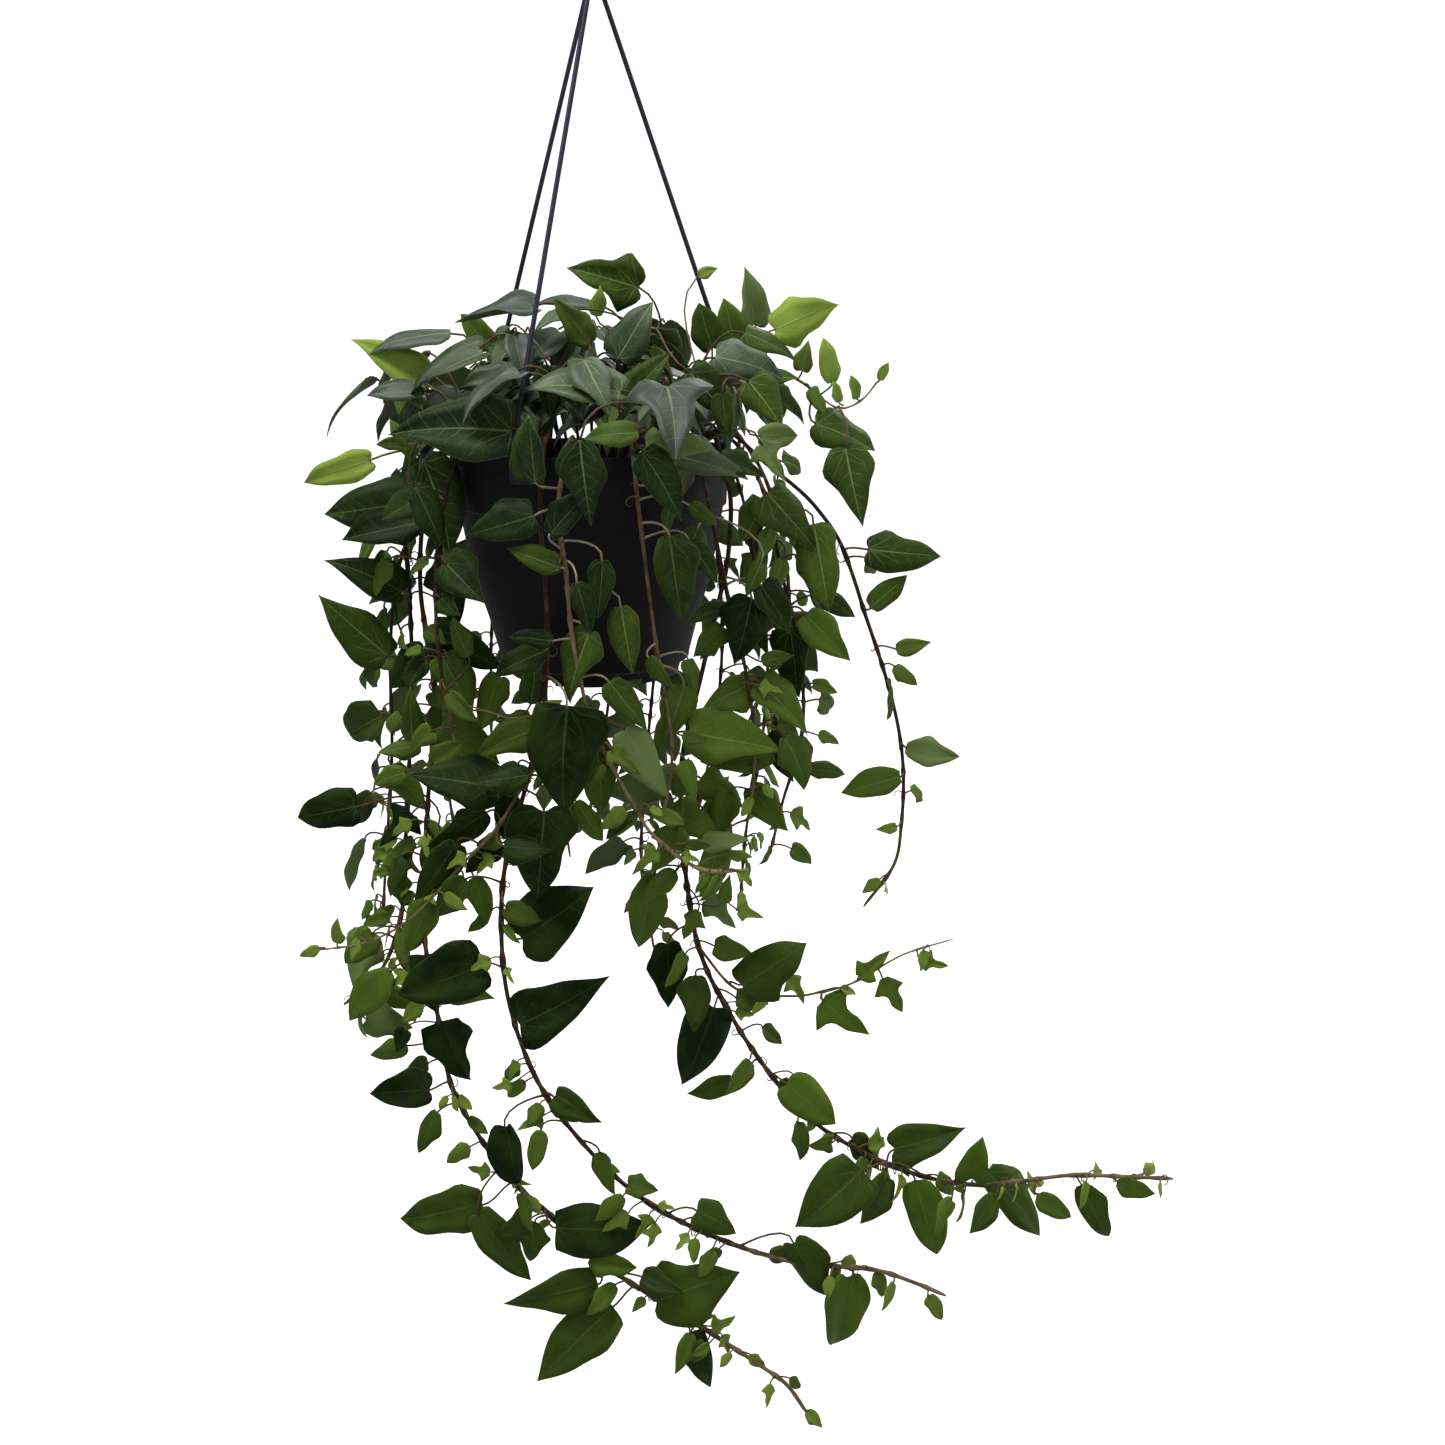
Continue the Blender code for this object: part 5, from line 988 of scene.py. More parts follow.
def point_on(route, share):
    """The place at a share of the way along a route."""
    lengths = [(after - before).length for before, after in zip(route, route[1:])]
    left = share * sum(lengths)
    for index, length in enumerate(lengths):
        if left <= length or index == len(lengths) - 1:
            return route[index].lerp(route[index + 1], min(1.0, left / length))
        left -= length


def square_to(along, normal):
    return (normal - along * normal.dot(along)).normalized()


def hanging_leaf(draw, point, side, size, attempt):
    """A leaf on an arched stalk whose blade hangs and faces outwards."""
    rule = HANGING_RULE
    facing = VIEWER * draw.uniform(*rule["to_viewer"]) * (1.0 if point.y < BACK_Y else BACK_TURN)
    out = (outward_at(point) * OUTWARD + facing).normalized()
    sideways = out.cross(UP) * side
    reach = size * draw.uniform(*rule["reach"]) * (1.0 + TRY_REACH * attempt)
    base = (point + sideways * reach * draw.uniform(*rule["aside"])
            + out * reach * draw.uniform(*rule["out"]) + UP * reach * draw.uniform(*rule["up"]))
    least, most = rule["turn"]
    turn = math.radians(draw.uniform(least, most + TRY_TURN * attempt))
    along = (-UP * math.cos(turn) + sideways * math.sin(turn)
             + out * draw.uniform(*rule["tip_out"])).normalized()
    normal = square_to(along, out + UP * draw.uniform(*rule["face_up"])
                       + sideways * draw.uniform(*rule["face_aside"]))
    return base, along, normal


def crown_leaf(draw, point, side, size, attempt):
    """A leaf that reaches out of the crown and tips over towards its edge."""
    rule = CROWN_RULE
    out = outward_at(point)
    distance = Vector((point.x - POT_X, point.y, 0.0)).length
    least, most = rule["swing"]
    swing = math.radians(draw.uniform(least, most + TRY_TURN * attempt))
    level = (out * math.cos(swing) + out.cross(UP) * side * math.sin(swing)).normalized()
    reach = size * draw.uniform(*rule["reach"])
    base = point + level * reach * CROWN_OUT + UP * reach * draw.uniform(*rule["up"])
    dip = draw.uniform(*rule["dip"]) + CROWN_DIP * min(MOST_DIP, distance / EDGE_REACH)
    dip = math.radians(dip)
    along = (level * math.cos(dip) - UP * math.sin(dip)).normalized()
    normal = square_to(along, UP + level * draw.uniform(*rule["face_out"])
                       + VIEWER * draw.uniform(*rule["to_viewer"]))
    return base, along, normal


def make_leaf(root, base, along, normal, length, form, lift):
    return dict(root=root, base=base, along=along, normal=normal, length=length, form=form,
                lift=lift)


def in_soil_or_pot(corners):
    foot, growth, beyond = POT_GUARD
    for corner in corners:
        radius = math.hypot(corner.x - POT_X, corner.y)
        if radius < RIM_INNER + beyond and BASE_Z < corner.z < SOIL_Z + SOIL_GUARD:
            if radius < foot + growth * (corner.z - BASE_Z) / POT_HEIGHT:
                return True
    return False


def is_clear(leaf, stem, taken):
    """True if the leaf keeps its distance from every solid but its own stem."""
    cage = leaf_cage(leaf, CLEARANCE)
    if in_soil_or_pot(cage[0]):
        return False
    tree, box = cage_tree(cage)
    for owner, other, other_box in taken:
        if owner != stem["name"] and boxes_meet(box, other_box) and tree.overlap(other):
            return False
    return True


def is_sound(leaf):
    """True if the stalk leaves its blade cleanly, so that the solid doesn't cross itself."""
    stalk = leaf["root"] - leaf["base"]
    if stalk.length > LONGEST_STALK or stalk.normalized().dot(leaf["along"]) > LEAST_TURN:
        return False
    corners, faces = leaf_cage(leaf)
    tree = BVHTree.FromPolygons(corners, faces)
    return all(set(faces[one]) & set(faces[two]) for one, two in tree.overlap(tree))


def crosses_sisters(leaf, stem):
    """True if the leaf runs through another leaf of its stem."""
    tree, box = cage_tree(leaf_cage(leaf, SISTER_GAP))
    for other in stem["leaves"]:
        other_tree, other_box = other["tree"]
        if boxes_meet(box, other_box) and tree.overlap(other_tree):
            return True
    return False


def fits(leaf, stem, taken):
    return is_sound(leaf) and not crosses_sisters(leaf, stem) and is_clear(leaf, stem, taken)


def keep(leaf, stem, taken):
    leaf["tree"] = cage_tree(leaf_cage(leaf))
    stem["leaves"].append(leaf)
    taken.append((stem["name"], *leaf["tree"]))


def best_root(stem, base, along, stiffness=STIFFNESS):
    """Cost and place of the shortest stalk from a stem to a blade that doesn't fold back."""
    def cost(place):
        stalk = place - base
        folding = max(0.0, stalk.dot(along) / stalk.length + FOLD_EASE)
        return stalk.length * (1.0 + stiffness * folding) + CLIMB_COST * max(0.0, -stalk.z)

    best = min(stem["places"], key=cost)
    return cost(best), best


def place_given(row, stem, taken, tries):
    """Try one given leaf at depths ever further from its own; True if it found a place."""
    base_x, base_z, tip_x, tip_z, depth, form, *lean = row
    lean = lean[0] if lean else LEAN
    draw = random.Random(f"{base_x} {tip_z}")
    least, kinds = GIVEN_STIFFNESS
    span = Vector((tip_x - base_x, 0.0, tip_z - base_z)).length
    for attempt in range(tries):
        shift = (-1.0) ** attempt * DEPTH_STEP * ((attempt + 1) // 2)
        base = Vector((base_x, depth + shift, base_z))
        tip = Vector((tip_x, depth + shift - TIP_FORWARD * span, tip_z))
        along = (tip - base).normalized()
        twist = draw.uniform(-BLADE_TWIST, BLADE_TWIST)
        normal = square_to(along, VIEWER + UP * (lean + LEAN_STEP * attempt)
                           + Vector((twist, 0.0, 0.0)))
        root = best_root(stem, base, along, least + attempt % kinds)[1]
        leaf = make_leaf(root, base, along, normal, span * GIVEN_SIZE, form, GIVEN_LIFT)
        if fits(leaf, stem, taken):
            keep(leaf, stem, taken)
            return True
    return False


def place_free(row, stems, taken):
    """Give one leaf to the stem with the best stalk for it, or to the next best."""
    base = Vector((row[0], row[4], row[1]))
    along = Vector((row[2] - row[0], 0.0, row[3] - row[1])).normalized()
    order = sorted(stems, key=lambda stem: best_root(stem, base, along)[0])
    for stem in order[:OWNERS]:
        if place_given(row, stem, taken, OTHER_TRIES):
            return


def place_hanging(stem, taken):
    draw = random.Random(stem["name"])
    place_along(stem["route"][1:], BARE_FOOT + stem["start"], False, stem, draw, taken)
    for route, radii in stem["shoots"]:
        place_along(route, BARE_SHOOT, True, stem, draw, taken)


def place_along(route, start, on_shoot, stem, draw, taken):
    """Leaves by turns on both sides of a route, smaller and younger towards its tip."""
    spacing = stem["spacing"] * (SHOOT_SPACING if on_shoot else 1.0)
    count = int(route_length(route) * (1.0 - start) / spacing)
    for index in range(count):
        share = start + (1.0 - start) * (index + draw.uniform(*STRETCH)) / count
        young = on_shoot or share > TIP_SHARE
        shrink = YOUNG_SIZE if young else FOOT_SIZE - SIZE_LOSS * share
        size = stem["size"] * draw.uniform(*SIZES) * shrink
        form = draw.choice(YOUNG_FORMS if young else OLD_FORMS)
        try_leaf(stem, taken, draw, hanging_leaf, point_on(route, min(share, LAST_SHARE)),
                 (-1) ** index, size, form)


def place_crown(stem, taken):
    draw = random.Random(stem["name"])
    for index in range(stem["count"]):
        share = CROWN_START + (1.0 - CROWN_START) * (index + CROWN_STEP) / stem["count"]
        size = stem["size"] * draw.uniform(*CROWN_SIZES)
        form = draw.choice(CROWN_FORMS)
        try_leaf(stem, taken, draw, crown_leaf,
                 point_on(stem["route"][1:], min(share, LAST_SHARE)), (-1) ** index, size, form)


def try_leaf(stem, taken, draw, rule, point, side, size, form):
    for attempt in range(RULED_TRIES):
        base, along, normal = rule(draw, point, side if attempt < SAME_SIDE else -side, size,
                                   attempt)
        leaf = make_leaf(point, base, along, normal, size * (1.0 - TRY_SHRINK * attempt), form,
                         draw.uniform(*LIFTS))
        if fits(leaf, stem, taken):
            keep(leaf, stem, taken)
            return


def lay_out_leaves(stems, fixed):
    """Give every stem its leaves, clear of the fixed pieces and of each other's stems."""
    taken = [("fixed", tree, box) for tree, box in fixed]
    for stem in stems:
        for route, radii in [(stem["route"], stem["radii"])] + stem["shoots"]:
            tree, box = cage_tree(stem_cage(route, radii))
            taken.append((stem["name"], tree, box))
    for stem in stems:
        for row in PLACED.get(stem["name"], ()):
            place_given(row, stem, taken, OWN_TRIES)
    for row in GIVEN:
        place_free(row, stems, taken)
    for stem in stems:
        if stem["kind"] == "hanging":
            place_hanging(stem, taken)
        elif stem["kind"] == "crown":
            place_crown(stem, taken)
    return taken


def fixed_tree(item):
    corners = [item.matrix_world @ vertex.co / MM for vertex in item.data.vertices]
    faces = [tuple(face.vertices) for face in item.data.polygons]
    return BVHTree.FromPolygons(corners, faces), box_of(corners)


# Leaves that only the scene has

def fill_gaps(stems, taken):
    """Smaller leaves by rule between the main ones, mostly at the back and sides."""
    for stem in stems:
        draw = random.Random(stem["name"] + " more")
        line = stem["route"][1:]
        if stem["kind"] == "hanging" and stem["name"] != BARE_VINE:
            every = MORE_EVERY if stem["route"][3].y < BEHIND_Y else MORE_EVERY_BEHIND
            count = int(route_length(stem["route"]) / every)
            for index in range(count):
                share = MORE_FROM + MORE_SPAN * (index + draw.uniform(*STRETCH)) / count
                size = draw.uniform(*MORE_SIZES) * (MORE_LARGE - MORE_LOSS * share)
                place = point_on(line, share)
                form = draw.choice(MORE_FORMS)
                if not before_pot(place):
                    try_leaf(stem, taken, draw, hanging_leaf, place, (-1) ** index, size, form)
        elif stem["kind"] == "crown":
            for index in range(MORE_ON_CROWN):
                share = CROWN_FROM + CROWN_SPAN * draw.random()
                size = draw.uniform(*MORE_SIZES) * MORE_LARGE
                try_leaf(stem, taken, draw, crown_leaf, point_on(line, share), (-1) ** index,
                         size, draw.choice(MORE_CROWN_FORMS))


def add_tufts(stems, taken):
    """Small pointed leaves in tufts along the lower parts of the vines."""
    for stem in stems:
        draw = random.Random(stem["name"] + " tufts")
        if stem["kind"] != "hanging" or stem["name"] == BARE_VINE:
            continue
        route = stem["route"][1:]
        length = route_length(route)
        count = int(length / TUFT_EVERY)
        for step in range(count):
            share = (step + draw.uniform(*TUFT_STRETCH)) / count
            if point_on(route, share).z > TUFT_BELOW or draw.random() > TUFT_ODDS:
                continue
            for index in range(draw.choice(TUFT_COUNTS)):
                place = point_on(route, min(LAST_SHARE, share + index * TUFT_STEP / length))
                try_leaf(stem, taken, draw, hanging_leaf, place, (-1) ** index,
                         draw.uniform(*TUFT_SIZES), draw.choice(TUFT_FORMS))


def before_pot(place):
    """True before the pot's open front, where no further leaves hang and the stalks are pale."""
    return (place.y < POT_FRONT_Y and POT_FRONT_Z[0] < place.z < POT_FRONT_Z[1]
            and POT_FRONT_X[0] < place.x < POT_FRONT_X[1])


# Modelling helpers

def open_up():
    """Into edit mode, with all of the mesh selected."""
    bpy.ops.object.mode_set(mode="EDIT")
    bpy.ops.mesh.select_all(action="SELECT")


def close_up():
    bpy.ops.object.mode_set(mode="OBJECT")


def let_go():
    """Nothing stays selected, so that an operator acts on the new piece alone."""
    if bpy.context.object and bpy.context.object.mode != "OBJECT":
        close_up()
    for item in bpy.context.selected_objects:
        item.select_set(False)


def hold(item):
    let_go()
    bpy.context.view_layer.objects.active = item
    item.select_set(True)


def added(adder, name, **shape):
    let_go()
    adder(**shape)
    item = bpy.context.object
    item.name = name
    item.data.name = name
    return item


def select_where(item, wanted, kind="VERT"):
    """In edit mode, select the vertices, edges or faces for which wanted(it) is true."""
    bpy.ops.mesh.select_mode(type=kind)
    bpy.ops.mesh.select_all(action="DESELECT")
    work = bmesh.from_edit_mesh(item.data)
    parts = dict(VERT=work.verts, EDGE=work.edges, FACE=work.faces)[kind]
    for part in parts:
        part.select_set(bool(wanted(part)))
    work.select_flush_mode()
    bmesh.update_edit_mesh(item.data)


def finish_with(item, kind, **settings):
    hold(item)
    modifier = item.modifiers.new(kind.title(), kind)
    for key, value in settings.items():
        setattr(modifier, key, value)
    bpy.ops.object.modifier_apply(modifier=modifier.name)


def settle(item):
    """Places and turns go into the mesh."""
    hold(item)
    bpy.ops.object.transform_apply(location=True, rotation=True, scale=True)


def face_out(item):
    """Close the seams and turn every face outwards."""
    hold(item)
    open_up()
    bpy.ops.mesh.remove_doubles(threshold=WELD)
    bpy.ops.mesh.normals_make_consistent(inside=False)
    close_up()


def move_corner(item, index, step):
    """In edit mode, move one vertex by a step."""
    select_where(item, lambda vertex: vertex.index == index)
    bpy.ops.transform.translate(value=step)


def joined(items, name):
    let_go()
    for item in items:
        item.select_set(True)
    bpy.context.view_layer.objects.active = items[0]
    bpy.ops.object.join()
    items[0].name = name
    items[0].data.name = name
    return items[0]


def smooth(item, angle=None):
    hold(item)
    if angle is None:
        bpy.ops.object.shade_smooth()
    else:
        bpy.ops.object.shade_smooth_by_angle(angle=math.radians(angle))


def dress(item, *finishes):
    item.data.materials.clear()
    for finish in finishes:
        item.data.materials.append(finish)


def stand_for(item, slot, *nodes):
    """The piece rides on the body and takes the place of solid nodes; the slot is not used."""
    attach(item, "root")
    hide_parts(*nodes)


def drawn_up(name, profile, sides, centre):
    """A ring drawn from height to height, as (radius, height) in mm, closed at both ends."""
    centre = Vector(centre) * MM
    radius, height = profile[0]
    item = added(bpy.ops.mesh.primitive_circle_add, name, vertices=sides, radius=radius * MM,
                 fill_type="NGON", location=centre + UP * height * MM)
    settle(item)
    open_up()
    for before, (wide, high) in zip(profile, profile[1:]):
        bpy.ops.mesh.extrude_region_move(
            TRANSFORM_OT_translate=dict(value=(0.0, 0.0, (high - before[1]) * MM)))
        share = wide / before[0]
        bpy.ops.transform.resize(value=(share, share, 1.0),
                                 center_override=(centre.x, centre.y, centre.z + high * MM))
    close_up()
    return item


def cane(name, routes, roundness):
    """Round bars along routes of (point, radius) in millimetres, turned into one mesh."""
    item = added(bpy.ops.curve.primitive_nurbs_path_add, name)
    curve = item.data
    curve.splines.clear()
    curve.dimensions = "3D"
    curve.bevel_depth = MM
    curve.bevel_resolution = roundness
    curve.use_fill_caps = True
    for route in routes:
        spline = curve.splines.new("POLY")
        spline.points.add(len(route) - 1)
        for point, (place, radius) in zip(spline.points, route):
            point.co = (*(Vector(place) * MM), 1.0)
            point.radius = radius
    item.location = (0.0, 0.0, 0.0)
    bpy.ops.object.convert(target="MESH")
    return bpy.context.object


# Finishes

def blank_finish(name):
    finish = bpy.data.materials.new(name)
    finish.use_nodes = True
    tree = finish.node_tree
    return finish, tree, tree.nodes["Principled BSDF"]


def node(tree, kind, inputs=None, **settings):
    made = tree.nodes.new("ShaderNode" + kind)
    for key, value in settings.items():
        setattr(made, key, value)
    for key, value in (inputs or {}).items():
        plug(tree, value, made.inputs[key])
    return made


def plug(tree, value, socket):
    if isinstance(value, bpy.types.NodeSocket):
        tree.links.new(value, socket)
    else:
        socket.default_value = value


def reckon(tree, operation, *values, clamp=False):
    return node(tree, "Math", dict(enumerate(values)), operation=operation,
                use_clamp=clamp).outputs[0]


def plus(tree, one, two):
    return reckon(tree, "ADD", one, two)


def times(tree, one, two):
    return reckon(tree, "MULTIPLY", one, two)


def between(tree, value, low, high, start=0.0, end=1.0):
    """A soft step: start below low, end above high."""
    return node(tree, "MapRange", {"Value": value, "From Min": low, "From Max": high,
                                   "To Min": start, "To Max": end},
                interpolation_type="SMOOTHSTEP").outputs[0]


def mixed(tree, share, one, two):
    made = node(tree, "Mix", data_type="RGBA")
    plug(tree, share, made.inputs[0])
    plug(tree, colour_of(one), made.inputs[6])
    plug(tree, colour_of(two), made.inputs[7])
    return made.outputs[2]


def colour_of(value):
    return value if isinstance(value, bpy.types.NodeSocket) else (*value, 1.0)


def speckle(tree, scale, detail, rough, place=None):
    """Noise over the object's own coordinates, or over the given place."""
    if place is None:
        place = node(tree, "TexCoord").outputs["Object"]
    return node(tree, "TexNoise", {"Vector": place, "Scale": scale, "Detail": detail,
                                   "Roughness": rough}).outputs[0]


def relief(tree, height, strength, distance):
    return node(tree, "Bump", {"Strength": strength, "Distance": distance,
                               "Height": height}).outputs[0]


def wear(tree, shader, **looks):
    """Set the shader's sockets, named with low lines for blanks."""
    for key, value in looks.items():
        plug(tree, value, shader.inputs[key.replace("_", " ")])


def leaf_parts(tree):
    """Tone, youth with painted glow, painted crown sheen and upper side of a leaf, as its tag gives
    them.
    """
    tag = node(tree, "Attribute", attribute_name="leaf", attribute_type="GEOMETRY")
    parts = node(tree, "SeparateColor", {0: tag.outputs["Color"]})
    return *parts.outputs[:3], tag.outputs["Alpha"]


def crisp_line(tree, distance, width):
    """A mask that is full near distance nought and ends at the given width."""
    share = reckon(tree, "SUBTRACT", 1.0, reckon(tree, "DIVIDE", distance, width))
    return reckon(tree, "MULTIPLY", share, VEIN_CRISP, clamp=True)


def off_midrib(tree, chart):
    """Distance from the midrib's line, and height over the blade's base."""
    parts = node(tree, "SeparateXYZ", {0: chart})
    across = reckon(tree, "ABSOLUTE", reckon(tree, "SUBTRACT", parts.outputs[0], MAP_BASE[0]))
    return across, reckon(tree, "SUBTRACT", parts.outputs[1], MAP_BASE[1])


def leaf_veins(tree, chart, tone):
    """Masks over the blade: the midrib with the veins that fan from its base, and side veins."""
    own = reckon(tree, "FRACT", times(tree, tone, VEIN_OWN))
    shift = node(tree, "CombineXYZ", {0: times(tree, tone, VEIN_SHIFT_X),
                                      1: times(tree, own, VEIN_SHIFT_Y)}).outputs[0]
    place = node(tree, "VectorMath", {0: chart, 1: shift}, operation="ADD").outputs[0]
    waves = node(tree, "TexNoise", {"Vector": place, "Scale": VEIN_WAVES, "Detail": 1.0})
    bend = node(tree, "VectorMath", {0: waves.outputs[1], 1: NOISE_MIDDLE}, operation="SUBTRACT")
    bent = node(tree, "VectorMath", {0: bend.outputs[0], 1: VEIN_SWAY, 2: chart},
                operation="MULTIPLY_ADD").outputs[0]
    straight = off_midrib(tree, chart)[0]
    across, up = off_midrib(tree, bent)
    reach = reckon(tree, "SQRT", plus(tree, times(tree, across, across), times(tree, up, up)))
    turn = plus(tree, reckon(tree, "ARCTAN2", across, up), times(tree, reach, VEIN_CURVE))
    fan_step = between(tree, own, 0.0, 1.0, *VEIN_FANS)
    off = times(tree, reach, reckon(tree, "PINGPONG", turn, fan_step))
    fan = crisp_line(tree, off, between(tree, reach, *VEIN_WIDTHS))
    fan = times(tree, fan, between(tree, reach, *VEIN_FADE))
    midrib = crisp_line(tree, straight, between(tree, up, *MIDRIB_WIDTHS))
    slanted = reckon(tree, "SUBTRACT", up, times(tree, across, SIDE_VEIN_SLANT))
    side_step = between(tree, own, 0.0, 1.0, *SIDE_VEIN_STEPS)
    side = crisp_line(tree, reckon(tree, "PINGPONG", slanted, side_step), SIDE_VEIN_WIDTH)
    side = times(tree, side, between(tree, across, *SIDE_VEIN_FADE))
    return reckon(tree, "MAXIMUM", fan, midrib), side


def foliage_finish(name, dark, light, young, sheen, gloss_level, rough):
    """Leaf tissue, with a net, veins and a margin that are paler, a paler underside, and painted
    light: the crown's sheen colour and the glow of leaves lit from behind.
    """
    finish, tree, shader = blank_finish(name)
    tone, age, crown, top = leaf_parts(tree)
    margin = node(tree, "Attribute", attribute_name="margin").outputs["Fac"]
    vein_tone = node(tree, "Attribute", attribute_name="veins").outputs["Fac"]
    chart = node(tree, "UVMap", uv_map="blade").outputs[0]
    main, side = leaf_veins(tree, chart, tone)
    patch = speckle(tree, *LEAF_PATCHES)
    fine = speckle(tree, *LEAF_GRAIN)
    cells = node(tree, "TexVoronoi", {"Vector": chart, "Scale": NET_SCALE},
                 feature="DISTANCE_TO_EDGE").outputs[0]

    tone = reckon(tree, "ADD", tone, between(tree, patch, *LEAF_PATCH_TONES), clamp=True)
    colour = mixed(tree, tone, dark, light)
    # youth also carries the painted glow of leaves lit from behind
    colour = mixed(tree, age, colour, young)
    # painted sheen: the crown's leaves take the grey-green of a reflection of the sky
    colour = mixed(tree, times(tree, crown, CROWN_TINT), colour, sheen)
    faint = times(tree, side, times(tree, vein_tone, SIDE_VEIN_SHARE))
    colour = mixed(tree, faint, colour, VEIN_PALE)
    net = between(tree, cells, *NET_LINES)
    colour = mixed(tree, times(tree, net, vein_tone), colour, VEIN_PALE)
    colour = mixed(tree, times(tree, main, vein_tone), colour, VEIN_PALE)
    colour = mixed(tree, between(tree, margin, *RIM_LINE), colour, RIM_PALE)
    under = mixed(tree, UNDER_SHARE, colour, UNDER_PALE)
    colour = mixed(tree, top, under, colour)

    gloss = plus(tree, between(tree, patch, *LEAF_PATCH_ROUGH, rough, rough + LEAF_ROUGHER),
                 times(tree, fine, LEAF_GRAIN_ROUGH))
    gloss = plus(tree, gloss, between(tree, top, *UNDER_ROUGH))
    of_main, of_side, of_grain = LEAF_RELIEF
    low = plus(tree, times(tree, side, of_side), times(tree, fine, of_grain))
    low = plus(tree, times(tree, main, of_main), low)
    wear(tree, shader, Base_Color=colour, Roughness=gloss, Normal=relief(tree, low, *LEAF_BUMP),
         Specular_IOR_Level=gloss_level, **LEAF_DEPTH)
    return finish


def stalk_finish(name, old, fresh, bump):
    """Stalk or bark, fresher by its tag's youth and pale where the tag says so, with dots."""
    finish, tree, shader = blank_finish(name)
    tone, age, pale, top = leaf_parts(tree)
    patch = speckle(tree, *STALK_PATCHES)
    fine = speckle(tree, *STALK_GRAIN)
    age = reckon(tree, "ADD", age, between(tree, patch, *STALK_PATCH_AGES), clamp=True)
    colour = mixed(tree, age, old, fresh)
    colour = mixed(tree, times(tree, pale, STALK_PALE_SHARE), colour, STALK_PALE)
    colour = mixed(tree, between(tree, fine, *STALK_DOTS), colour, LENTICEL)
    wear(tree, shader, Base_Color=colour, Roughness=between(tree, fine, *STALK_ROUGH),
         Normal=relief(tree, plus(tree, fine, patch), *bump), Specular_IOR_Level=STALK_SPECULAR)
    return finish


def plastic_finish(name, colour, worn, rough):
    """Moulded plastic with a faint grain, dust and rubbed places."""
    finish, tree, shader = blank_finish(name)
    grain = speckle(tree, *PLASTIC_GRAIN)
    cloud = speckle(tree, *DUST_CLOUDS)
    place = node(tree, "TexCoord").outputs["Object"]
    stretched = node(tree, "Mapping", {"Vector": place, "Scale": SCUFF_STRETCH}).outputs[0]
    scuff = speckle(tree, *SCUFFS, stretched)
    shade = mixed(tree, between(tree, cloud, *DUST), colour, worn)
    shade = mixed(tree, between(tree, scuff, *SCUFF_LINES), shade, worn)
    gloss = between(tree, cloud, *PLASTIC_PATCH_ROUGH, rough, rough + PLASTIC_ROUGHER)
    gloss = plus(tree, gloss, times(tree, grain, PLASTIC_GRAIN_ROUGH))
    wear(tree, shader, Base_Color=shade, Roughness=gloss,
         Normal=relief(tree, grain, *PLASTIC_BUMP), Specular_IOR_Level=PLASTIC_SPECULAR)
    return finish


def peat_finish():
    """Dark peat with lighter clods and white flecks."""
    finish, tree, shader = blank_finish("peat")
    clods = speckle(tree, *PEAT_CLODS)
    fleck = speckle(tree, *PEAT_FLECKS)
    colour = mixed(tree, between(tree, clods, *PEAT_LIGHTS), PEAT_DARK, PEAT_LIGHT)
    colour = mixed(tree, between(tree, fleck, *PERLITE_DOTS), colour, PERLITE)
    wear(tree, shader, Base_Color=colour, Roughness=between(tree, clods, *PEAT_ROUGH),
         Normal=relief(tree, clods, *PEAT_BUMP))
    return finish


def floor_finish():
    """A plain pale floor, which the camera sees white."""
    finish, tree, shader = blank_finish("studio_floor")
    cloud = speckle(tree, *FLOOR_CLOUDS)
    seen = node(tree, "LightPath").outputs["Is Camera Ray"]
    wear(tree, shader, Base_Color=mixed(tree, cloud, FLOOR_WHITE, FLOOR_SHADE),
         Roughness=FLOOR_ROUGH, Specular_IOR_Level=FLOOR_SPECULAR, Emission_Color=WHITE,
         Emission_Strength=times(tree, seen, FLOOR_GLOW))
    return finish


# The blade and its stalk, modelled once for each form

def closer_ribs(ribs):
    """The ribs with further ones between those that lie far apart, on one smooth outline."""
    marks = [np.array(rib) for rib in ribs]
    marks = [2.0 * marks[0] - marks[1]] + marks + [2.0 * marks[-1] - marks[-2]]
    made = []
    for before, here, there, after in zip(marks, marks[1:], marks[2:], marks[3:]):
        made.append(tuple(float(value) for value in here))
        if there[0] - here[0] > WIDEST_RIB_GAP:
            middle = (9.0 * (here + there) - before - after) / 16.0
            made.append(tuple(float(value) for value in middle))
    return made + [ribs[-1]]


def cut_blade(form):
    """One blade of unit length, its base at the origin and its tip at y 1, closed all round."""
    ribs = closer_ribs(RIBS[form])
    item = added(bpy.ops.mesh.primitive_grid_add, "blade_" + form, x_subdivisions=2,
                 y_subdivisions=len(ribs) - 1, size=2.0, calc_uvs=False)
    open_up()
    work = bmesh.from_edit_mesh(item.data)
    corners = [(vertex.index, vertex.co.copy()) for vertex in work.verts]
    for index, place in corners:
        column = round(place.x + 1.0)
        row = round((place.y + 1.0) / 2.0 * (len(ribs) - 1))
        on_midrib, share, side = ribs[row]
        half = side * WIDTHS[form] / 2.0
        goal = Vector((half * column / 2.0, on_midrib + (share - on_midrib) * RIB_BOW[column], 0.0))
        move_corner(item, index, goal - place)
    bpy.ops.mesh.select_all(action="SELECT")
    bpy.ops.mesh.remove_doubles(threshold=PATTERN_WELD)
    close_up()
    finish_with(item, "MIRROR", use_axis=(True, False, False), merge_threshold=PATTERN_WELD)
    face_up(item)
    finish_with(item, "SOLIDIFY", thickness=2.0 * HALF_BLADE, offset=0.0)
    return item


def face_up(item):
    hold(item)
    open_up()
    bpy.ops.mesh.normals_make_consistent(inside=False)
    work = bmesh.from_edit_mesh(item.data)
    if sum(face.normal.z for face in work.faces) < 0.0:
        bpy.ops.mesh.flip_normals()
    close_up()


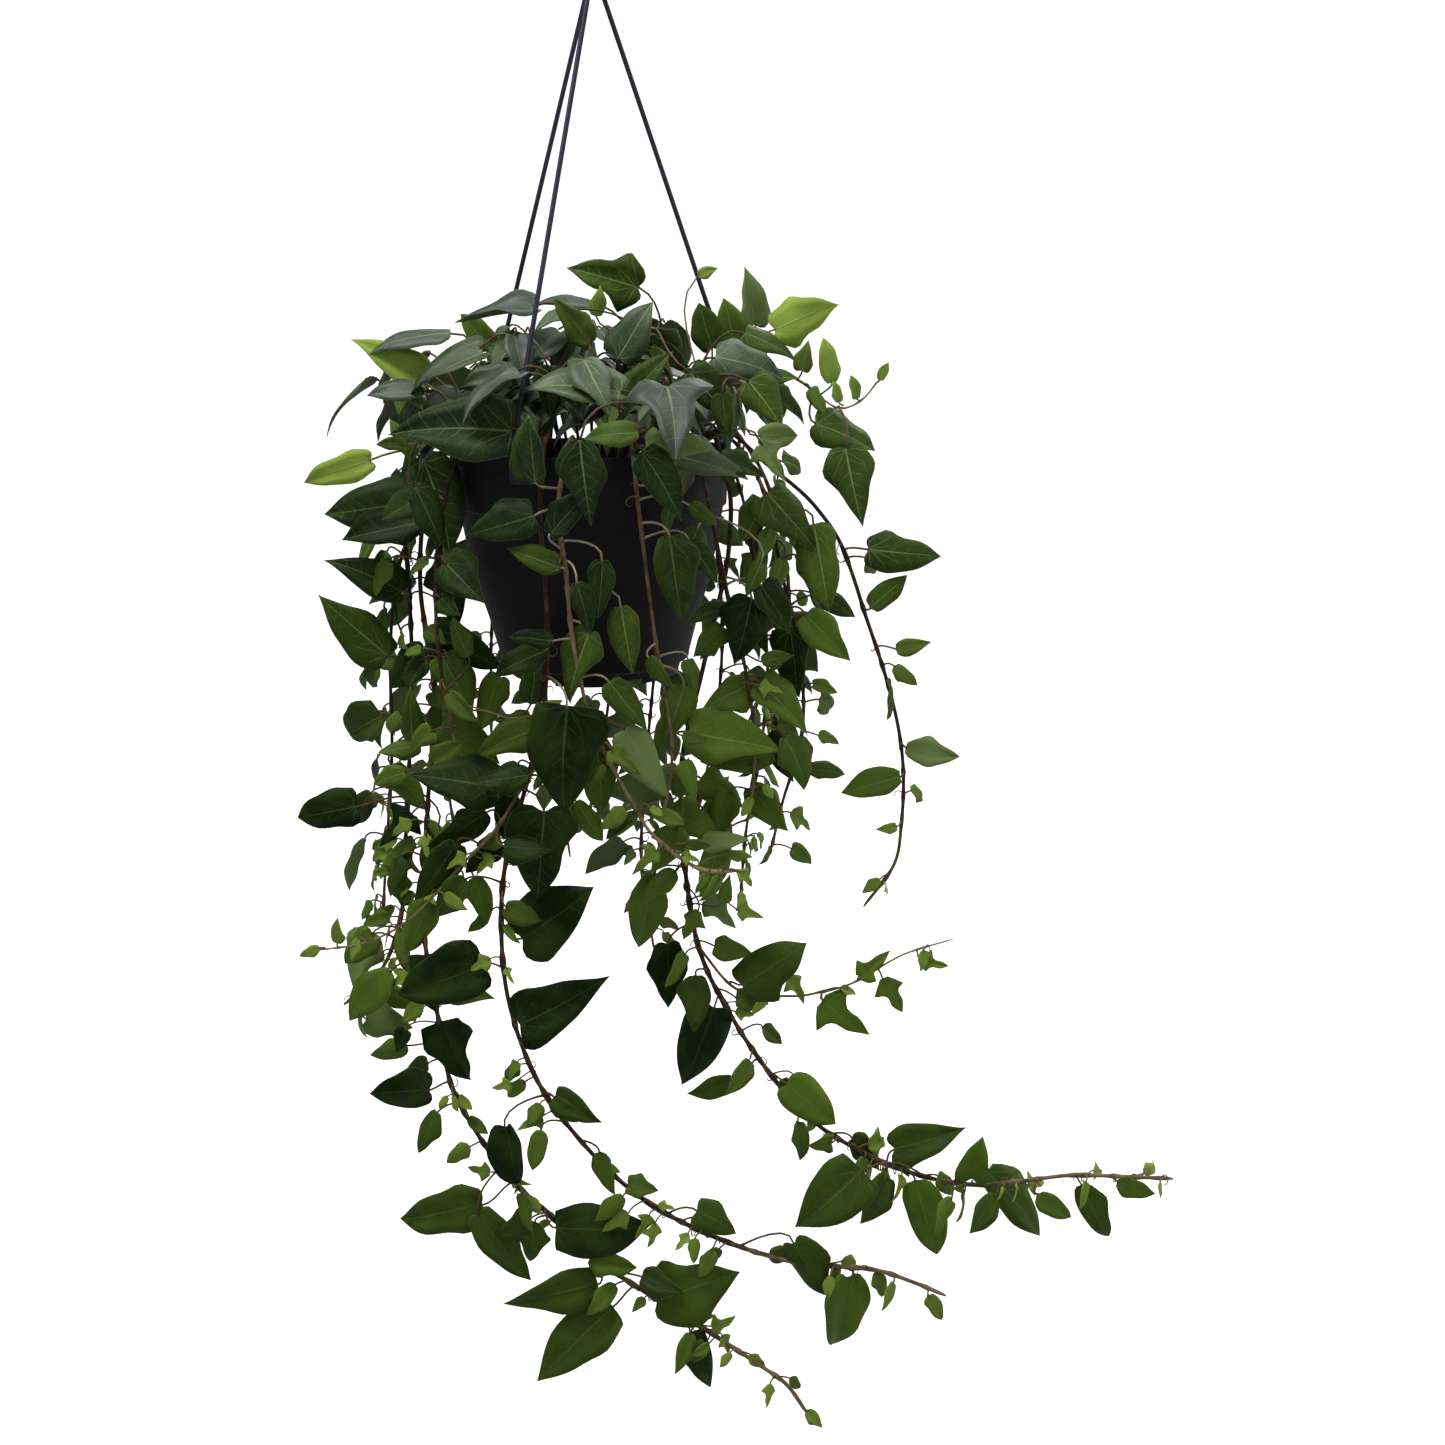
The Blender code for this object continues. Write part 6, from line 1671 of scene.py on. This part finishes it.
def draw_stalk():
    """A straight stalk of unit length behind the blade, from y -1 to y -2."""
    item = added(bpy.ops.mesh.primitive_cylinder_add, "stalk", vertices=STALK_SIDES,
                 radius=STALK_GAUGE, depth=1.0, rotation=(math.radians(90.0), 0.0, 0.0),
                 location=(0.0, -1.5, 0.0))
    settle(item)
    open_up()
    select_where(item, lambda edge: abs(edge.verts[0].co.y - edge.verts[1].co.y) > 0.5, "EDGE")
    bpy.ops.mesh.subdivide(number_cuts=STALK_CUTS)
    close_up()
    return item


def leaf_pattern(form):
    """Blade and stalk in one piece, with the blade's own map for its veins."""
    blade = cut_blade(form)
    stalk = draw_stalk()
    blade.data.materials.append(FINISHES["foliage"])
    stalk.data.materials.append(FINISHES["stalk"])
    item = joined([blade, stalk], "leaf_" + form)
    smooth(item)
    mesh = item.data
    while mesh.uv_layers:
        mesh.uv_layers.remove(mesh.uv_layers[0])
    places = read_places(mesh)
    chart = mesh.uv_layers.new(name="blade")
    corner = np.empty(len(mesh.loops), dtype=np.int32)
    mesh.loops.foreach_get("vertex_index", corner)
    flat = places[corner, :2] + MAP_BASE
    chart.data.foreach_set("uv", flat.astype(np.float32).ravel())
    mesh.attributes.new("leaf", "FLOAT_COLOR", "POINT")
    mesh.attributes.new("veins", "FLOAT", "POINT")
    margin = mesh.attributes.new("margin", "FLOAT", "POINT")
    margin.data.foreach_set("value", margin_of(places, form).astype(np.float32))
    item.hide_render = True
    return item, places


def read_places(mesh):
    places = np.empty(len(mesh.vertices) * 3, dtype=np.float32)
    mesh.vertices.foreach_get("co", places)
    return places.reshape(-1, 3).astype(np.float64)


def margin_of(places, form):
    """How near each corner lies to the blade's outline: 0 on the midrib, 1 on the margin."""
    across, along = np.abs(places[:, 0]), places[:, 1]
    near = np.where(across < PATTERN_WELD, 0.0, 0.5)
    for rib in closer_ribs(RIBS[form]):
        share, side = rib[1:]
        on_edge = np.hypot(across - side * WIDTHS[form] / 2.0, along - share) < SAME_RING
        near = np.where(on_edge, 1.0, near)
    return np.where(along < BLADE_REAR, 0.0, near)


def dressed_leaf(pattern, leaf, draw, tints):
    """A copy of the pattern, bent to its own place, with its own mesh."""
    source, places = pattern
    item = source.copy()
    item.data = source.data.copy()
    bpy.context.scene.collection.objects.link(item)
    item.hide_render = False
    blade = places[:, 1] > BLADE_REAR
    moved = np.empty_like(places)
    moved[blade] = bend_blade(places[blade], leaf, draw)
    moved[~blade] = bend_stalk(places[~blade], leaf, draw)
    item.data.vertices.foreach_set("co", (moved * MM).astype(np.float32).ravel())
    tags = np.empty((len(places), 4), dtype=np.float32)
    tag = leaf_tag(leaf, tints)
    tags[:, :3] = tag
    tags[~blade, 2] = 1.0 if before_pot(leaf["root"]) else 0.0
    if tag[2] > SATIN_FROM:
        item.data.materials[0] = FINISHES["crown"]
    tags[:, 3] = np.where(blade & (places[:, 2] > 0.0) & (tag[0] < PALE_TONE), 1.0, 0.0)
    item.data.attributes["leaf"].data.foreach_set("color", tags.ravel())
    high = clamped((leaf["base"].z - VEINS_FROM) / VEINS_RISE)
    plain = (VEIN_TONES[0] + (VEIN_TONES[1] - VEIN_TONES[0]) * high) * tints.uniform(*VEIN_ODDS)
    plain *= DARK_VEINS + (1.0 - DARK_VEINS) * min(1.0, DARK_VEINS_RISE * tag[0])
    item.data.attributes["veins"].data.foreach_set(
        "value", np.full(len(places), plain, dtype=np.float32))
    item.data.update()
    return item


def bend_blade(places, leaf, draw):
    """Arch, fold and ripple the flat blade, then set it in its place."""
    length, form, lift = leaf["length"], leaf["form"], leaf["lift"]
    along, normal = leaf["along"], leaf["normal"]
    across = normal.cross(along)
    x, share, face = places[:, 0], places[:, 1], places[:, 2] / HALF_BLADE
    share = np.where(share < 0.0, share * draw.uniform(*LOBES),
                     np.maximum(share, 0.0) ** draw.uniform(*SWELLING))
    tip_share = np.clip((share - BLUNT_FROM) / (1.0 - BLUNT_FROM), 0.0, 1.0)
    x = x * (1.0 - draw.uniform(*PINCH) * np.clip(1.0 - share, 0.0, PINCH_MOST) ** 3
             + draw.uniform(*BELLY) * np.sin(HALF_WAVE * np.clip(share, 0.0, 1.0))
             + draw.uniform(*BLUNT) * tip_share)
    if is_near(middle_of(leaf), SLIM_PLACES, BRIGHT_REACH):
        x = x * SLIM
    for half_sign in (-1.0, 1.0):
        corner, out = draw.uniform(*CORNER_AT), draw.uniform(*CORNER_OUT)
        wide = draw.uniform(*CORNER_LONG)
        waist = (share - corner - WAIST_STEP) / (WAIST_LONG * wide)
        swing = np.exp(-((share - corner) / wide) ** 2) - CORNER_IN * np.exp(-waist ** 2)
        x = np.where(x * half_sign > 0.0, x * (1.0 + out * swing), x)
    side = x / (WIDTHS[form] / 2.0)
    half = WIDTHS[form] / 2.0 * length
    arch = lift * length * (BLADE_ARCH * share * (1.0 - share) - TIP_DROOP * share ** 2
                            - EDGE_DROOP * side ** 2)
    fold = draw.uniform(*FOLD) * half * (np.abs(side) - 0.5)
    puff = draw.uniform(*PUFF) * half * np.abs(side) * (1.0 - np.abs(side)) * 4.0
    phase = draw.uniform(*PHASES) + np.where(side > 0.0, draw.uniform(*PHASES), 0.0)
    ripple = draw.uniform(*RIPPLE) * length * side ** 2 * np.sin(
        draw.uniform(*RIPPLES) * share + phase)
    twist = draw.uniform(-1.0, 1.0) * TWIST * share * x * length
    rolled = draw.uniform(*CURL) if draw.random() < CURL_ODDS else 0.0
    curl = rolled * half * np.maximum(0.0, side * draw.choice((-1.0, 1.0)) - CURL_FROM) ** 2
    tip = draw.uniform(*TIP_BEND) * length * np.maximum(0.0, share - TIP_BEND_FROM) ** 2
    height = (arch + fold + puff + ripple + twist + curl - tip
              - BLADE_THICK / 2.0 + face * BLADE_HALF_THICK)
    sway = draw.uniform(-1.0, 1.0) * SWAY * length * np.maximum(0.0, share) ** 2
    wander = draw.uniform(*UNEVEN) * np.sin(
        draw.uniform(*UNEVEN_WAVES) * share + UNEVEN_SHIFT * phase)
    x = x * (1.0 + draw.uniform(-1.0, 1.0) * LOPSIDED * np.sign(side) + wander * np.abs(side))
    return (np.array(leaf["base"])[None] + np.outer(share * length, along)
            + np.outer(x * length + sway, across) + np.outer(height, normal))


def bend_stalk(places, leaf, draw):
    """Lead the straight stalk from the blade's base to the stem on one curve."""
    base, root, along, normal = leaf["base"], leaf["root"], leaf["along"], leaf["normal"]
    span = (root - base).length
    aside = normal.cross(along) * draw.uniform(-1.0, 1.0) * STALK_ASIDE * span
    near = base - along * (STALK_LEAD * span) + UP * (STALK_RISE * span * 0.5) + aside
    away = (base - root).normalized()
    far = root + (away + UP * STALK_LIFT).normalized() * (STALK_LEAVE * span)
    start = base - normal * (BLADE_THICK * STALK_SUNK) + along * STALK_UNDER
    side_axis = normal.cross(along)
    moved = np.empty_like(places)
    share = np.clip(-places[:, 1] - 1.0, 0.0, 1.0)
    for value in np.unique(np.round(share, 4)):
        ring = np.abs(share - value) < SAME_RING
        s = float(value)
        point = ((1 - s) ** 3 * start + 3 * s * (1 - s) ** 2 * near + 3 * s * s * (1 - s) * far
                 + s ** 3 * root)
        heading = (3 * (1 - s) ** 2 * (near - start) + 6 * s * (1 - s) * (far - near)
                   + 3 * s * s * (root - far)).normalized()
        side_axis = (side_axis - heading * side_axis.dot(heading)).normalized()
        other = side_axis.cross(heading)
        flare = STALK_FLARE * max(0.0, s - STALK_FLARE_FROM) / STALK_FLARE_OVER
        gauge = STALK_THIN * (1.0 + flare) / STALK_GAUGE
        gauge *= min(1.0, STALK_YOUNG + leaf["length"] / STALK_GROWTH)
        moved[ring] = (np.array(point)[None] + np.outer(places[ring, 0] * gauge, side_axis)
                       + np.outer(places[ring, 2] * gauge, other))
    return moved


def middle_of(leaf):
    return leaf["base"] + leaf["along"] * leaf["length"] * BLADE_MIDDLE


def is_near(point, places, reach):
    """True for a leaf of the front whose middle lies near one of the places, as seen there."""
    return point.y < BACK_Y and any(math.hypot(point.x - x, point.z - z) < reach for x, z in places)


def leaf_tag(leaf, draw):
    """Tone, youth and crown sheen of one leaf, from where it grows and how it faces; the sheen and
    the glow of leaves lit from behind are painted light.
    """
    middle = middle_of(leaf)
    small = clamped((GROWN_LENGTH - leaf["length"]) / GROWTH)
    youth_and_glow = YOUTH[leaf["form"] not in ("young", "bird")] * small
    kind = draw.random()
    tone = draw.uniform(*TONES[sum(kind > share for share in TONE_SHARES)])
    # painted light from behind makes the leaves on the right lighter
    if middle.x > RIGHT_FROM[0] and middle.z > RIGHT_FROM[1]:
        tone = min(TONE_CAP, tone + RIGHT_TONE)
    if middle.z < LOW_FROM:
        tone = min(TONE_CAP, tone + (LOW_RIGHT_TONE if middle.x > LOW_RIGHT_X else -LOW_TONE))
    # painted sheen, by how far a leaf faces up and how high it hangs
    facing_up = clamped((leaf["normal"].z - SHEEN_LEAN) * SHEEN_GAIN)
    height = clamped((middle.z - SHEEN_FROM) / SHEEN_RISE)
    upright, flat = SHEEN_SHARES
    crown = height * (upright + flat * facing_up)
    crown *= 1.0 if middle.x < SHEEN_SIDE_X else SHEEN_ASIDE
    cool = clamped((middle.z - COOL_FROM) / COOL_RISE)
    if middle.x < COOL_SIDE:
        tone += cool * COOL_TONE
        crown = max(crown, cool * COOL)
    crown *= draw.uniform(*CROWN_VARIES)
    # painted glow: leaves that hang before the light are made younger, so lighter green
    to_front = leaf["normal"].y < BACKLIT_FACING and facing_up < BACKLIT_UPRIGHT
    before_light = middle.z > BACKLIT_ABOVE or middle.x > BACKLIT_RIGHT
    if to_front and before_light and middle.z > COOL_FROM:
        youth_and_glow = max(youth_and_glow, BACKLIT * draw.uniform(*BACKLIT_VARIES))
    # painted glow of the listed leaves lit from behind
    if is_near(middle, BRIGHT_PLACES, BRIGHT_REACH):
        youth_and_glow, crown = BACKLIT_GLOW, 0.0
    for shade, age, sheen, places in SHADES:
        if is_near(middle, places, SHADE_REACH):
            tone, youth_and_glow, crown = shade + draw.uniform(*SHADE_VARIES), age, sheen * cool
    return max(0.0, tone), youth_and_glow, crown


# Leafy stems

def tag_corners(item, tags):
    """Give the corners their tag, as a leaf has it, for the finish to read."""
    layer = item.data.attributes.new("leaf", "FLOAT_COLOR", "POINT")
    layer.data.foreach_set("color", tags.ravel())


def dressed_cane(stem):
    """The bare stem with a swelling at each joint, and its side shoots."""
    roots = [leaf["root"] for leaf in stem["leaves"]]
    slower = 1.0 if stem["kind"] == "hanging" else 0.0
    routes = []
    ages = []
    for coarse, radii in [(stem["route"], stem["radii"])] + stem["shoots"]:
        is_shoot = coarse is not stem["route"]
        young = SHOOT_YOUTH if is_shoot else YOUNG_STEMS.get(stem["name"], 0.0)
        route = smooth_route(coarse, STEM_FINE)
        total = len(route) - 1
        made = []
        for index, point in enumerate(route):
            share = index / total
            radius = radii[0] + (radii[-1] - radii[0]) * share
            gap = min(((point - root).length for root in roots), default=NO_JOINT)
            swell = 1.0 + JOINT_SWELL * math.exp(-(gap / JOINT_REACH) ** 2)
            if not is_shoot:
                radius *= CANE_GAUGE[0] + slower * (CANE_GAUGE[1] - CANE_GAUGE[0]) * share
            made.append((point, radius * swell * (CANE_TIP if index == total else 1.0)))
            ages.append(min(1.0, young + max(0.0, share - FRESH_FROM) * FRESH_RISE))
        routes.append(made)
    item = cane(stem["name"] + "_cane", routes, STEM_ROUNDNESS)
    middles = [point for route in routes for point, radius in route]
    nearest = kdtree.KDTree(len(middles))
    for index, point in enumerate(middles):
        nearest.insert(point * MM, index)
    nearest.balance()
    tags = np.zeros((len(item.data.vertices), 4), dtype=np.float32)
    tags[:, 1] = [ages[nearest.find(vertex.co)[1]] for vertex in item.data.vertices]
    tag_corners(item, tags)
    dress(item, FINISHES["bark"])
    smooth(item)
    return item


def joint_curls(stem):
    """Short curled shoots at the joints, without a leaf."""
    draw = random.Random(stem["name"] + " curls")
    routes = []
    for leaf in stem["leaves"]:
        root = leaf["root"]
        if root.z > RIM_Z or draw.random() > JOINT_CURL_ODDS:
            continue
        away = (leaf["base"] - root).normalized()
        away = Vector((-away.x, away.y - JOINT_CURL_FORWARD, draw.uniform(*JOINT_CURL_RISE)))
        away.normalize()
        over = UP * draw.choice((-1.0, 1.0)) + away.cross(UP) * draw.uniform(*JOINT_CURL_LEAN)
        over = square_to(away, over)
        size = draw.uniform(*JOINT_CURL_SIZES)
        turn = math.radians(draw.uniform(*JOINT_CURL_TURNS))
        made = []
        for step in range(JOINT_CURL_STEPS + 1):
            share = step / JOINT_CURL_STEPS
            reach = size * (1.0 - JOINT_CURL_CLOSING * share)
            point = (root + away * (size - reach * math.cos(turn * share))
                     + over * reach * math.sin(turn * share))
            made.append((point, JOINT_CURL_RADIUS - JOINT_CURL_TAPER * share))
        routes.append(made)
    if not routes:
        return []
    item = cane(stem["name"] + "_curls", routes, 0)
    tags = np.zeros((len(item.data.vertices), 4), dtype=np.float32)
    tags[:, 1] = JOINT_CURL_YOUTH
    tag_corners(item, tags)
    dress(item, FINISHES["stalk"])
    smooth(item)
    return [item]


def dress_stem(stem, patterns):
    draw, tints = random.Random(stem["name"] + " dress"), random.Random(stem["name"] + " tints")
    pieces = [dressed_cane(stem)] + joint_curls(stem)
    for leaf in stem["leaves"]:
        pieces.append(dressed_leaf(patterns[leaf["form"]], leaf, draw, tints))
    item = joined(pieces, "leafy_" + stem["name"].replace("stem_", ""))
    slot = "young_foliage" if stem["kind"] == "runner" else "foliage"
    stand_for(item, slot, stem["name"])


# Pot, soil and hanger

def dress_pot():
    item = drawn_up("nursery_pot", POT_SECTION, POT_SIDES, (POT_X, 0.0, BASE_Z))
    depth = SLOT_HEIGHT + SLOT_BELOW
    for turn in SLOT_TURNS:
        slot = added(bpy.ops.mesh.primitive_cube_add, "slot", size=1.0,
                     rotation=(0.0, 0.0, math.radians(turn)),
                     location=(POT_X * MM, 0.0, (BASE_Z + SLOT_HEIGHT - depth / 2) * MM))
        slot.scale = (SLOT_LENGTH * MM, SLOT_WIDTH * MM, depth * MM)
        finish_with(item, "BOOLEAN", operation="DIFFERENCE", object=slot, solver="EXACT")
        bpy.data.objects.remove(slot, do_unlink=True)
    finish_with(item, "BEVEL", width=POT_ROUNDING * MM, segments=ROUNDING_CUTS,
                limit_method="ANGLE", angle_limit=math.radians(POT_SHARP))
    smooth(item, SMOOTH_UNDER)
    dress(item, FINISHES["pot"])
    stand_for(item, "pot_plastic", "pot")


def select_above(item, height):
    """In edit mode, select the soil's faces above a height over the pot's base."""
    low = (BASE_Z + height) * MM
    select_where(item, lambda face: face.calc_center_median().z > low, "FACE")


def dress_soil():
    item = drawn_up("potting_soil", SOIL_SECTION, SOIL_SIDES, (POT_X, 0.0, BASE_Z))
    open_up()
    select_above(item, INSET_FROM)
    for step in range(SOIL_INSETS):
        bpy.ops.mesh.inset(thickness=SOIL_INSET, depth=0.0)
    bpy.ops.mesh.poke()
    close_up()
    finish_with(item, "TRIANGULATE")
    open_up()
    select_above(item, CUT_FROM)
    bpy.ops.mesh.subdivide(number_cuts=SOIL_CUTS)
    close_up()
    low = (BASE_Z + ROUGH_FROM) * MM
    for vertex in item.data.vertices:
        if vertex.co.z > low:
            for height, density in CLODS:
                vertex.co.z += height * noise.noise(vertex.co * density)
    item = joined([item] + crumbs(), "potting_soil")
    settle(item)
    dress(item, FINISHES["peat"])
    smooth(item, SOIL_SMOOTH_UNDER)
    stand_for(item, "peat", "soil")


def crumbs():
    """Small lumps of peat that lie on the soil."""
    made = []
    draw = random.Random("crumbs")
    for index in range(CRUMBS):
        radius, turn = CRUMB_REACH * math.sqrt(draw.random()), draw.uniform(*CRUMB_ROUND)
        size = draw.uniform(*CRUMB_SIZES)
        place = (POT_X + radius * math.cos(turn), radius * math.sin(turn),
                 SOIL_Z + size * CRUMB_LIFT)
        crumb = added(bpy.ops.mesh.primitive_ico_sphere_add, "crumb", subdivisions=1,
                      radius=size * MM, location=[value * MM for value in place],
                      rotation=(draw.uniform(*CRUMB_TILTS), draw.uniform(*CRUMB_TILTS), 0.0))
        crumb.scale = (1.0, draw.uniform(*CRUMB_DEPTHS), draw.uniform(*CRUMB_HEIGHTS))
        made.append(crumb)
    return made


def rounded(route, radius):
    """A route whose inner corners are rounded to the given reach."""
    made = [route[0]]
    for before, corner, after in zip(route, route[1:], route[2:]):
        back = min(radius, (before - corner).length * CORNER_SHARE)
        on = min(radius, (after - corner).length * CORNER_SHARE)
        start = corner + (before - corner).normalized() * back
        end = corner + (after - corner).normalized() * on
        for step in range(CORNER_STEPS + 1):
            t = step / CORNER_STEPS
            made.append(start * (1 - t) ** 2 + corner * 2 * t * (1 - t) + end * t * t)
    return made + [route[-1]]


def dress_hook():
    centre = HOOK_WIRE - HOOK_BEND
    arc = [Vector((HOOK_BEND * math.cos(math.radians(turn)), 0.0,
                   centre + HOOK_BEND * math.sin(math.radians(turn))))
           for turn in HOOK_ARC]
    route = arc + [Vector(point) for point in HOOK_NECK]
    route.append(Vector((0.0, 0.0, COLLAR_TOP - HOOK_IN_COLLAR)))
    route = smooth_route(route, HOOK_STEP)
    radii = [HOOK_WIRE] * len(route)
    radii[:len(HOOK_END)] = HOOK_END
    wire = cane("wire_hook", [list(zip(route, radii))], HOOK_ROUNDNESS)
    collar = drawn_up("collar", COLLAR_SECTION, COLLAR_SIDES, (0.0, 0.0, COLLAR_BOTTOM))
    item = joined([wire, collar], "wire_hook")
    face_out(item)
    smooth(item, SMOOTH_UNDER)
    dress(item, FINISHES["hanger"])
    stand_for(item, "hanger_plastic", "hanger_hook")


def clip_strip(azimuth, line, name):
    """A flat strip across the rim, extruded along a line of (distance, height over the rim)."""
    out = around_pot(azimuth, 1.0, 0.0) - around_pot(azimuth, 0.0, 0.0)
    item = added(bpy.ops.mesh.primitive_plane_add, name, size=1.0)
    open_up()
    start, second = [around_pot(azimuth, distance, RIM_Z + height) for distance, height in line[:2]]
    work = bmesh.from_edit_mesh(item.data)
    ends = sorted(work.verts, key=lambda vertex: (vertex.co.y, vertex.co.x))
    first = [vertex.index for vertex in ends[:2]]
    half = out.cross(UP) * CLIP_WIDTH / 2.0
    goals = [start - half, start + half, second - half, second + half]
    places = [(vertex.index, vertex.co.copy()) for vertex in ends]
    for (index, place), goal in zip(places, goals):
        move_corner(item, index, goal * MM - place)
    select_where(item, lambda edge: all(vertex.index not in first for vertex in edge.verts), "EDGE")
    for before, after in zip(line[1:], line[2:]):
        step = around_pot(azimuth, *after) - around_pot(azimuth, *before)
        bpy.ops.mesh.extrude_region_move(TRANSFORM_OT_translate=dict(value=step * MM))
    close_up()
    face_out(item)
    finish_with(item, "SOLIDIFY", thickness=CLIP_THICK * MM, offset=0.0)
    finish_with(item, "BEVEL", width=CLIP_ROUNDING * MM, segments=ROUNDING_CUTS,
                limit_method="ANGLE")
    return item


def dress_rod(name):
    azimuth, bends = RODS[name]
    seat = RIM_RADIUS + CLIP_GAP + CLIP_THICK / 2
    top = around_pot(azimuth, ROD_START, COLLAR_BOTTOM - ROD_PLAY) - Vector((POT_X, 0.0, 0.0))
    foot = around_pot(azimuth, seat, RIM_Z + CLIP_RISE - ROD_IN_CLIP)
    above = around_pot(azimuth, seat, RIM_Z + CLIP_RISE + ROD_BEND)
    route = rounded([top] + [Vector(bend) for bend in bends] + [above, foot], ROD_CORNERS)
    rod = cane(name, [[(point, ROD_WIRE) for point in route]], ROD_ROUNDNESS)
    inner = RIM_INNER - CLIP_INNER_GAP - CLIP_THICK / 2
    over = TOUCH + CLIP_THICK / 2
    slant, fall = CLIP_SLANT
    tongue = clip_strip(azimuth, ((seat, -CLIP_DROP), (seat, 0.0), (seat, CLIP_RISE)), "tongue")
    bridge = clip_strip(azimuth, ((seat, over), (inner + slant, over), (inner, over - fall),
                                  (inner, -CLIP_INNER_DROP)), "bridge")
    item = joined([rod, tongue, bridge], name.replace("hanger_rod", "hanger_strand"))
    smooth(item, SMOOTH_UNDER)
    dress(item, FINISHES["hanger"])
    stand_for(item, "hanger_plastic", name)


# Studio

def set_up(name, data, place, turn):
    made = bpy.data.objects.new(name, data)
    made.location = place
    made.rotation_euler = turn
    bpy.context.scene.collection.objects.link(made)
    return made


def build_studio(low):
    floor = added(bpy.ops.mesh.primitive_plane_add, "studio_floor", size=FLOOR_SIZE,
                  location=(0.0, 0.0, low - FLOOR_GAP))
    settle(floor)
    open_up()
    select_where(floor, lambda edge: all(vertex.co.y > FLOOR_REAR for vertex in edge.verts), "EDGE")
    for step in range(SWEEP_STEPS):
        turn = math.radians(90.0 * (step + 0.5) / SWEEP_STEPS)
        rise = (0.0, SWEEP_STEP * math.cos(turn), SWEEP_STEP * math.sin(turn))
        bpy.ops.mesh.extrude_region_move(TRANSFORM_OT_translate=dict(value=rise))
    bpy.ops.mesh.extrude_region_move(TRANSFORM_OT_translate=dict(value=(0.0, 0.0, WALL_HEIGHT)))
    close_up()
    smooth(floor)
    dress(floor, floor_finish())

    world = bpy.data.worlds.new("studio")
    bpy.context.scene.world = world
    world.use_nodes = True
    tree = world.node_tree
    height = node(tree, "SeparateXYZ", {0: node(tree, "TexCoord").outputs["Generated"]}).outputs[2]
    seen = node(tree, "LightPath").outputs["Is Camera Ray"]
    strength = node(tree, "Mix", {0: seen, 2: between(tree, height, *SKY), 3: BACKGROUND})
    ground = tree.nodes["Background"]
    ground.inputs["Color"].default_value = WHITE
    tree.links.new(strength.outputs[0], ground.inputs["Strength"])

    for name, place, aim, size, power in LIGHTS:
        data = bpy.data.lights.new(name, "AREA")
        data.shape = "RECTANGLE"
        data.size, data.size_y = size
        data.energy = power
        turn = (Vector(aim) - Vector(place)).to_track_quat("-Z", "Y").to_euler()
        set_up(name, data, place, turn)
    bpy.context.scene.view_settings.view_transform = "Standard"
    data = bpy.data.cameras.new("camera")
    data.sensor_width = SENSOR_WIDTH
    data.lens = SENSOR_WIDTH * FOCAL_PIXELS / FRAME_PIXELS
    bpy.context.scene.camera = set_up("camera", data, CAMERA_PLACE,
                                      (math.radians(CAMERA_TILT), 0.0, 0.0))


FINISHES = {
    "foliage": foliage_finish("hanging_foliage", *LEAF_COLOURS, *LEAF_GLOSS),
    "crown": foliage_finish("crown_foliage", *LEAF_COLOURS, *CROWN_GLOSS),
    "stalk": stalk_finish("leaf_stalk", STALK_OLD, STALK_FRESH, STALK_BUMP),
    "bark": stalk_finish("stem_bark", BARK_OLD, BARK_FRESH, BARK_BUMP),
    "pot": plastic_finish("pot_plastic", *POT_LOOK),
    "hanger": plastic_finish("hanger_plastic", *HANGER_LOOK),
    "peat": peat_finish(),
}

build_studio(CAD_BOX[0][2])
fixed = [fixed_tree(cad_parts[name]) for name in ("pot", "hanger_hook", *RODS)]
stems = plan_stems()
taken = lay_out_leaves(stems, fixed)
for row in FURTHER:
    place_free(row, stems, taken)
fill_gaps(stems, taken)
add_tufts(stems, taken)
patterns = {form: leaf_pattern(form) for form in RIBS}
dress_pot()
dress_soil()
dress_hook()
for rod in RODS:
    dress_rod(rod)
for stem in stems:
    dress_stem(stem, patterns)
for source, places in patterns.values():
    bpy.data.objects.remove(source, do_unlink=True)
